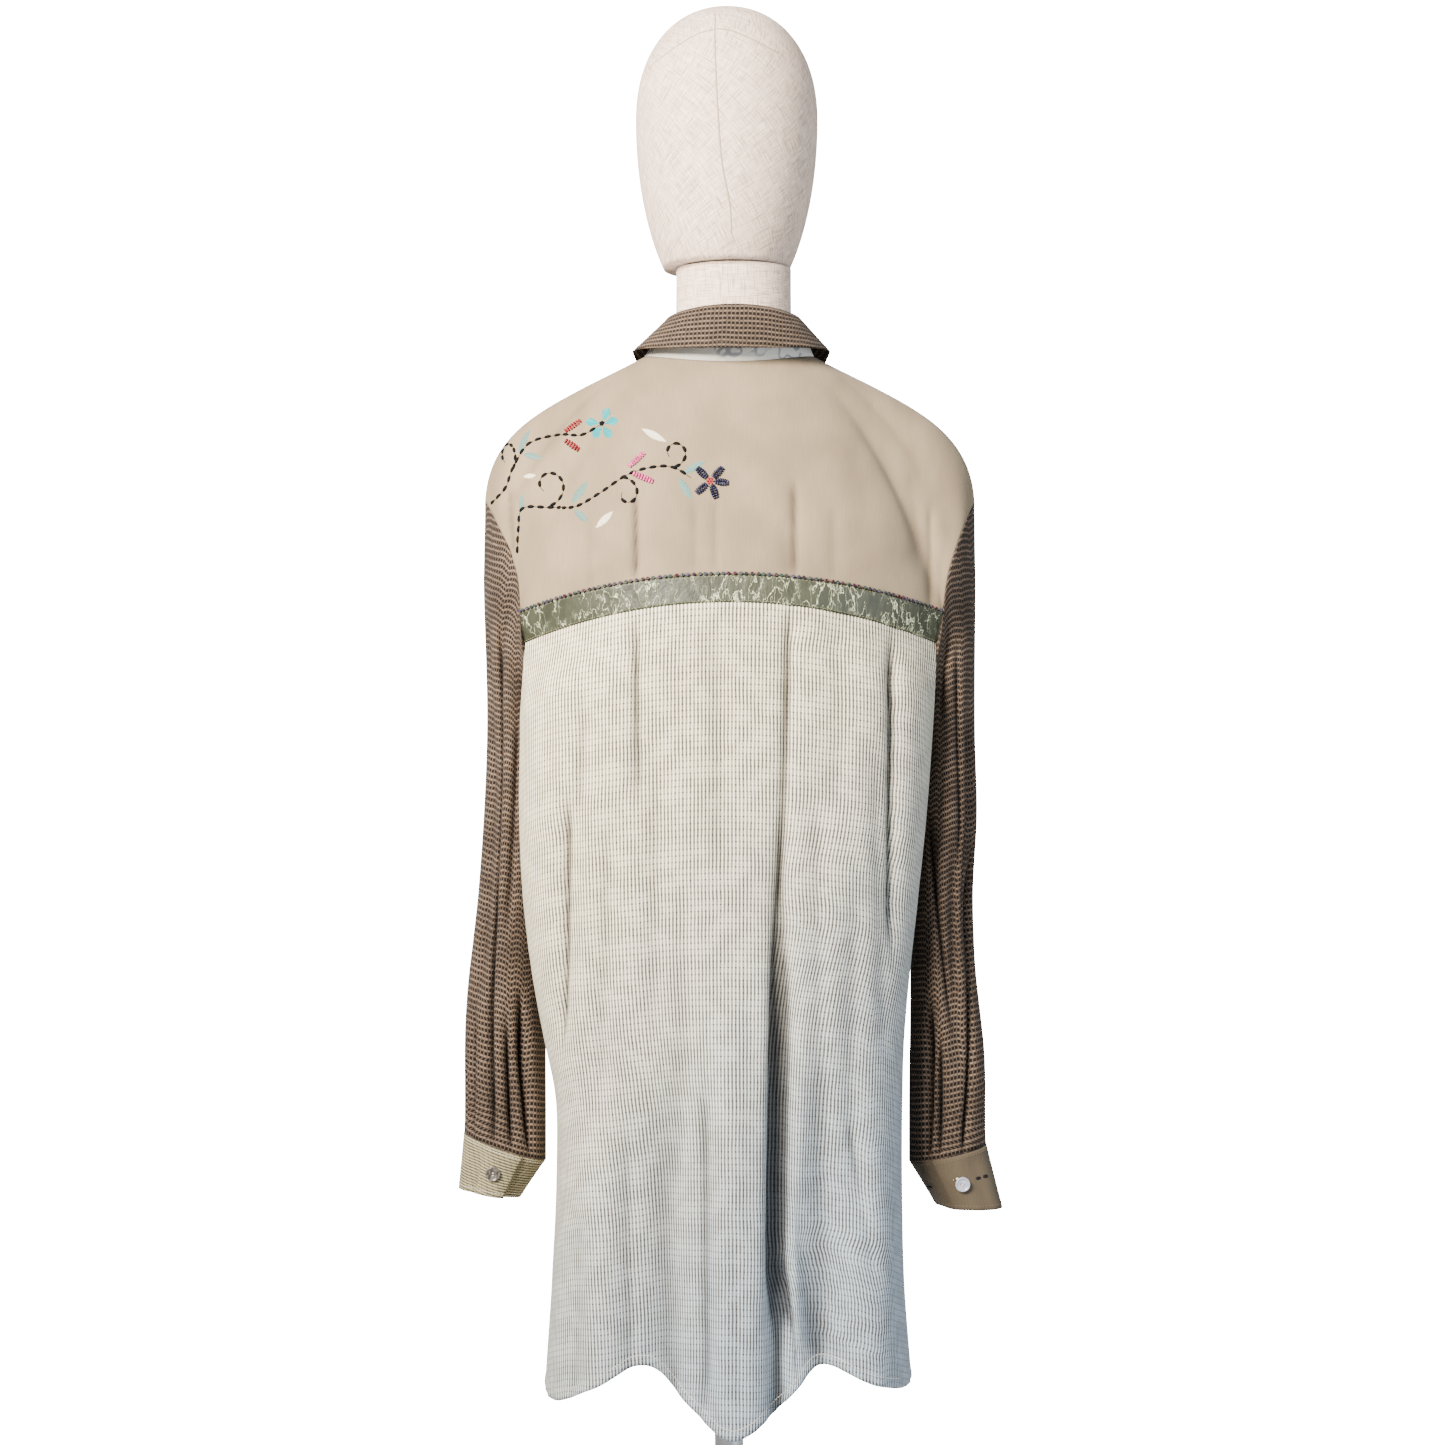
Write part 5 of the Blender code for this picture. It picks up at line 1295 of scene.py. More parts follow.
def jacquard_look(name, cream, grey):
    """Cream jacquard: glossy small flowers and leaves in outline on a satin ground."""
    g = Nodes(name)
    cell = g.add("ShaderNodeTexVoronoi", feature="SMOOTH_F1")
    cell.inputs["Scale"].default_value = 120.0
    g.link(g.place, cell.inputs["Vector"])
    petal = g.math("ABSOLUTE", g.minus(cell.outputs["Distance"], 0.42))
    outline = g.spread(petal, 0.11, 0.04)
    patch = g.spread(g.noise(28.0, 1.0), 0.50, 0.58)
    ribs_across = g.near(g.v, 0.0007, 0.0003, 0.0001)
    ground = g.mix(g.times(ribs_across, 0.15), cream, dim(cream, 0.75))
    g.bump(g.plus(outline, ribs_across), 0.0002, 0.5)
    return g.finish(g.mix(g.times(outline, patch), ground, grey), 0.5, sheen=0.2)


def linen_look(name, colour, bias):
    """Plain linen: fine threads both ways, turned on the bias for the head, with dark slubs."""
    g = Nodes(name)
    mapping = g.add("ShaderNodeMapping")
    mapping.inputs["Rotation"].default_value = (0.0, 0.0, bias)
    g.link(g.place, mapping.inputs["Vector"])
    turned = mapping.outputs[0]
    warp = g.noise(1.0, 2.0, stretch=(1500.0, 70.0, 1.0), place=turned)
    weft = g.noise(1.0, 2.0, stretch=(70.0, 1500.0, 1.0), place=turned)
    slub_warp = g.noise(1.0, 1.0, stretch=(1300.0, 32.0, 1.0), place=turned)
    slub_weft = g.noise(1.0, 1.0, stretch=(32.0, 1300.0, 1.0), place=turned)
    slub = g.math("MAXIMUM", g.spread(slub_warp, 0.60, 0.72), g.spread(slub_weft, 0.60, 0.72))
    weave = g.times(g.plus(warp, weft), 0.5)
    dark = dim(colour, 0.58)
    shade = g.mix(g.spread(weave, 0.38, 0.60), dark, dim(colour, 1.10))
    shade = g.mix(g.times(slub, 0.60), shade, dim(colour, 0.36))
    g.bump(g.plus(weave, g.times(slub, 0.6)), 0.0006, 0.9)
    return g.finish(shade, 0.85, sheen=0.1, specular=0.25)


def plain_look(name, colour, roughness, coordinates="Object", scale=900.0, depth=0.0001, **more):
    """Thread, bead, button or paint: a colour with fine changes of tone and a light bump."""
    g = Nodes(name, coordinates)
    grain = g.noise(scale, 2.0)
    shade = g.toned(grain, dim(colour, 0.75),
                  dim(colour, 1.2))
    g.bump(grain, depth, 0.6)
    return g.finish(shade, roughness, **more)


def thread_look(name, colour, roughness=0.7):
    """Thread: a fine grain in one colour."""
    return plain_look(name, colour, roughness, scale=3000.0)


def shell_look(name):
    """Mother of pearl: slow bands from white to pink, blue and green under a gloss."""
    g = Nodes(name, "Object")
    band = g.noise(260.0, 2.0)
    one = g.mix(g.spread(band, 0.35, 0.5), (0.40, 0.41, 0.44), (0.26, 0.30, 0.42))
    shade = g.mix(g.spread(band, 0.5, 0.62), one, (0.42, 0.34, 0.37))
    return g.finish(shade, 0.26, coat=0.3)


def steel_look(name):
    """Brushed steel: fine rings round the upright axis in roughness and bump."""
    g = Nodes(name, "Object")
    rings = g.noise(1.0, 2.0, stretch=(8.0, 8.0, 1400.0))
    shade = g.toned(rings, (0.48, 0.48, 0.49), (0.56, 0.56, 0.57))
    g.bump(rings, 0.00004, 0.3)
    return g.finish(shade, g.spread(rings, 0.3, 0.7, 0.32, 0.40), metallic=1.0)


def horn_look(name):
    """Translucent horn: grey-brown streaks under a gloss."""
    g = Nodes(name, "Object")
    streak = g.noise(1.0, 2.0, stretch=(420.0, 90.0, 260.0))
    shade = g.mix(g.spread(streak, 0.35, 0.65), (0.028, 0.022, 0.018), (0.12, 0.105, 0.09))
    return g.finish(shade, 0.34, specular=0.4, coat=0.25)


def bead_look(name):
    """Dark iridescent glass: every bead has its own tone, from black through green to violet."""
    g = Nodes(name, "Object")
    tone = g.noise(190.0, 1.0)
    warm = g.mix(g.spread(tone, 0.38, 0.47), (0.045, 0.010, 0.020), (0.012, 0.012, 0.020))
    cool = g.mix(g.spread(tone, 0.52, 0.62), (0.030, 0.060, 0.045), (0.045, 0.030, 0.070))
    shade = g.mix(g.spread(tone, 0.47, 0.52), warm, cool)
    return g.finish(shade, 0.45, specular=0.2, coat=0.08)


def bead_glass(name, colour):
    """Glossy glass in one colour with bead-to-bead changes."""
    g = Nodes(name, "Object")
    tone = g.noise(330.0, 1.0)
    pale = tuple(min(1.0, c * 1.6 + 0.02) for c in colour)
    shade = g.mix(g.spread(tone, 0.45, 0.68), colour, pale)
    return g.finish(shade, 0.48, specular=0.15, coat=0.06)


def satin_look(name, colour):
    """Satin stitch: parallel shiny threads across the leaf, slanting from its middle."""
    g = Nodes(name)
    slant = g.plus(g.v, g.times(g.math("ABSOLUTE", g.u), 0.9))
    thread = g.near(slant, 0.00042, 0.00020, 0.00010)
    tone = g.noise(600.0, 1.0)
    dark = dim(colour, 0.60)
    shade = g.toned(tone, dim(colour, 0.85),
                  dim(colour, 1.15))
    g.bump(thread, 0.00012, 0.8)
    return g.finish(g.mix(g.times(g.minus(1.0, thread), 0.5), shade, dark),
                    0.42, sheen=0.03, specular=0.3)


def sew(name, rows, size, look):
    """Running stitches along several paths, in one mesh."""
    made = [stitch_lines(path, up, size) for path, up in rows]
    thread_mesh(name, *map(np.concatenate, zip(*made)), *size[2:], look)


def creased(grid, rows, strength, facing=1):
    """Move a grid along its normals by its creases, only where it faces back (1) or front (-1)."""
    shown = ease(facing * grid[..., 1] / FACING_REACH)
    depth = fold_depth(grid[..., 0], grid[..., 2], rows) * shown * strength
    return grid + normals(grid) * depth[..., None]


def eased_yoke(grid):
    """Even out the slight ridge that runs up from each of the ribbon's ends; the seams stay."""
    even = grid.copy()
    for _ in range(YOKE_EASE_PASSES):
        even[:, 1:-1] = (even[:, :-2] + 2 * even[:, 1:-1] + even[:, 2:]) / 4
    t = np.linspace(0.0, 1.0, len(grid))[:, None, None]
    column = np.arange(grid.shape[1])
    ends = (YOKE_SIDE_SEGMENTS, grid.shape[1] - 1 - YOKE_SIDE_SEGMENTS)
    away = np.minimum(np.abs(column - ends[0]), np.abs(column - ends[1]))
    near = ease((YOKE_EASE_REACH - away) / YOKE_EASE_REACH)[None, :, None]
    return grid + (even - grid) * ease(t / YOKE_EASE_TOP) * ease((1 - t) / YOKE_EASE_FOOT) * near


def yoke_surface(strength):
    """Yoke as it lies, with its creases."""
    return creased(eased_yoke(yoke_grid()), YOKE_FOLDS, strength)


def ribbon_surface():
    """Ribbon, lifted off the cloth that it covers."""
    band = band_grid()
    return band + normals(band) * RIBBON_LIFT


def back_surface(strength):
    """Back panel as it hangs, with its creases and its hem."""
    return hemmed(creased(back_panel_grid(), BACK_FOLDS, strength))


def hemmed(grid):
    """Raise the turned-up hem: a step outwards near the last row, with a groove where the stitches
    hold it and slow puckers along it."""
    below = cloth_map(grid)[..., 1]
    above = below - below[-1]
    across = cloth_map(grid)[-1, :, 0]
    quick, slow, shift = HEM_WAVES
    pucker = np.sin(across * quick) * np.sin(across * slow + shift)
    step = HEM_LIFT * ease((HEM_WIDTH + HEM_STEP / 2 - above) / HEM_STEP)
    groove = HEM_GROOVE * np.exp(-((above - HEM_WIDTH) / HEM_GROOVE_WIDTH) ** 2)
    wave = HEM_PUCKER * pucker * np.exp(-(above / HEM_PUCKER_REACH) ** 2)
    return grid + normals(grid) * (step - groove + wave)[..., None]


def new_front(name, upper, lower, look, wall, node, flip):
    """Front panel from its two grids, joined along the chest line; its map is measured from the
    front edge and from the chest line."""
    rows, columns = upper.shape[:2]
    low_rows, low_columns = lower.shape[:2]
    points = np.concatenate((upper.reshape(-1, 3), lower[1:].reshape(-1, 3)))
    corners = np.concatenate((grid_corners(rows, columns),
                              grid_corners(low_rows, low_columns, rows * columns - low_columns)))
    maps = []
    for grid, chest_row in ((upper, -1), (lower, 0)):
        cloth = cloth_map(grid)
        cloth[..., 0] -= cloth[:, -1:, 0]
        cloth[..., 1] -= cloth[chest_row, :, 1]
        maps.append(map_corners(cloth))
    cloth = np.concatenate(maps)
    if flip:
        corners, cloth = corners[:, ::-1], cloth[:, ::-1]
    made = new_piece(name, points, corners, look, cloth)
    keep_hollows(made, np.concatenate((hollows(upper).ravel(), hollows(lower)[1:].ravel())))
    finish_cloth(made, wall, node)


def placket_grid(strength):
    """Placket: the fronts' own surface at places across the middle, moved out by its wall."""
    columns = []
    for edge in np.linspace(PLACKET_LEFT, PLACKET_RIGHT, PLACKET_SEGMENTS + 1):
        upper, lower = front_grids(1, edge)
        columns.append(np.concatenate((upper[:, -1], lower[1:, -1])))
    grid = creased(np.stack(columns, axis=1), FRONT_FOLDS, strength, -1)
    return grid + normals(grid) * PLACKET_LIFT


def wavy_cuff(grid, side):
    """Cuff with a soft dent at the back and a gently waving lower edge."""
    rows, columns = grid.shape[:2]
    down = np.linspace(0.0, 1.0, rows)[:, None]
    across = np.linspace(0.0, 1.0, columns)[None, :]
    middle = grid.mean(axis=(0, 1))[:2]
    dent_place, dent_width = CUFF_DENT_SPAN
    dent = CUFF_DENT * np.exp(-((across - dent_place) / dent_width) ** 2) * ease(down / 0.3 + 0.2)
    quick, slow = CUFF_WAVES
    wave = CUFF_WAVE * down * np.sin(across * quick + side) * np.sin(across * slow)
    return grid + normals(grid, middle) * (wave - dent)[..., None]


def close_end(made, ring):
    """Close an open end with one flat face whose edge is the ring's own points."""
    mesh = made.data
    points = np.empty(len(mesh.vertices) * 3, dtype=np.float32)
    mesh.vertices.foreach_get("co", points)
    points = points.reshape(-1, 3)
    first = int(np.argmin(np.abs(points - ring[0].astype(np.float32)).sum(axis=1)))
    shape = bmesh.new()
    shape.from_mesh(mesh)
    shape.verts.ensure_lookup_table()
    last = first + len(ring)
    edges = [e for e in shape.edges if e.is_boundary and first <= e.verts[0].index < last]
    bmesh.ops.holes_fill(shape, edges=edges, sides=0)
    bmesh.ops.recalc_face_normals(shape, faces=shape.faces)
    shape.to_mesh(mesh)
    shape.free()


def stands_for(made, slot_name, node, *rings):
    """Close a hard piece at its end rings and hide the solid that it stands for; its slot name is
    not used.
    """
    for ring in rings:
        close_end(made, ring)
    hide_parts(node)


def turned_piece(name, node, profile, look):
    """Steel profile turned once round the upright axis, shaded flat at its corners."""
    points = np.array(profile)
    angle = all_round(TURN_SEGMENTS)
    x = points[:, :1] * np.cos(angle)
    y = points[:, :1] * np.sin(angle)
    z = np.broadcast_to(points[:, 1:], x.shape)
    grid = np.stack((x, y, z), axis=-1)
    corners = grid_corners(len(points), TURN_SEGMENTS, closed=True)[:, ::-1]
    made = new_piece(name, grid, corners, look)
    stands_for(made, "brushed_steel", node, grid[0], grid[-1])
    made.data.set_sharp_from_angle(angle=radians(25))


def body_check(values):
    """Cream cloth of the body, with painted cool light that makes it bluer towards the hem."""
    return check_look("cream_body_weave", tuple(values.cream), (0.042, 0.040, 0.042),
                      values.rib_pitch, values.row_pitch,
                      painted_cool_light=(-0.85, (0.00, -0.70), (0.42, 0.51, 0.60)))


def add_light(name, power, place, aim, spread, size, colour):
    """Soft square light aimed at a place, with the width of its beam."""
    light = bpy.data.lights.new(name, "AREA")
    light.energy = power
    light.size = size
    light.color = colour
    light.spread = spread
    made = bpy.data.objects.new(name, light)
    made.location = place
    way = Vector(aim) - made.location
    made.rotation_euler = way.to_track_quat("-Z", "Y").to_euler()
    bpy.context.scene.collection.objects.link(made)


def thread_mesh(name, lines, ups, half_width, half_height, look):
    """Threads in one mesh, oval across and smaller at their flat ends. lines and ups are arrays
    of thread, point along it, and x, y, z."""
    count, steps = lines.shape[:2]
    along = unit(np.gradient(lines, axis=1))
    side = unit(np.cross(along, ups))
    up = np.cross(side, along)
    share = np.linspace(-1.0, 1.0, steps)
    swell = (0.50 + 0.50 * np.sqrt(np.clip(1 - share ** 4, 0.0, 1.0)))[None, :, None, None]
    angle = all_round(THREAD_SIDES)[:, None]
    rings = (np.cos(angle) * half_width * side[:, :, None]
             + np.sin(angle) * half_height * up[:, :, None])
    points = lines[:, :, None] + rings * swell
    corners = grid_corners(steps, THREAD_SIDES, closed=True)[:, ::-1]
    first = np.arange(count) * steps * THREAD_SIDES
    walls = (first[:, None, None] + corners[None]).reshape(-1, 4)
    ring = np.arange(THREAD_SIDES)
    near = first[:, None] + ring
    far = first[:, None] + (steps - 1) * THREAD_SIDES + ring[::-1]
    return new_piece(name, points, walls.tolist() + near.tolist() + far.tolist(), look)


def bead_mesh(name, middles, axes, size, look):
    """Beads in one mesh: each is a ring round its own axis, stretched along it."""
    ring_radius, tube_radius, stretch = size
    spare = np.where(np.abs(axes[:, 2:]) > 0.9, (1.0, 0.0, 0.0), (0.0, 0.0, 1.0))
    one = unit(np.cross(spare, axes))
    other = np.cross(axes, one)
    turn = all_round(BEAD_RING)[None, :, None, None]
    tube = all_round(BEAD_TUBE)[None, None, :, None]
    out = ring_radius + tube_radius * np.cos(tube)
    points = (middles[:, None, None] + out * (np.cos(turn) * one[:, None, None]
                                              + np.sin(turn) * other[:, None, None])
              + tube_radius * stretch * np.sin(tube) * axes[:, None, None])
    row, column = np.meshgrid(np.arange(BEAD_RING), np.arange(BEAD_TUBE), indexing="ij")
    after = (row + 1) % BEAD_RING
    beside = (column + 1) % BEAD_TUBE
    corners = np.stack((row * BEAD_TUBE + column, after * BEAD_TUBE + column,
                        after * BEAD_TUBE + beside, row * BEAD_TUBE + beside), axis=-1)
    first = np.arange(len(middles)) * BEAD_RING * BEAD_TUBE
    faces = (first[:, None, None] + corners.reshape(1, -1, 4)).reshape(-1, 4)
    return new_piece(name, points, faces, look)


def at_lengths(path, values, wanted):
    """Values that belong to a path's points, read at lengths along it."""
    known = line_lengths(path)
    flat = wanted.ravel()
    read = np.stack([np.interp(flat, known, values[:, i]) for i in range(values.shape[1])], axis=-1)
    return read.reshape(*wanted.shape, values.shape[1])


def stitch_lines(path, ups, size, start=0.0):
    """Running stitches along a path: centre lines that rise in their middle, and their ups."""
    pitch, share, _, half_height = size
    total = line_lengths(path)[-1]
    count = max(1, int((total - start) / pitch))
    first = start + np.arange(count) * pitch
    wanted = first[:, None] + np.linspace(0.0, share * pitch, THREAD_RINGS)[None, :]
    lines = at_lengths(path, path, wanted)
    up = at_lengths(path, ups, wanted)
    rise = np.sin(np.linspace(0.0, pi, THREAD_RINGS)) * half_height - THREAD_SINK
    return lines + up * rise[None, :, None], up


def level_path(grid, level, from_top=False):
    """Line across a grid at a length above its last row, or below its first, and its normals."""
    down = cloth_map(grid)[..., 1]
    measure = -down if from_top else (down - down[-1])[::-1]
    source = grid if from_top else grid[::-1]
    up = normals(grid)
    up = up if from_top else up[::-1]
    row = np.clip((measure < level).sum(axis=0), 1, len(grid) - 1)
    column = np.arange(grid.shape[1])
    near, far = measure[row - 1, column], measure[row, column]
    share = ((level - near) / np.maximum(far - near, 1e-9))[:, None]
    path = source[row - 1, column] * (1 - share) + source[row, column] * share
    return path, up[row, column]


def both_edges(grid, inward):
    """Lines along a grid's last row and its first, at their own lengths in from them."""
    return [level_path(grid, inward[0]), level_path(grid, inward[1], True)]


def seen_on(grid, seen):
    """Points and normals of a grid's back that the eye sees through points (x, z) of the upright
    plane through the axis: the nearest grid points, moved within the grid's own slopes."""
    slope_down = np.gradient(grid, axis=0)
    slope_across = np.gradient(grid, axis=1)
    up = normals(grid)
    low, high = seen.min(axis=0) - 0.02, seen.max(axis=0) + 0.02
    reach = (normals(grid)[..., 1] > 0.0) & (grid[..., 0] > low[0]) & (grid[..., 0] < high[0])
    reach &= (grid[..., 2] > low[1]) & (grid[..., 2] < high[1])
    flat, rows, columns = grid[reach], slope_down[reach], slope_across[reach]
    normal = up[reach]
    eye = np.array((EYE[0], EYE[2]))
    depth = np.full(len(seen), 0.10)
    for _ in range(3):
        target = eye + (seen - eye) * ((EYE[1] - depth) / EYE[1])[:, None]
        away = ((target[:, None, 0] - flat[None, :, 0]) ** 2
                + (target[:, None, 1] - flat[None, :, 2]) ** 2)
        near = away.argmin(axis=1)
        gap_x = target[:, 0] - flat[near, 0]
        gap_z = target[:, 1] - flat[near, 2]
        d, a = rows[near], columns[near]
        scale = d[:, 0] * a[:, 2] - d[:, 2] * a[:, 0]
        scale = np.where(np.abs(scale) < 1e-12, 1e-12, scale)
        share_d = np.clip((gap_x * a[:, 2] - gap_z * a[:, 0]) / scale, -1.0, 1.0)
        share_a = np.clip((d[:, 0] * gap_z - d[:, 2] * gap_x) / scale, -1.0, 1.0)
        places = flat[near] + d * share_d[:, None] + a * share_a[:, None]
        depth = places[:, 1]
    return places, normal[near]


def marked(grid, row):
    """Short straight mark seen on a grid from x, z to x, z."""
    share = np.linspace(0.0, 1.0, MARK_POINTS)[:, None]
    start, end = np.array(row[:2]), np.array(row[2:])
    return seen_on(grid, start + (end - start) * share)


def smooth_path(points, steps=14):
    """Catmull-Rom curve through points."""
    known = np.array(points)
    before = np.concatenate((2 * known[:1] - known[1:2], known[:-1]))
    after = np.concatenate((known[1:], 2 * known[-1:] - known[-2:-1]))
    slope = (after - before) / 2
    t = np.linspace(0.0, 1.0, steps, endpoint=False)[None, :, None]
    start, end = known[:-1, None], known[1:, None]
    path = ((2 * t ** 3 - 3 * t ** 2 + 1) * start + (t ** 3 - 2 * t ** 2 + t) * slope[:-1, None]
            + (3 * t ** 2 - 2 * t ** 3) * end + (t ** 3 - t ** 2) * slope[1:, None])
    return np.concatenate((path.reshape(-1, known.shape[1]), known[-1:]))


def curl_path(row, steps=60):
    """Scroll that leaves its stem and winds in round its centre to its last radius."""
    values = dict(zip(CURL_COLUMNS, row))
    reach = np.array((values["from_x"] - values["x"], values["from_z"] - values["z"]))
    reach[0] /= values["squash"]
    t = np.linspace(0.0, 1.0, steps)
    start = np.hypot(*reach)
    radius = values["end"] + (start - values["end"]) * (0.45 * (1 - t) + 0.55 * (1 - t) ** 5)
    angle = np.arctan2(reach[1], reach[0]) + radians(values["turn"]) * t
    return np.stack((values["x"] + radius * np.cos(angle) * values["squash"],
                     values["z"] + radius * np.sin(angle)), axis=-1)


def leaf_grid(grid, root, tip, half, bulge=1.0):
    """Satin leaf on the cloth, a lens from root to tip, rounded over its width, and its map."""
    root, tip = np.array(root), np.array(tip)
    along = shares(LEAF_LENGTH_STEPS)
    across = np.linspace(-1.0, 1.0, LEAF_WIDTH_STEPS + 1)[None, :]
    way = tip - root
    side = np.array((-way[1], way[0])) / np.hypot(*way)
    width = half * np.clip(np.sin(pi * along ** bulge), 0.03, 1.0) ** 0.85
    seen = root + way * along[..., None] + side * (width * across)[..., None]
    places, up = seen_on(grid, seen.reshape(-1, 2))
    rise = LEAF_RISE * (1 - across ** 2) * np.sin(pi * np.clip(along, 0.04, 0.96)) ** 0.5
    rise = rise - LEAF_RISE * 0.30 * np.exp(-(across / 0.18) ** 2) - THREAD_SINK
    shape = along.shape[0], across.shape[1]
    points = places.reshape(*shape, 3) + up.reshape(*shape, 3) * rise[..., None]
    cloth = np.stack(np.broadcast_arrays(width * across, along * np.hypot(*way)), axis=-1)
    return points, cloth


def petal_ways(turns):
    """Directions of a flower's petals as seen, from their turns in degrees."""
    return [np.array((-np.cos(radians(turn)), np.sin(radians(turn)))) for turn in turns]


def ring_points(count, start):
    """Points round a circle of radius 1, from a start angle."""
    angle = np.arange(count) * 2 * pi / count + start
    return np.stack((np.cos(angle), np.sin(angle)), axis=-1)


def satin_mesh(name, leaves, look):
    """Satin leaves or petals in one mesh, each closed by its own underside."""
    points = np.stack([leaf for leaf, _ in leaves])
    cloth = np.stack([part for _, part in leaves])
    count, rows, columns = points.shape[:3]
    corners = grid_corners(rows, columns)
    first = np.arange(count) * rows * columns
    faces = (first[:, None, None] + corners[None]).reshape(-1, 4)
    maps = np.concatenate([map_corners(part) for part in cloth])
    made = new_piece(name, points, faces, look, maps)
    if sum(face.normal.y for face in made.data.polygons) < 0:
        made.data.flip_normals()
    add_wall(made, SATIN_WALL)


def bead_stack(grid, root, tip, rows, lobes=1.0):
    """Beads laid across a petal in pairs, narrower at both ends: middles and axes on the cloth."""
    root, tip = np.array(root), np.array(tip)
    way = tip - root
    side = np.array((-way[1], way[0])) / np.hypot(*way)
    share = (np.arange(rows) + 0.5) / rows
    spread = BEAD_SPREAD * (0.35 + 0.65 * np.sin(pi * share)) * lobes
    seen = np.concatenate((root + way * share[:, None] + side * spread[:, None],
                           root + way * share[:, None] - side * spread[:, None]))
    places, up = seen_on(grid, seen)
    slant = side + BEAD_SLANT * way / np.hypot(*way)
    direction = np.array((slant[0], 0.0, slant[1]))
    return places + up * BEAD_RISE, unit(direction - up * (up @ direction)[:, None])


def disc_frame(node):
    """Middle of a flat round CAD node, and the way it faces, along its shortest spread."""
    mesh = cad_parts[node].data
    points = np.empty(len(mesh.vertices) * 3)
    mesh.vertices.foreach_get("co", points)
    points = points.reshape(-1, 3)
    low, high = (np.array(corner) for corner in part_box(node))
    middle = (low + high) / 2
    _, vectors = np.linalg.eigh(np.cov((points - points.mean(axis=0)).T))
    return middle, vectors[:, 0]


def button_piece(name, node, away, size, holes, look, slot_name):
    """Button turned from its profile, its dish pressed in at each hole, with thread through
    them; it faces away from a point inside."""
    radius, thickness = size
    middle, facing = disc_frame(node)
    facing = facing * np.sign(facing @ (middle - np.array(away)))
    side = unit(np.cross((0.0, 0.0, 1.0), facing))
    up = np.cross(facing, side)
    profile = np.array(BUTTON_PROFILE)
    top = np.linspace(*BUTTON_TOP, BUTTON_TOP_STEPS)
    dish = np.interp(top, profile[:6, 0], profile[:6, 1])
    out = np.concatenate((top, profile[6:, 0])) * radius
    height = np.concatenate((dish, profile[6:, 1])) * thickness - thickness / 2
    angle = all_round(BUTTON_SEGMENTS)
    x = out[:, None] * np.cos(angle)
    y = out[:, None] * np.sin(angle)
    z = np.repeat(height[:, None], BUTTON_SEGMENTS, axis=1)
    reach = HOLE_SPREAD / TWO_HOLES
    if holes == 4:
        pairs = (((1, 1), (-1, 1)), ((1, -1), (-1, -1)))
    else:
        pairs = (((TWO_HOLES, 0), (-TWO_HOLES, 0)),)
    for place_x, place_y in (place for pair in pairs for place in pair):
        from_hole = np.hypot(x - place_x * reach, y - place_y * reach)
        press = ease((HOLE_RADIUS * 1.25 - from_hole) / (HOLE_RADIUS * 0.5))
        z[:BUTTON_TOP_STEPS] -= HOLE_DEPTH * thickness * press[:BUTTON_TOP_STEPS]
    grid = middle + x[..., None] * side + y[..., None] * up + z[..., None] * facing
    corners = grid_corners(len(grid), BUTTON_SEGMENTS, closed=True)[:, ::-1]
    made = new_piece(name, grid, corners, look)
    stands_for(made, slot_name, node, grid[0], grid[-1])
    share = np.linspace(-1.0, 1.0, THREAD_RINGS)
    lines = []
    for (ax, ay), (bx, by) in pairs:
        for shift in (-BUTTON_THREAD_GAP, BUTTON_THREAD_GAP):
            px = (ax + bx) / 2 * reach + (ax - bx) / 2 * reach * share
            py = (ay + by) / 2 * reach + (ay - by) / 2 * reach * share + shift
            pz = thickness * 0.12 + THREAD_CREST - THREAD_DIVE * share ** 4
            lines.append(middle + px[:, None] * side + py[:, None] * up + pz[:, None] * facing)
    lines = np.stack(lines)
    return lines, np.broadcast_to(facing, lines.shape)


class BlouseClothSettings(bpy.types.PropertyGroup):
    """Sizes and colours of the cloths."""
    wall: bpy.props.FloatProperty(
        name="Cloth Thickness", description="Thickness of every cloth piece",
        default=0.0010, min=0.0004, max=0.003, unit="LENGTH")
    fold_strength: bpy.props.FloatProperty(
        name="Crease Strength", description="Share of their own depth that the creases have",
        default=1.0, min=0.0, max=1.5, subtype="FACTOR")
    rib_pitch: bpy.props.FloatProperty(
        name="Rib Pitch", description="Distance between the cream cloth's ribs",
        default=0.00315, min=0.001, max=0.01, unit="LENGTH")
    row_pitch: bpy.props.FloatProperty(
        name="Dash Pitch", description="Distance between the cream cloth's rows of dashes",
        default=0.0052, min=0.001, max=0.02, unit="LENGTH")
    column_pitch: bpy.props.FloatProperty(
        name="Tweed Column Pitch", description="Distance between the brown cloth's columns",
        default=0.0036, min=0.001, max=0.01, unit="LENGTH")
    tweed_pitch: bpy.props.FloatProperty(
        name="Tweed Row Pitch", description="Distance between the brown cloth's rows",
        default=0.0050, min=0.001, max=0.02, unit="LENGTH")
    taupe: bpy.props.FloatVectorProperty(
        name="Taupe", description="Crepe of the yoke and the right cuff", subtype="COLOR",
        default=(0.242, 0.182, 0.113))
    moss: bpy.props.FloatVectorProperty(
        name="Moss", description="Ribbon across the back", subtype="COLOR",
        default=(0.040, 0.043, 0.026))
    cream: bpy.props.FloatVectorProperty(
        name="Cream", description="Ribbed cloth of the body and the left cuff", subtype="COLOR",
        default=(0.93, 0.83, 0.59))
    brown: bpy.props.FloatVectorProperty(
        name="Brown", description="Ground of the sleeves and the collar", subtype="COLOR",
        default=(0.007, 0.0048, 0.0036))
    tan: bpy.props.FloatVectorProperty(
        name="Tan", description="Threads of the sleeves and the collar", subtype="COLOR",
        default=(0.245, 0.168, 0.118))
    linen: bpy.props.FloatVectorProperty(
        name="Linen", description="Cover of the dress form", subtype="COLOR",
        default=(0.88, 0.67, 0.53))


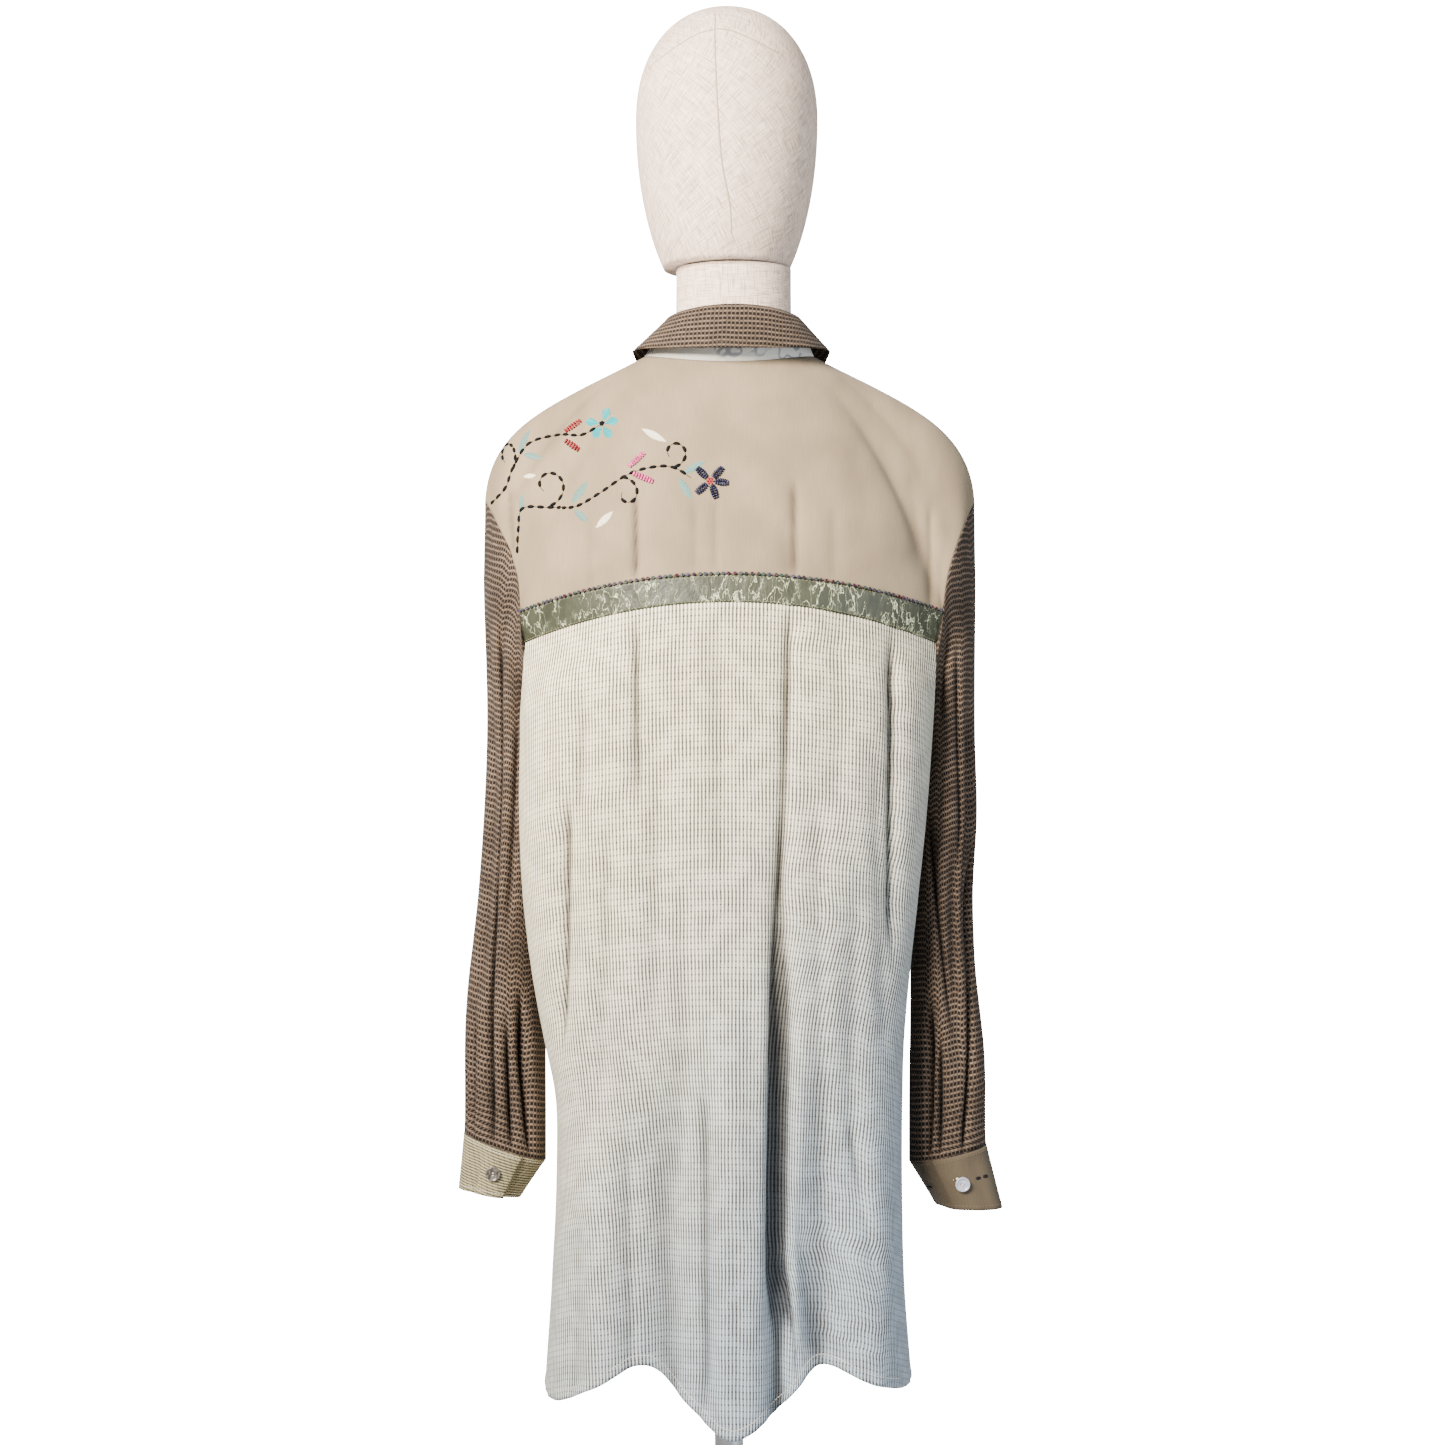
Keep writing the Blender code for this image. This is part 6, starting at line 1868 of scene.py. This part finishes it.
class BlouseStageSettings(bpy.types.PropertyGroup):
    """Light, floor and camera."""
    distance: bpy.props.FloatProperty(
        name="Camera Distance", description="From the form's upright axis to the camera",
        default=2.4, min=0.5, max=10.0, unit="LENGTH")
    height: bpy.props.FloatProperty(
        name="Camera Height", description="Height of the level camera above the floor",
        default=1.0788, min=0.0, max=3.0, unit="LENGTH")
    side: bpy.props.FloatProperty(
        name="Camera Side", description="Sideways place of the camera",
        default=0.0057, unit="LENGTH")
    field: bpy.props.FloatProperty(
        name="Width of View", description="Width that the camera sees at the form's axis",
        default=1.257, min=0.1, max=5.0, unit="LENGTH")
    floor_radius: bpy.props.FloatProperty(
        name="Floor Radius", description="Radius of the pale floor",
        default=1.55, min=0.3, max=10.0, unit="LENGTH")
    key_power: bpy.props.FloatProperty(
        name="Key Light", description="Power of the warm soft light", default=74.0, unit="POWER")
    fill_power: bpy.props.FloatProperty(
        name="Fill Light", description="Power of the cool soft light", default=15.0, unit="POWER")


class BLOUSE_OT_body(bpy.types.Operator):
    """Make the yoke, the ribbon, the back panel, the fronts and the placket"""
    bl_idname = "blouse.body"
    bl_label = "Body"

    def execute(self, context):
        """Lay each piece on its own surface, add its creases and give it its cloth."""
        values = context.scene.blouse_cloth
        strength = values.fold_strength
        crepe = crepe_look("taupe_crepe_weave", tuple(values.taupe))
        # The ribbon's last colour is that of its painted highlights
        ribbon = ribbon_look("moss_ribbon_weave", tuple(values.moss), (0.66, 0.70, 0.46))
        check = body_check(values)

        new_cloth("yoke_cloth", yoke_surface(strength), crepe, values.wall,
                  "back_yoke", flip=True)
        new_cloth("ribbon_cloth", ribbon_surface(), ribbon, values.wall,
                  "yoke_band", flip=True)
        new_cloth("back_cloth", back_surface(strength), check, values.wall,
                  "back_panel", flip=True)
        for name, side, edge in (("left", 1, FRONT_LEFT_EDGE), ("right", -1, FRONT_RIGHT_EDGE)):
            upper, lower = (creased(grid, FRONT_FOLDS, strength, -1)
                            for grid in front_grids(side, edge))
            new_front(f"front_{name}_cloth", upper, lower, check, values.wall, f"front_{name}",
                      side < 0)
        new_cloth("placket_cloth", placket_grid(strength), check, values.wall,
                  "front_placket")
        return {"FINISHED"}


class BLOUSE_OT_sleeves(bpy.types.Operator):
    """Make both sleeves and both cuffs"""
    bl_idname = "blouse.sleeves"
    bl_label = "Sleeves and Cuffs"

    def execute(self, context):
        """Turn each sleeve and each cuff round its arm and give it its cloth."""
        values = context.scene.blouse_cloth
        tweed = tweed_look("brown_tweed_weave", values)
        # The left cuff is the body's cream cloth, darkened as painted shade
        shaded_cuff_cream = tuple(part * share for part, share in zip(values.cream, SHADED_CUFF_CREAM))
        check = check_look("shaded_cream_cuff_weave", shaded_cuff_cream, (0.035, 0.030, 0.024),
                           values.rib_pitch * 0.78, values.row_pitch, turned=True)
        # The right cuff is the yoke's taupe crepe at 0.30 of its brightness: painted shade where it
        # hangs in shadow
        crepe = crepe_look("shaded_taupe_cuff_weave", dim(values.taupe, 0.30))
        for name, side, creases, sharp, cuff, look, cloth_slot in (
                ("left", 1, CREASE_LEFT_ROWS, SHARP_LEFT_ROWS, CUFF_LEFT_ROWS, check,
                 "cream_check"),
                ("right", -1, CREASE_RIGHT_ROWS, SHARP_RIGHT_ROWS, CUFF_RIGHT_ROWS, crepe,
                 "taupe_crepe")):
            sleeve = sleeve_grid(side, creases, sharp, cuff)
            new_cloth(f"sleeve_{name}_cloth", sleeve, tweed, values.wall,
                      f"sleeve_{name}", closed=True, flip=side > 0)
            wrist = wavy_cuff(cuff_grid(side, cuff), side)
            new_cloth(f"cuff_{name}_cloth", wrist, look, values.wall, f"cuff_{name}",
                      flip=side > 0)
        return {"FINISHED"}


class BLOUSE_OT_collar(bpy.types.Operator):
    """Make the collar's stand and its fall"""
    bl_idname = "blouse.collar"
    bl_label = "Collar"

    def execute(self, context):
        """Lay the stand in jacquard and the fall in tweed."""
        values = context.scene.blouse_cloth
        look = jacquard_look("cream_jacquard_weave", (0.80, 0.76, 0.66), (0.36, 0.36, 0.36))
        new_cloth("collar_stand_cloth", collar_stand_grid(), look, values.wall,
                  "collar_stand")
        new_cloth("collar_fall_cloth", collar_fall_grid(), tweed_look("collar_tweed_weave", values),
                  values.wall, "collar_fall", flip=True)
        return {"FINISHED"}


class BLOUSE_OT_form(bpy.types.Operator):
    """Cover the dress form and its head in linen"""
    bl_idname = "blouse.form"
    bl_label = "Dress Form"

    def execute(self, context):
        """Make the torso with its flat underside and the head with its seams."""
        values = context.scene.blouse_cloth
        torso, head = form_grid(), head_grid()
        for name, node, grid, weave, bias, ends in (
                ("form_cover", "form_torso", torso, "linen_straight", 0.0, (-1,)),
                ("head_cover", "form_head", head, "linen_bias", radians(45), (0, -1))):
            corners = grid_corners(*grid.shape[:2], closed=True)[:, ::-1]
            cloth = map_corners(cloth_map(grid, True))[:, ::-1]
            look = linen_look(weave, tuple(values.linen), bias)
            made = new_piece(name, grid, corners, look, cloth)
            stands_for(made, "linen", node, *(grid[end] for end in ends))
        cord = thread_look("linen_cord", dim(values.linen, 0.42), 0.8)
        for name, seam in (("back", HEAD_SEAM_BACK), ("crown", HEAD_SEAM_CROWN)):
            path, up = seen_on(head, smooth_path(seam))
            thread_mesh(f"head_seam_{name}", path[None], up[None], *HEAD_SEAM, cord)
        return {"FINISHED"}


class BLOUSE_OT_stand(bpy.types.Operator):
    """Make the round base and the pole"""
    bl_idname = "blouse.stand"
    bl_label = "Stand"

    def execute(self, context):
        """Turn both profiles round the upright axis."""
        steel = steel_look("brushed_steel_turned")
        hub_top = BASE_HEIGHT + HUB_HEIGHT
        base = ((AXIS_GAP, hub_top), (POLE_RADIUS + EDGE_CHAMFER, hub_top),
                (HUB_RADIUS, BASE_HEIGHT + EDGE_CHAMFER),
                (HUB_RADIUS + EDGE_CHAMFER, BASE_HEIGHT),
                (BASE_RADIUS - EDGE_CHAMFER, BASE_HEIGHT),
                (BASE_RADIUS - EDGE_BEND, BASE_HEIGHT - EDGE_BEND),
                (BASE_RADIUS, BASE_HEIGHT - EDGE_CHAMFER), (BASE_RADIUS, 0.0), (AXIS_GAP, 0.0))
        turned_piece("base_turned", "stand_base", base, steel)
        top = FORM_ROWS[0][0]
        pole = ((AXIS_GAP, top), (POLE_RADIUS, top), (POLE_RADIUS, hub_top), (AXIS_GAP, hub_top))
        turned_piece("pole_turned", "stand_pole", pole, steel)
        return {"FINISHED"}


class BLOUSE_OT_stage(bpy.types.Operator):
    """Make the floor, the soft lights and the camera"""
    bl_idname = "blouse.stage"
    bl_label = "Stage"

    def execute(self, context):
        """Place them round the form from the stage's own sizes."""
        values = context.scene.blouse_stage
        angle = all_round(FLOOR_SEGMENTS)
        ring = np.stack((np.cos(angle), np.sin(angle), np.zeros_like(angle)), axis=-1)
        mesh = bpy.data.meshes.new("floor")
        mesh.from_pydata(ring * values.floor_radius, [], [tuple(range(FLOOR_SEGMENTS))])
        mesh.materials.append(plain_look("floor_paint", (0.80, 0.80, 0.80), 0.9, scale=900.0))
        floor = bpy.data.objects.new("floor", mesh)
        context.scene.collection.objects.link(floor)

        world = bpy.data.worlds.new("studio")
        world.use_nodes = True
        tree = world.node_tree
        sky = tree.nodes["Background"]
        sky.inputs["Color"].default_value = (0.96, 0.98, 1.0, 1.0)
        rays = tree.nodes.new("ShaderNodeLightPath")
        level = tree.nodes.new("ShaderNodeMapRange")
        level.inputs["To Min"].default_value = SKY_STRENGTH
        level.inputs["To Max"].default_value = BACKDROP_STRENGTH
        tree.links.new(rays.outputs["Is Camera Ray"], level.inputs["Value"])
        tree.links.new(level.outputs["Result"], sky.inputs["Strength"])
        context.scene.world = world
        add_light("key", values.key_power, *KEY_LIGHT)
        add_light("fill", values.fill_power, *FILL_LIGHT)

        camera = bpy.data.objects.new("camera", bpy.data.cameras.new("camera"))
        camera.data.sensor_width = SENSOR_WIDTH
        camera.data.lens = SENSOR_WIDTH * values.distance / values.field
        camera.location = (values.side, values.distance, values.height)
        camera.rotation_euler = (pi / 2, 0.0, pi)
        context.scene.collection.objects.link(camera)
        context.scene.camera = camera
        return {"FINISHED"}


class BLOUSE_PT_panel(bpy.types.Panel):
    """Panel that lists the steps"""
    bl_label = "Embroidered Blouse"
    bl_idname = "BLOUSE_PT_panel"
    bl_space_type = "VIEW_3D"
    bl_region_type = "UI"
    bl_category = "Blouse"

    def draw(self, context):
        """List the sizes and colours, then the steps in order."""
        layout = self.layout
        for group in SETTINGS:
            values = getattr(context.scene, group)
            box = layout.box()
            for key in values.__annotations__:
                box.prop(values, key)
        for step in STEPS:
            layout.operator(f"blouse.{step}")


class BLOUSE_OT_buttons(bpy.types.Operator):
    """Make the seven front buttons and the two cuff buttons with their thread"""
    bl_idname = "blouse.buttons"
    bl_label = "Buttons"

    def execute(self, context):
        """Turn each button in the place and the way its solid faces."""
        shell = shell_look("mother_of_pearl")
        horn = horn_look("grey_horn")
        thread = thread_look("button_thread", (0.60, 0.56, 0.47), 0.8)
        threads = []
        for number in range(1, len(BUTTON_HEIGHTS) + 1):
            node = f"button_front_{number}"
            made = button_piece(f"front_button_{number}_turned", node, (0.0, 0.0, 1.0),
                                FRONT_BUTTON, 4, shell, "shell_button")
            threads.append(made)
        for name, side, holes, look, slot_name in (
                ("left", 1, 4, horn, "horn_button"), ("right", -1, 2, shell, "shell_button")):
            made = button_piece(f"cuff_{name}_button_turned", f"button_cuff_{name}",
                                (side * 0.2, 0.0, 0.69), CUFF_BUTTON, holes, look, slot_name)
            threads.append(made)
        thread_mesh("button_threads", *map(np.concatenate, zip(*threads)), *TOP_STITCH[2:], thread)
        return {"FINISHED"}


class BLOUSE_OT_sewing(bpy.types.Operator):
    """Sew the edges and set the beads along the ribbon"""
    bl_idname = "blouse.sewing"
    bl_label = "Sewing and Beads"

    def execute(self, context):
        """Run each row of stitches along its cloth's edge and the beads above the ribbon."""
        values = context.scene.blouse_cloth
        strength = values.fold_strength
        cream = thread_look("cream_thread", (0.62, 0.56, 0.46))
        olive = thread_look("olive_thread", (0.17, 0.17, 0.09))
        brown = thread_look("brown_thread", (0.07, 0.05, 0.04))

        band = ribbon_surface()
        panel = back_surface(strength)
        stand = collar_stand_grid()
        fall = collar_fall_grid()
        left = wavy_cuff(cuff_grid(1, CUFF_LEFT_ROWS), 1)
        right = wavy_cuff(cuff_grid(-1, CUFF_RIGHT_ROWS), -1)
        strip = placket_grid(strength)
        cream_rows = [level_path(panel, HEM_WIDTH), level_path(stand, STAND_SEWING),
                      *both_edges(left, CUFF_SEWING)]
        for side, edge in ((1, FRONT_LEFT_EDGE), (-1, FRONT_RIGHT_EDGE)):
            lower = creased(front_grids(side, edge)[1], FRONT_FOLDS, strength, -1)
            cream_rows.append(level_path(lower, HEM_WIDTH))
        strip_up = normals(strip)
        cream_rows += [(strip[:, 1], strip_up[:, 1]), (strip[:, -2], strip_up[:, -2])]
        sew("cream_stitches", cream_rows, TOP_STITCH, cream)
        sew("olive_stitches", both_edges(band, RIBBON_SEWING), TOP_STITCH, olive)
        sew("brown_stitches", [level_path(fall, FALL_SEWING)], TOP_STITCH, brown)
        taupe = thread_look("taupe_thread", (0.13, 0.095, 0.058))
        sew("taupe_stitches", both_edges(right, CUFF_SEWING), TOP_STITCH, taupe)
        black = plain_look("black_cuff_thread", (0.004, 0.004, 0.005), 0.6, scale=2600.0,
                           specular=0.2)
        marks = [marked(right, row) for row in CUFF_DASH_ROWS]
        thread_mesh("cuff_dashes", *map(np.stack, zip(*marks)), *BLACK_STITCH[2:], black)
        for name, grid, row, look in (("left", left, CUFF_HOLE_LEFT, brown),
                                      ("right", right, CUFF_HOLE_RIGHT, cream)):
            path, up = marked(grid, row)
            thread_mesh(f"buttonhole_{name}", path[None], up[None], *HOLE_THREAD, look)

        top = band[0] + unit(band[0] - band[1]) * SEAM_BEAD_LIFT
        up = normals(band)[0]
        wanted = np.arange(SEAM_BEAD_END, line_lengths(top)[-1] - SEAM_BEAD_END, SEAM_BEAD_PITCH)
        wanted = wanted + SEAM_BEAD_DRIFT * np.sin(wanted * 913.0)
        middles = at_lengths(top, top + up * SEAM_BEAD_RISE, wanted)
        over = at_lengths(top, up, wanted)
        drift = (np.sin(wanted * 2311.0), np.zeros_like(wanted), np.cos(wanted * 1733.0))
        axes = unit(over + SEAM_BEAD_TILT * np.stack(drift, axis=-1))
        bead_mesh("ribbon_beads", middles, axes, SEAM_BEAD, bead_look("dark_iris_glass"))
        thread_mesh("ribbon_bead_thread", *stitch_lines(middles, over, BEAD_STITCH), *BEAD_THREAD,
                    brown)
        return {"FINISHED"}


class BLOUSE_OT_embroidery(bpy.types.Operator):
    """Embroider the vines, leaves and flowers on the back yoke and the right cuff"""
    bl_idname = "blouse.embroidery"
    bl_label = "Embroidery"

    def execute(self, context):
        """Lay each stem, curl, leaf, petal and bead on the yoke's own surface."""
        yoke = yoke_surface(context.scene.blouse_cloth.fold_strength)
        black = plain_look("black_thread", (0.002, 0.002, 0.003), 0.7, scale=2600.0, specular=0.1)
        stems = [smooth_path(VINE_HIGH), smooth_path(VINE_LOW)]
        paths = [seen_on(yoke, seen) for seen in stems + [curl_path(row) for row in CURL_ROWS]]
        sew("vine_stitches", paths, BLACK_STITCH, black)
        sew("vine_thread", paths, VINE_THREAD, black)

        looks = {"teal": satin_look("pale_teal_satin", (0.125, 0.235, 0.205)),
                 "white": satin_look("white_satin", (0.84, 0.77, 0.58)),
                 "turquoise": satin_look("turquoise_satin", (0.0, 0.27, 0.30)),
                 "red": bead_glass("red_glass", (0.15, 0.001, 0.008)),
                 "pink": bead_glass("pink_glass", (0.40, 0.045, 0.15)),
                 "navy": bead_glass("navy_glass", (0.006, 0.006, 0.020))}
        leaves = {"teal": [], "white": []}
        for row in LEAF_ROWS:
            values = dict(zip(LEAF_COLUMNS, row))
            root = (values["root_x"], values["root_z"])
            tip = (values["tip_x"], values["tip_z"])
            leaves[values["colour"]].append(leaf_grid(yoke, root, tip, values["half"]))
        for colour, made in leaves.items():
            satin_mesh(f"{colour}_leaves", made, looks[colour])

        *middle, root, length, half = SATIN_FLOWER
        petals = [leaf_grid(yoke, middle + way * root, middle + way * length, half, 1.5)
                  for way in petal_ways(SATIN_FLOWER_TURNS)]
        satin_mesh("turquoise_petals", petals, looks["turquoise"])
        knots, up = seen_on(yoke, middle + ring_points(5, 0.3) * KNOT_RING)
        bead_mesh("flower_knots", knots + up * KNOT_RISE, up, KNOT_BEAD, black)

        beads = {"red": [], "pink": [], "navy": []}
        for *ends, rows, colour in BEAD_LEAF_ROWS:
            beads[colour].append(bead_stack(yoke, ends[:2], ends[2:], rows))
        *middle, root, length = BEAD_FLOWER
        for way in petal_ways(BEAD_FLOWER_TURNS):
            ends = (middle + way * root, middle + way * length)
            beads["navy"].append(bead_stack(yoke, *ends, 6, 1.4))
        for colour, stacks in beads.items():
            bead_mesh(f"{colour}_beads", *map(np.concatenate, zip(*stacks)), PETAL_BEAD,
                      looks[colour])
        seen = np.concatenate((middle + ring_points(6, 0.0) * CENTRE_RING, [middle]))
        middles, up = seen_on(yoke, seen)
        bead_mesh("flower_centre_beads", middles + up * CENTRE_RISE, up, SMALL_BEAD,
                  bead_glass("rose_glass", (0.28, 0.003, 0.020)))
        return {"FINISHED"}


SETTINGS = {"blouse_cloth": BlouseClothSettings, "blouse_stage": BlouseStageSettings}
STEPS = {
    "stage": BLOUSE_OT_stage,
    "stand": BLOUSE_OT_stand,
    "form": BLOUSE_OT_form,
    "body": BLOUSE_OT_body,
    "sleeves": BLOUSE_OT_sleeves,
    "collar": BLOUSE_OT_collar,
    "buttons": BLOUSE_OT_buttons,
    "sewing": BLOUSE_OT_sewing,
    "embroidery": BLOUSE_OT_embroidery,
}


def register():
    """Register the settings, the steps and the panel."""
    for name, group in SETTINGS.items():
        bpy.utils.register_class(group)
        setattr(bpy.types.Scene, name, bpy.props.PointerProperty(type=group))
    for step in STEPS.values():
        bpy.utils.register_class(step)
    bpy.utils.register_class(BLOUSE_PT_panel)


def unregister():
    """Remove the panel, the steps and the settings."""
    bpy.utils.unregister_class(BLOUSE_PT_panel)
    for step in reversed(STEPS.values()):
        bpy.utils.unregister_class(step)
    for name, group in reversed(SETTINGS.items()):
        delattr(bpy.types.Scene, name)
        bpy.utils.unregister_class(group)


def main():
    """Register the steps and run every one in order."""
    register()
    for step in STEPS:
        getattr(bpy.ops.blouse, step)()


if __name__ == "__main__":
    main()
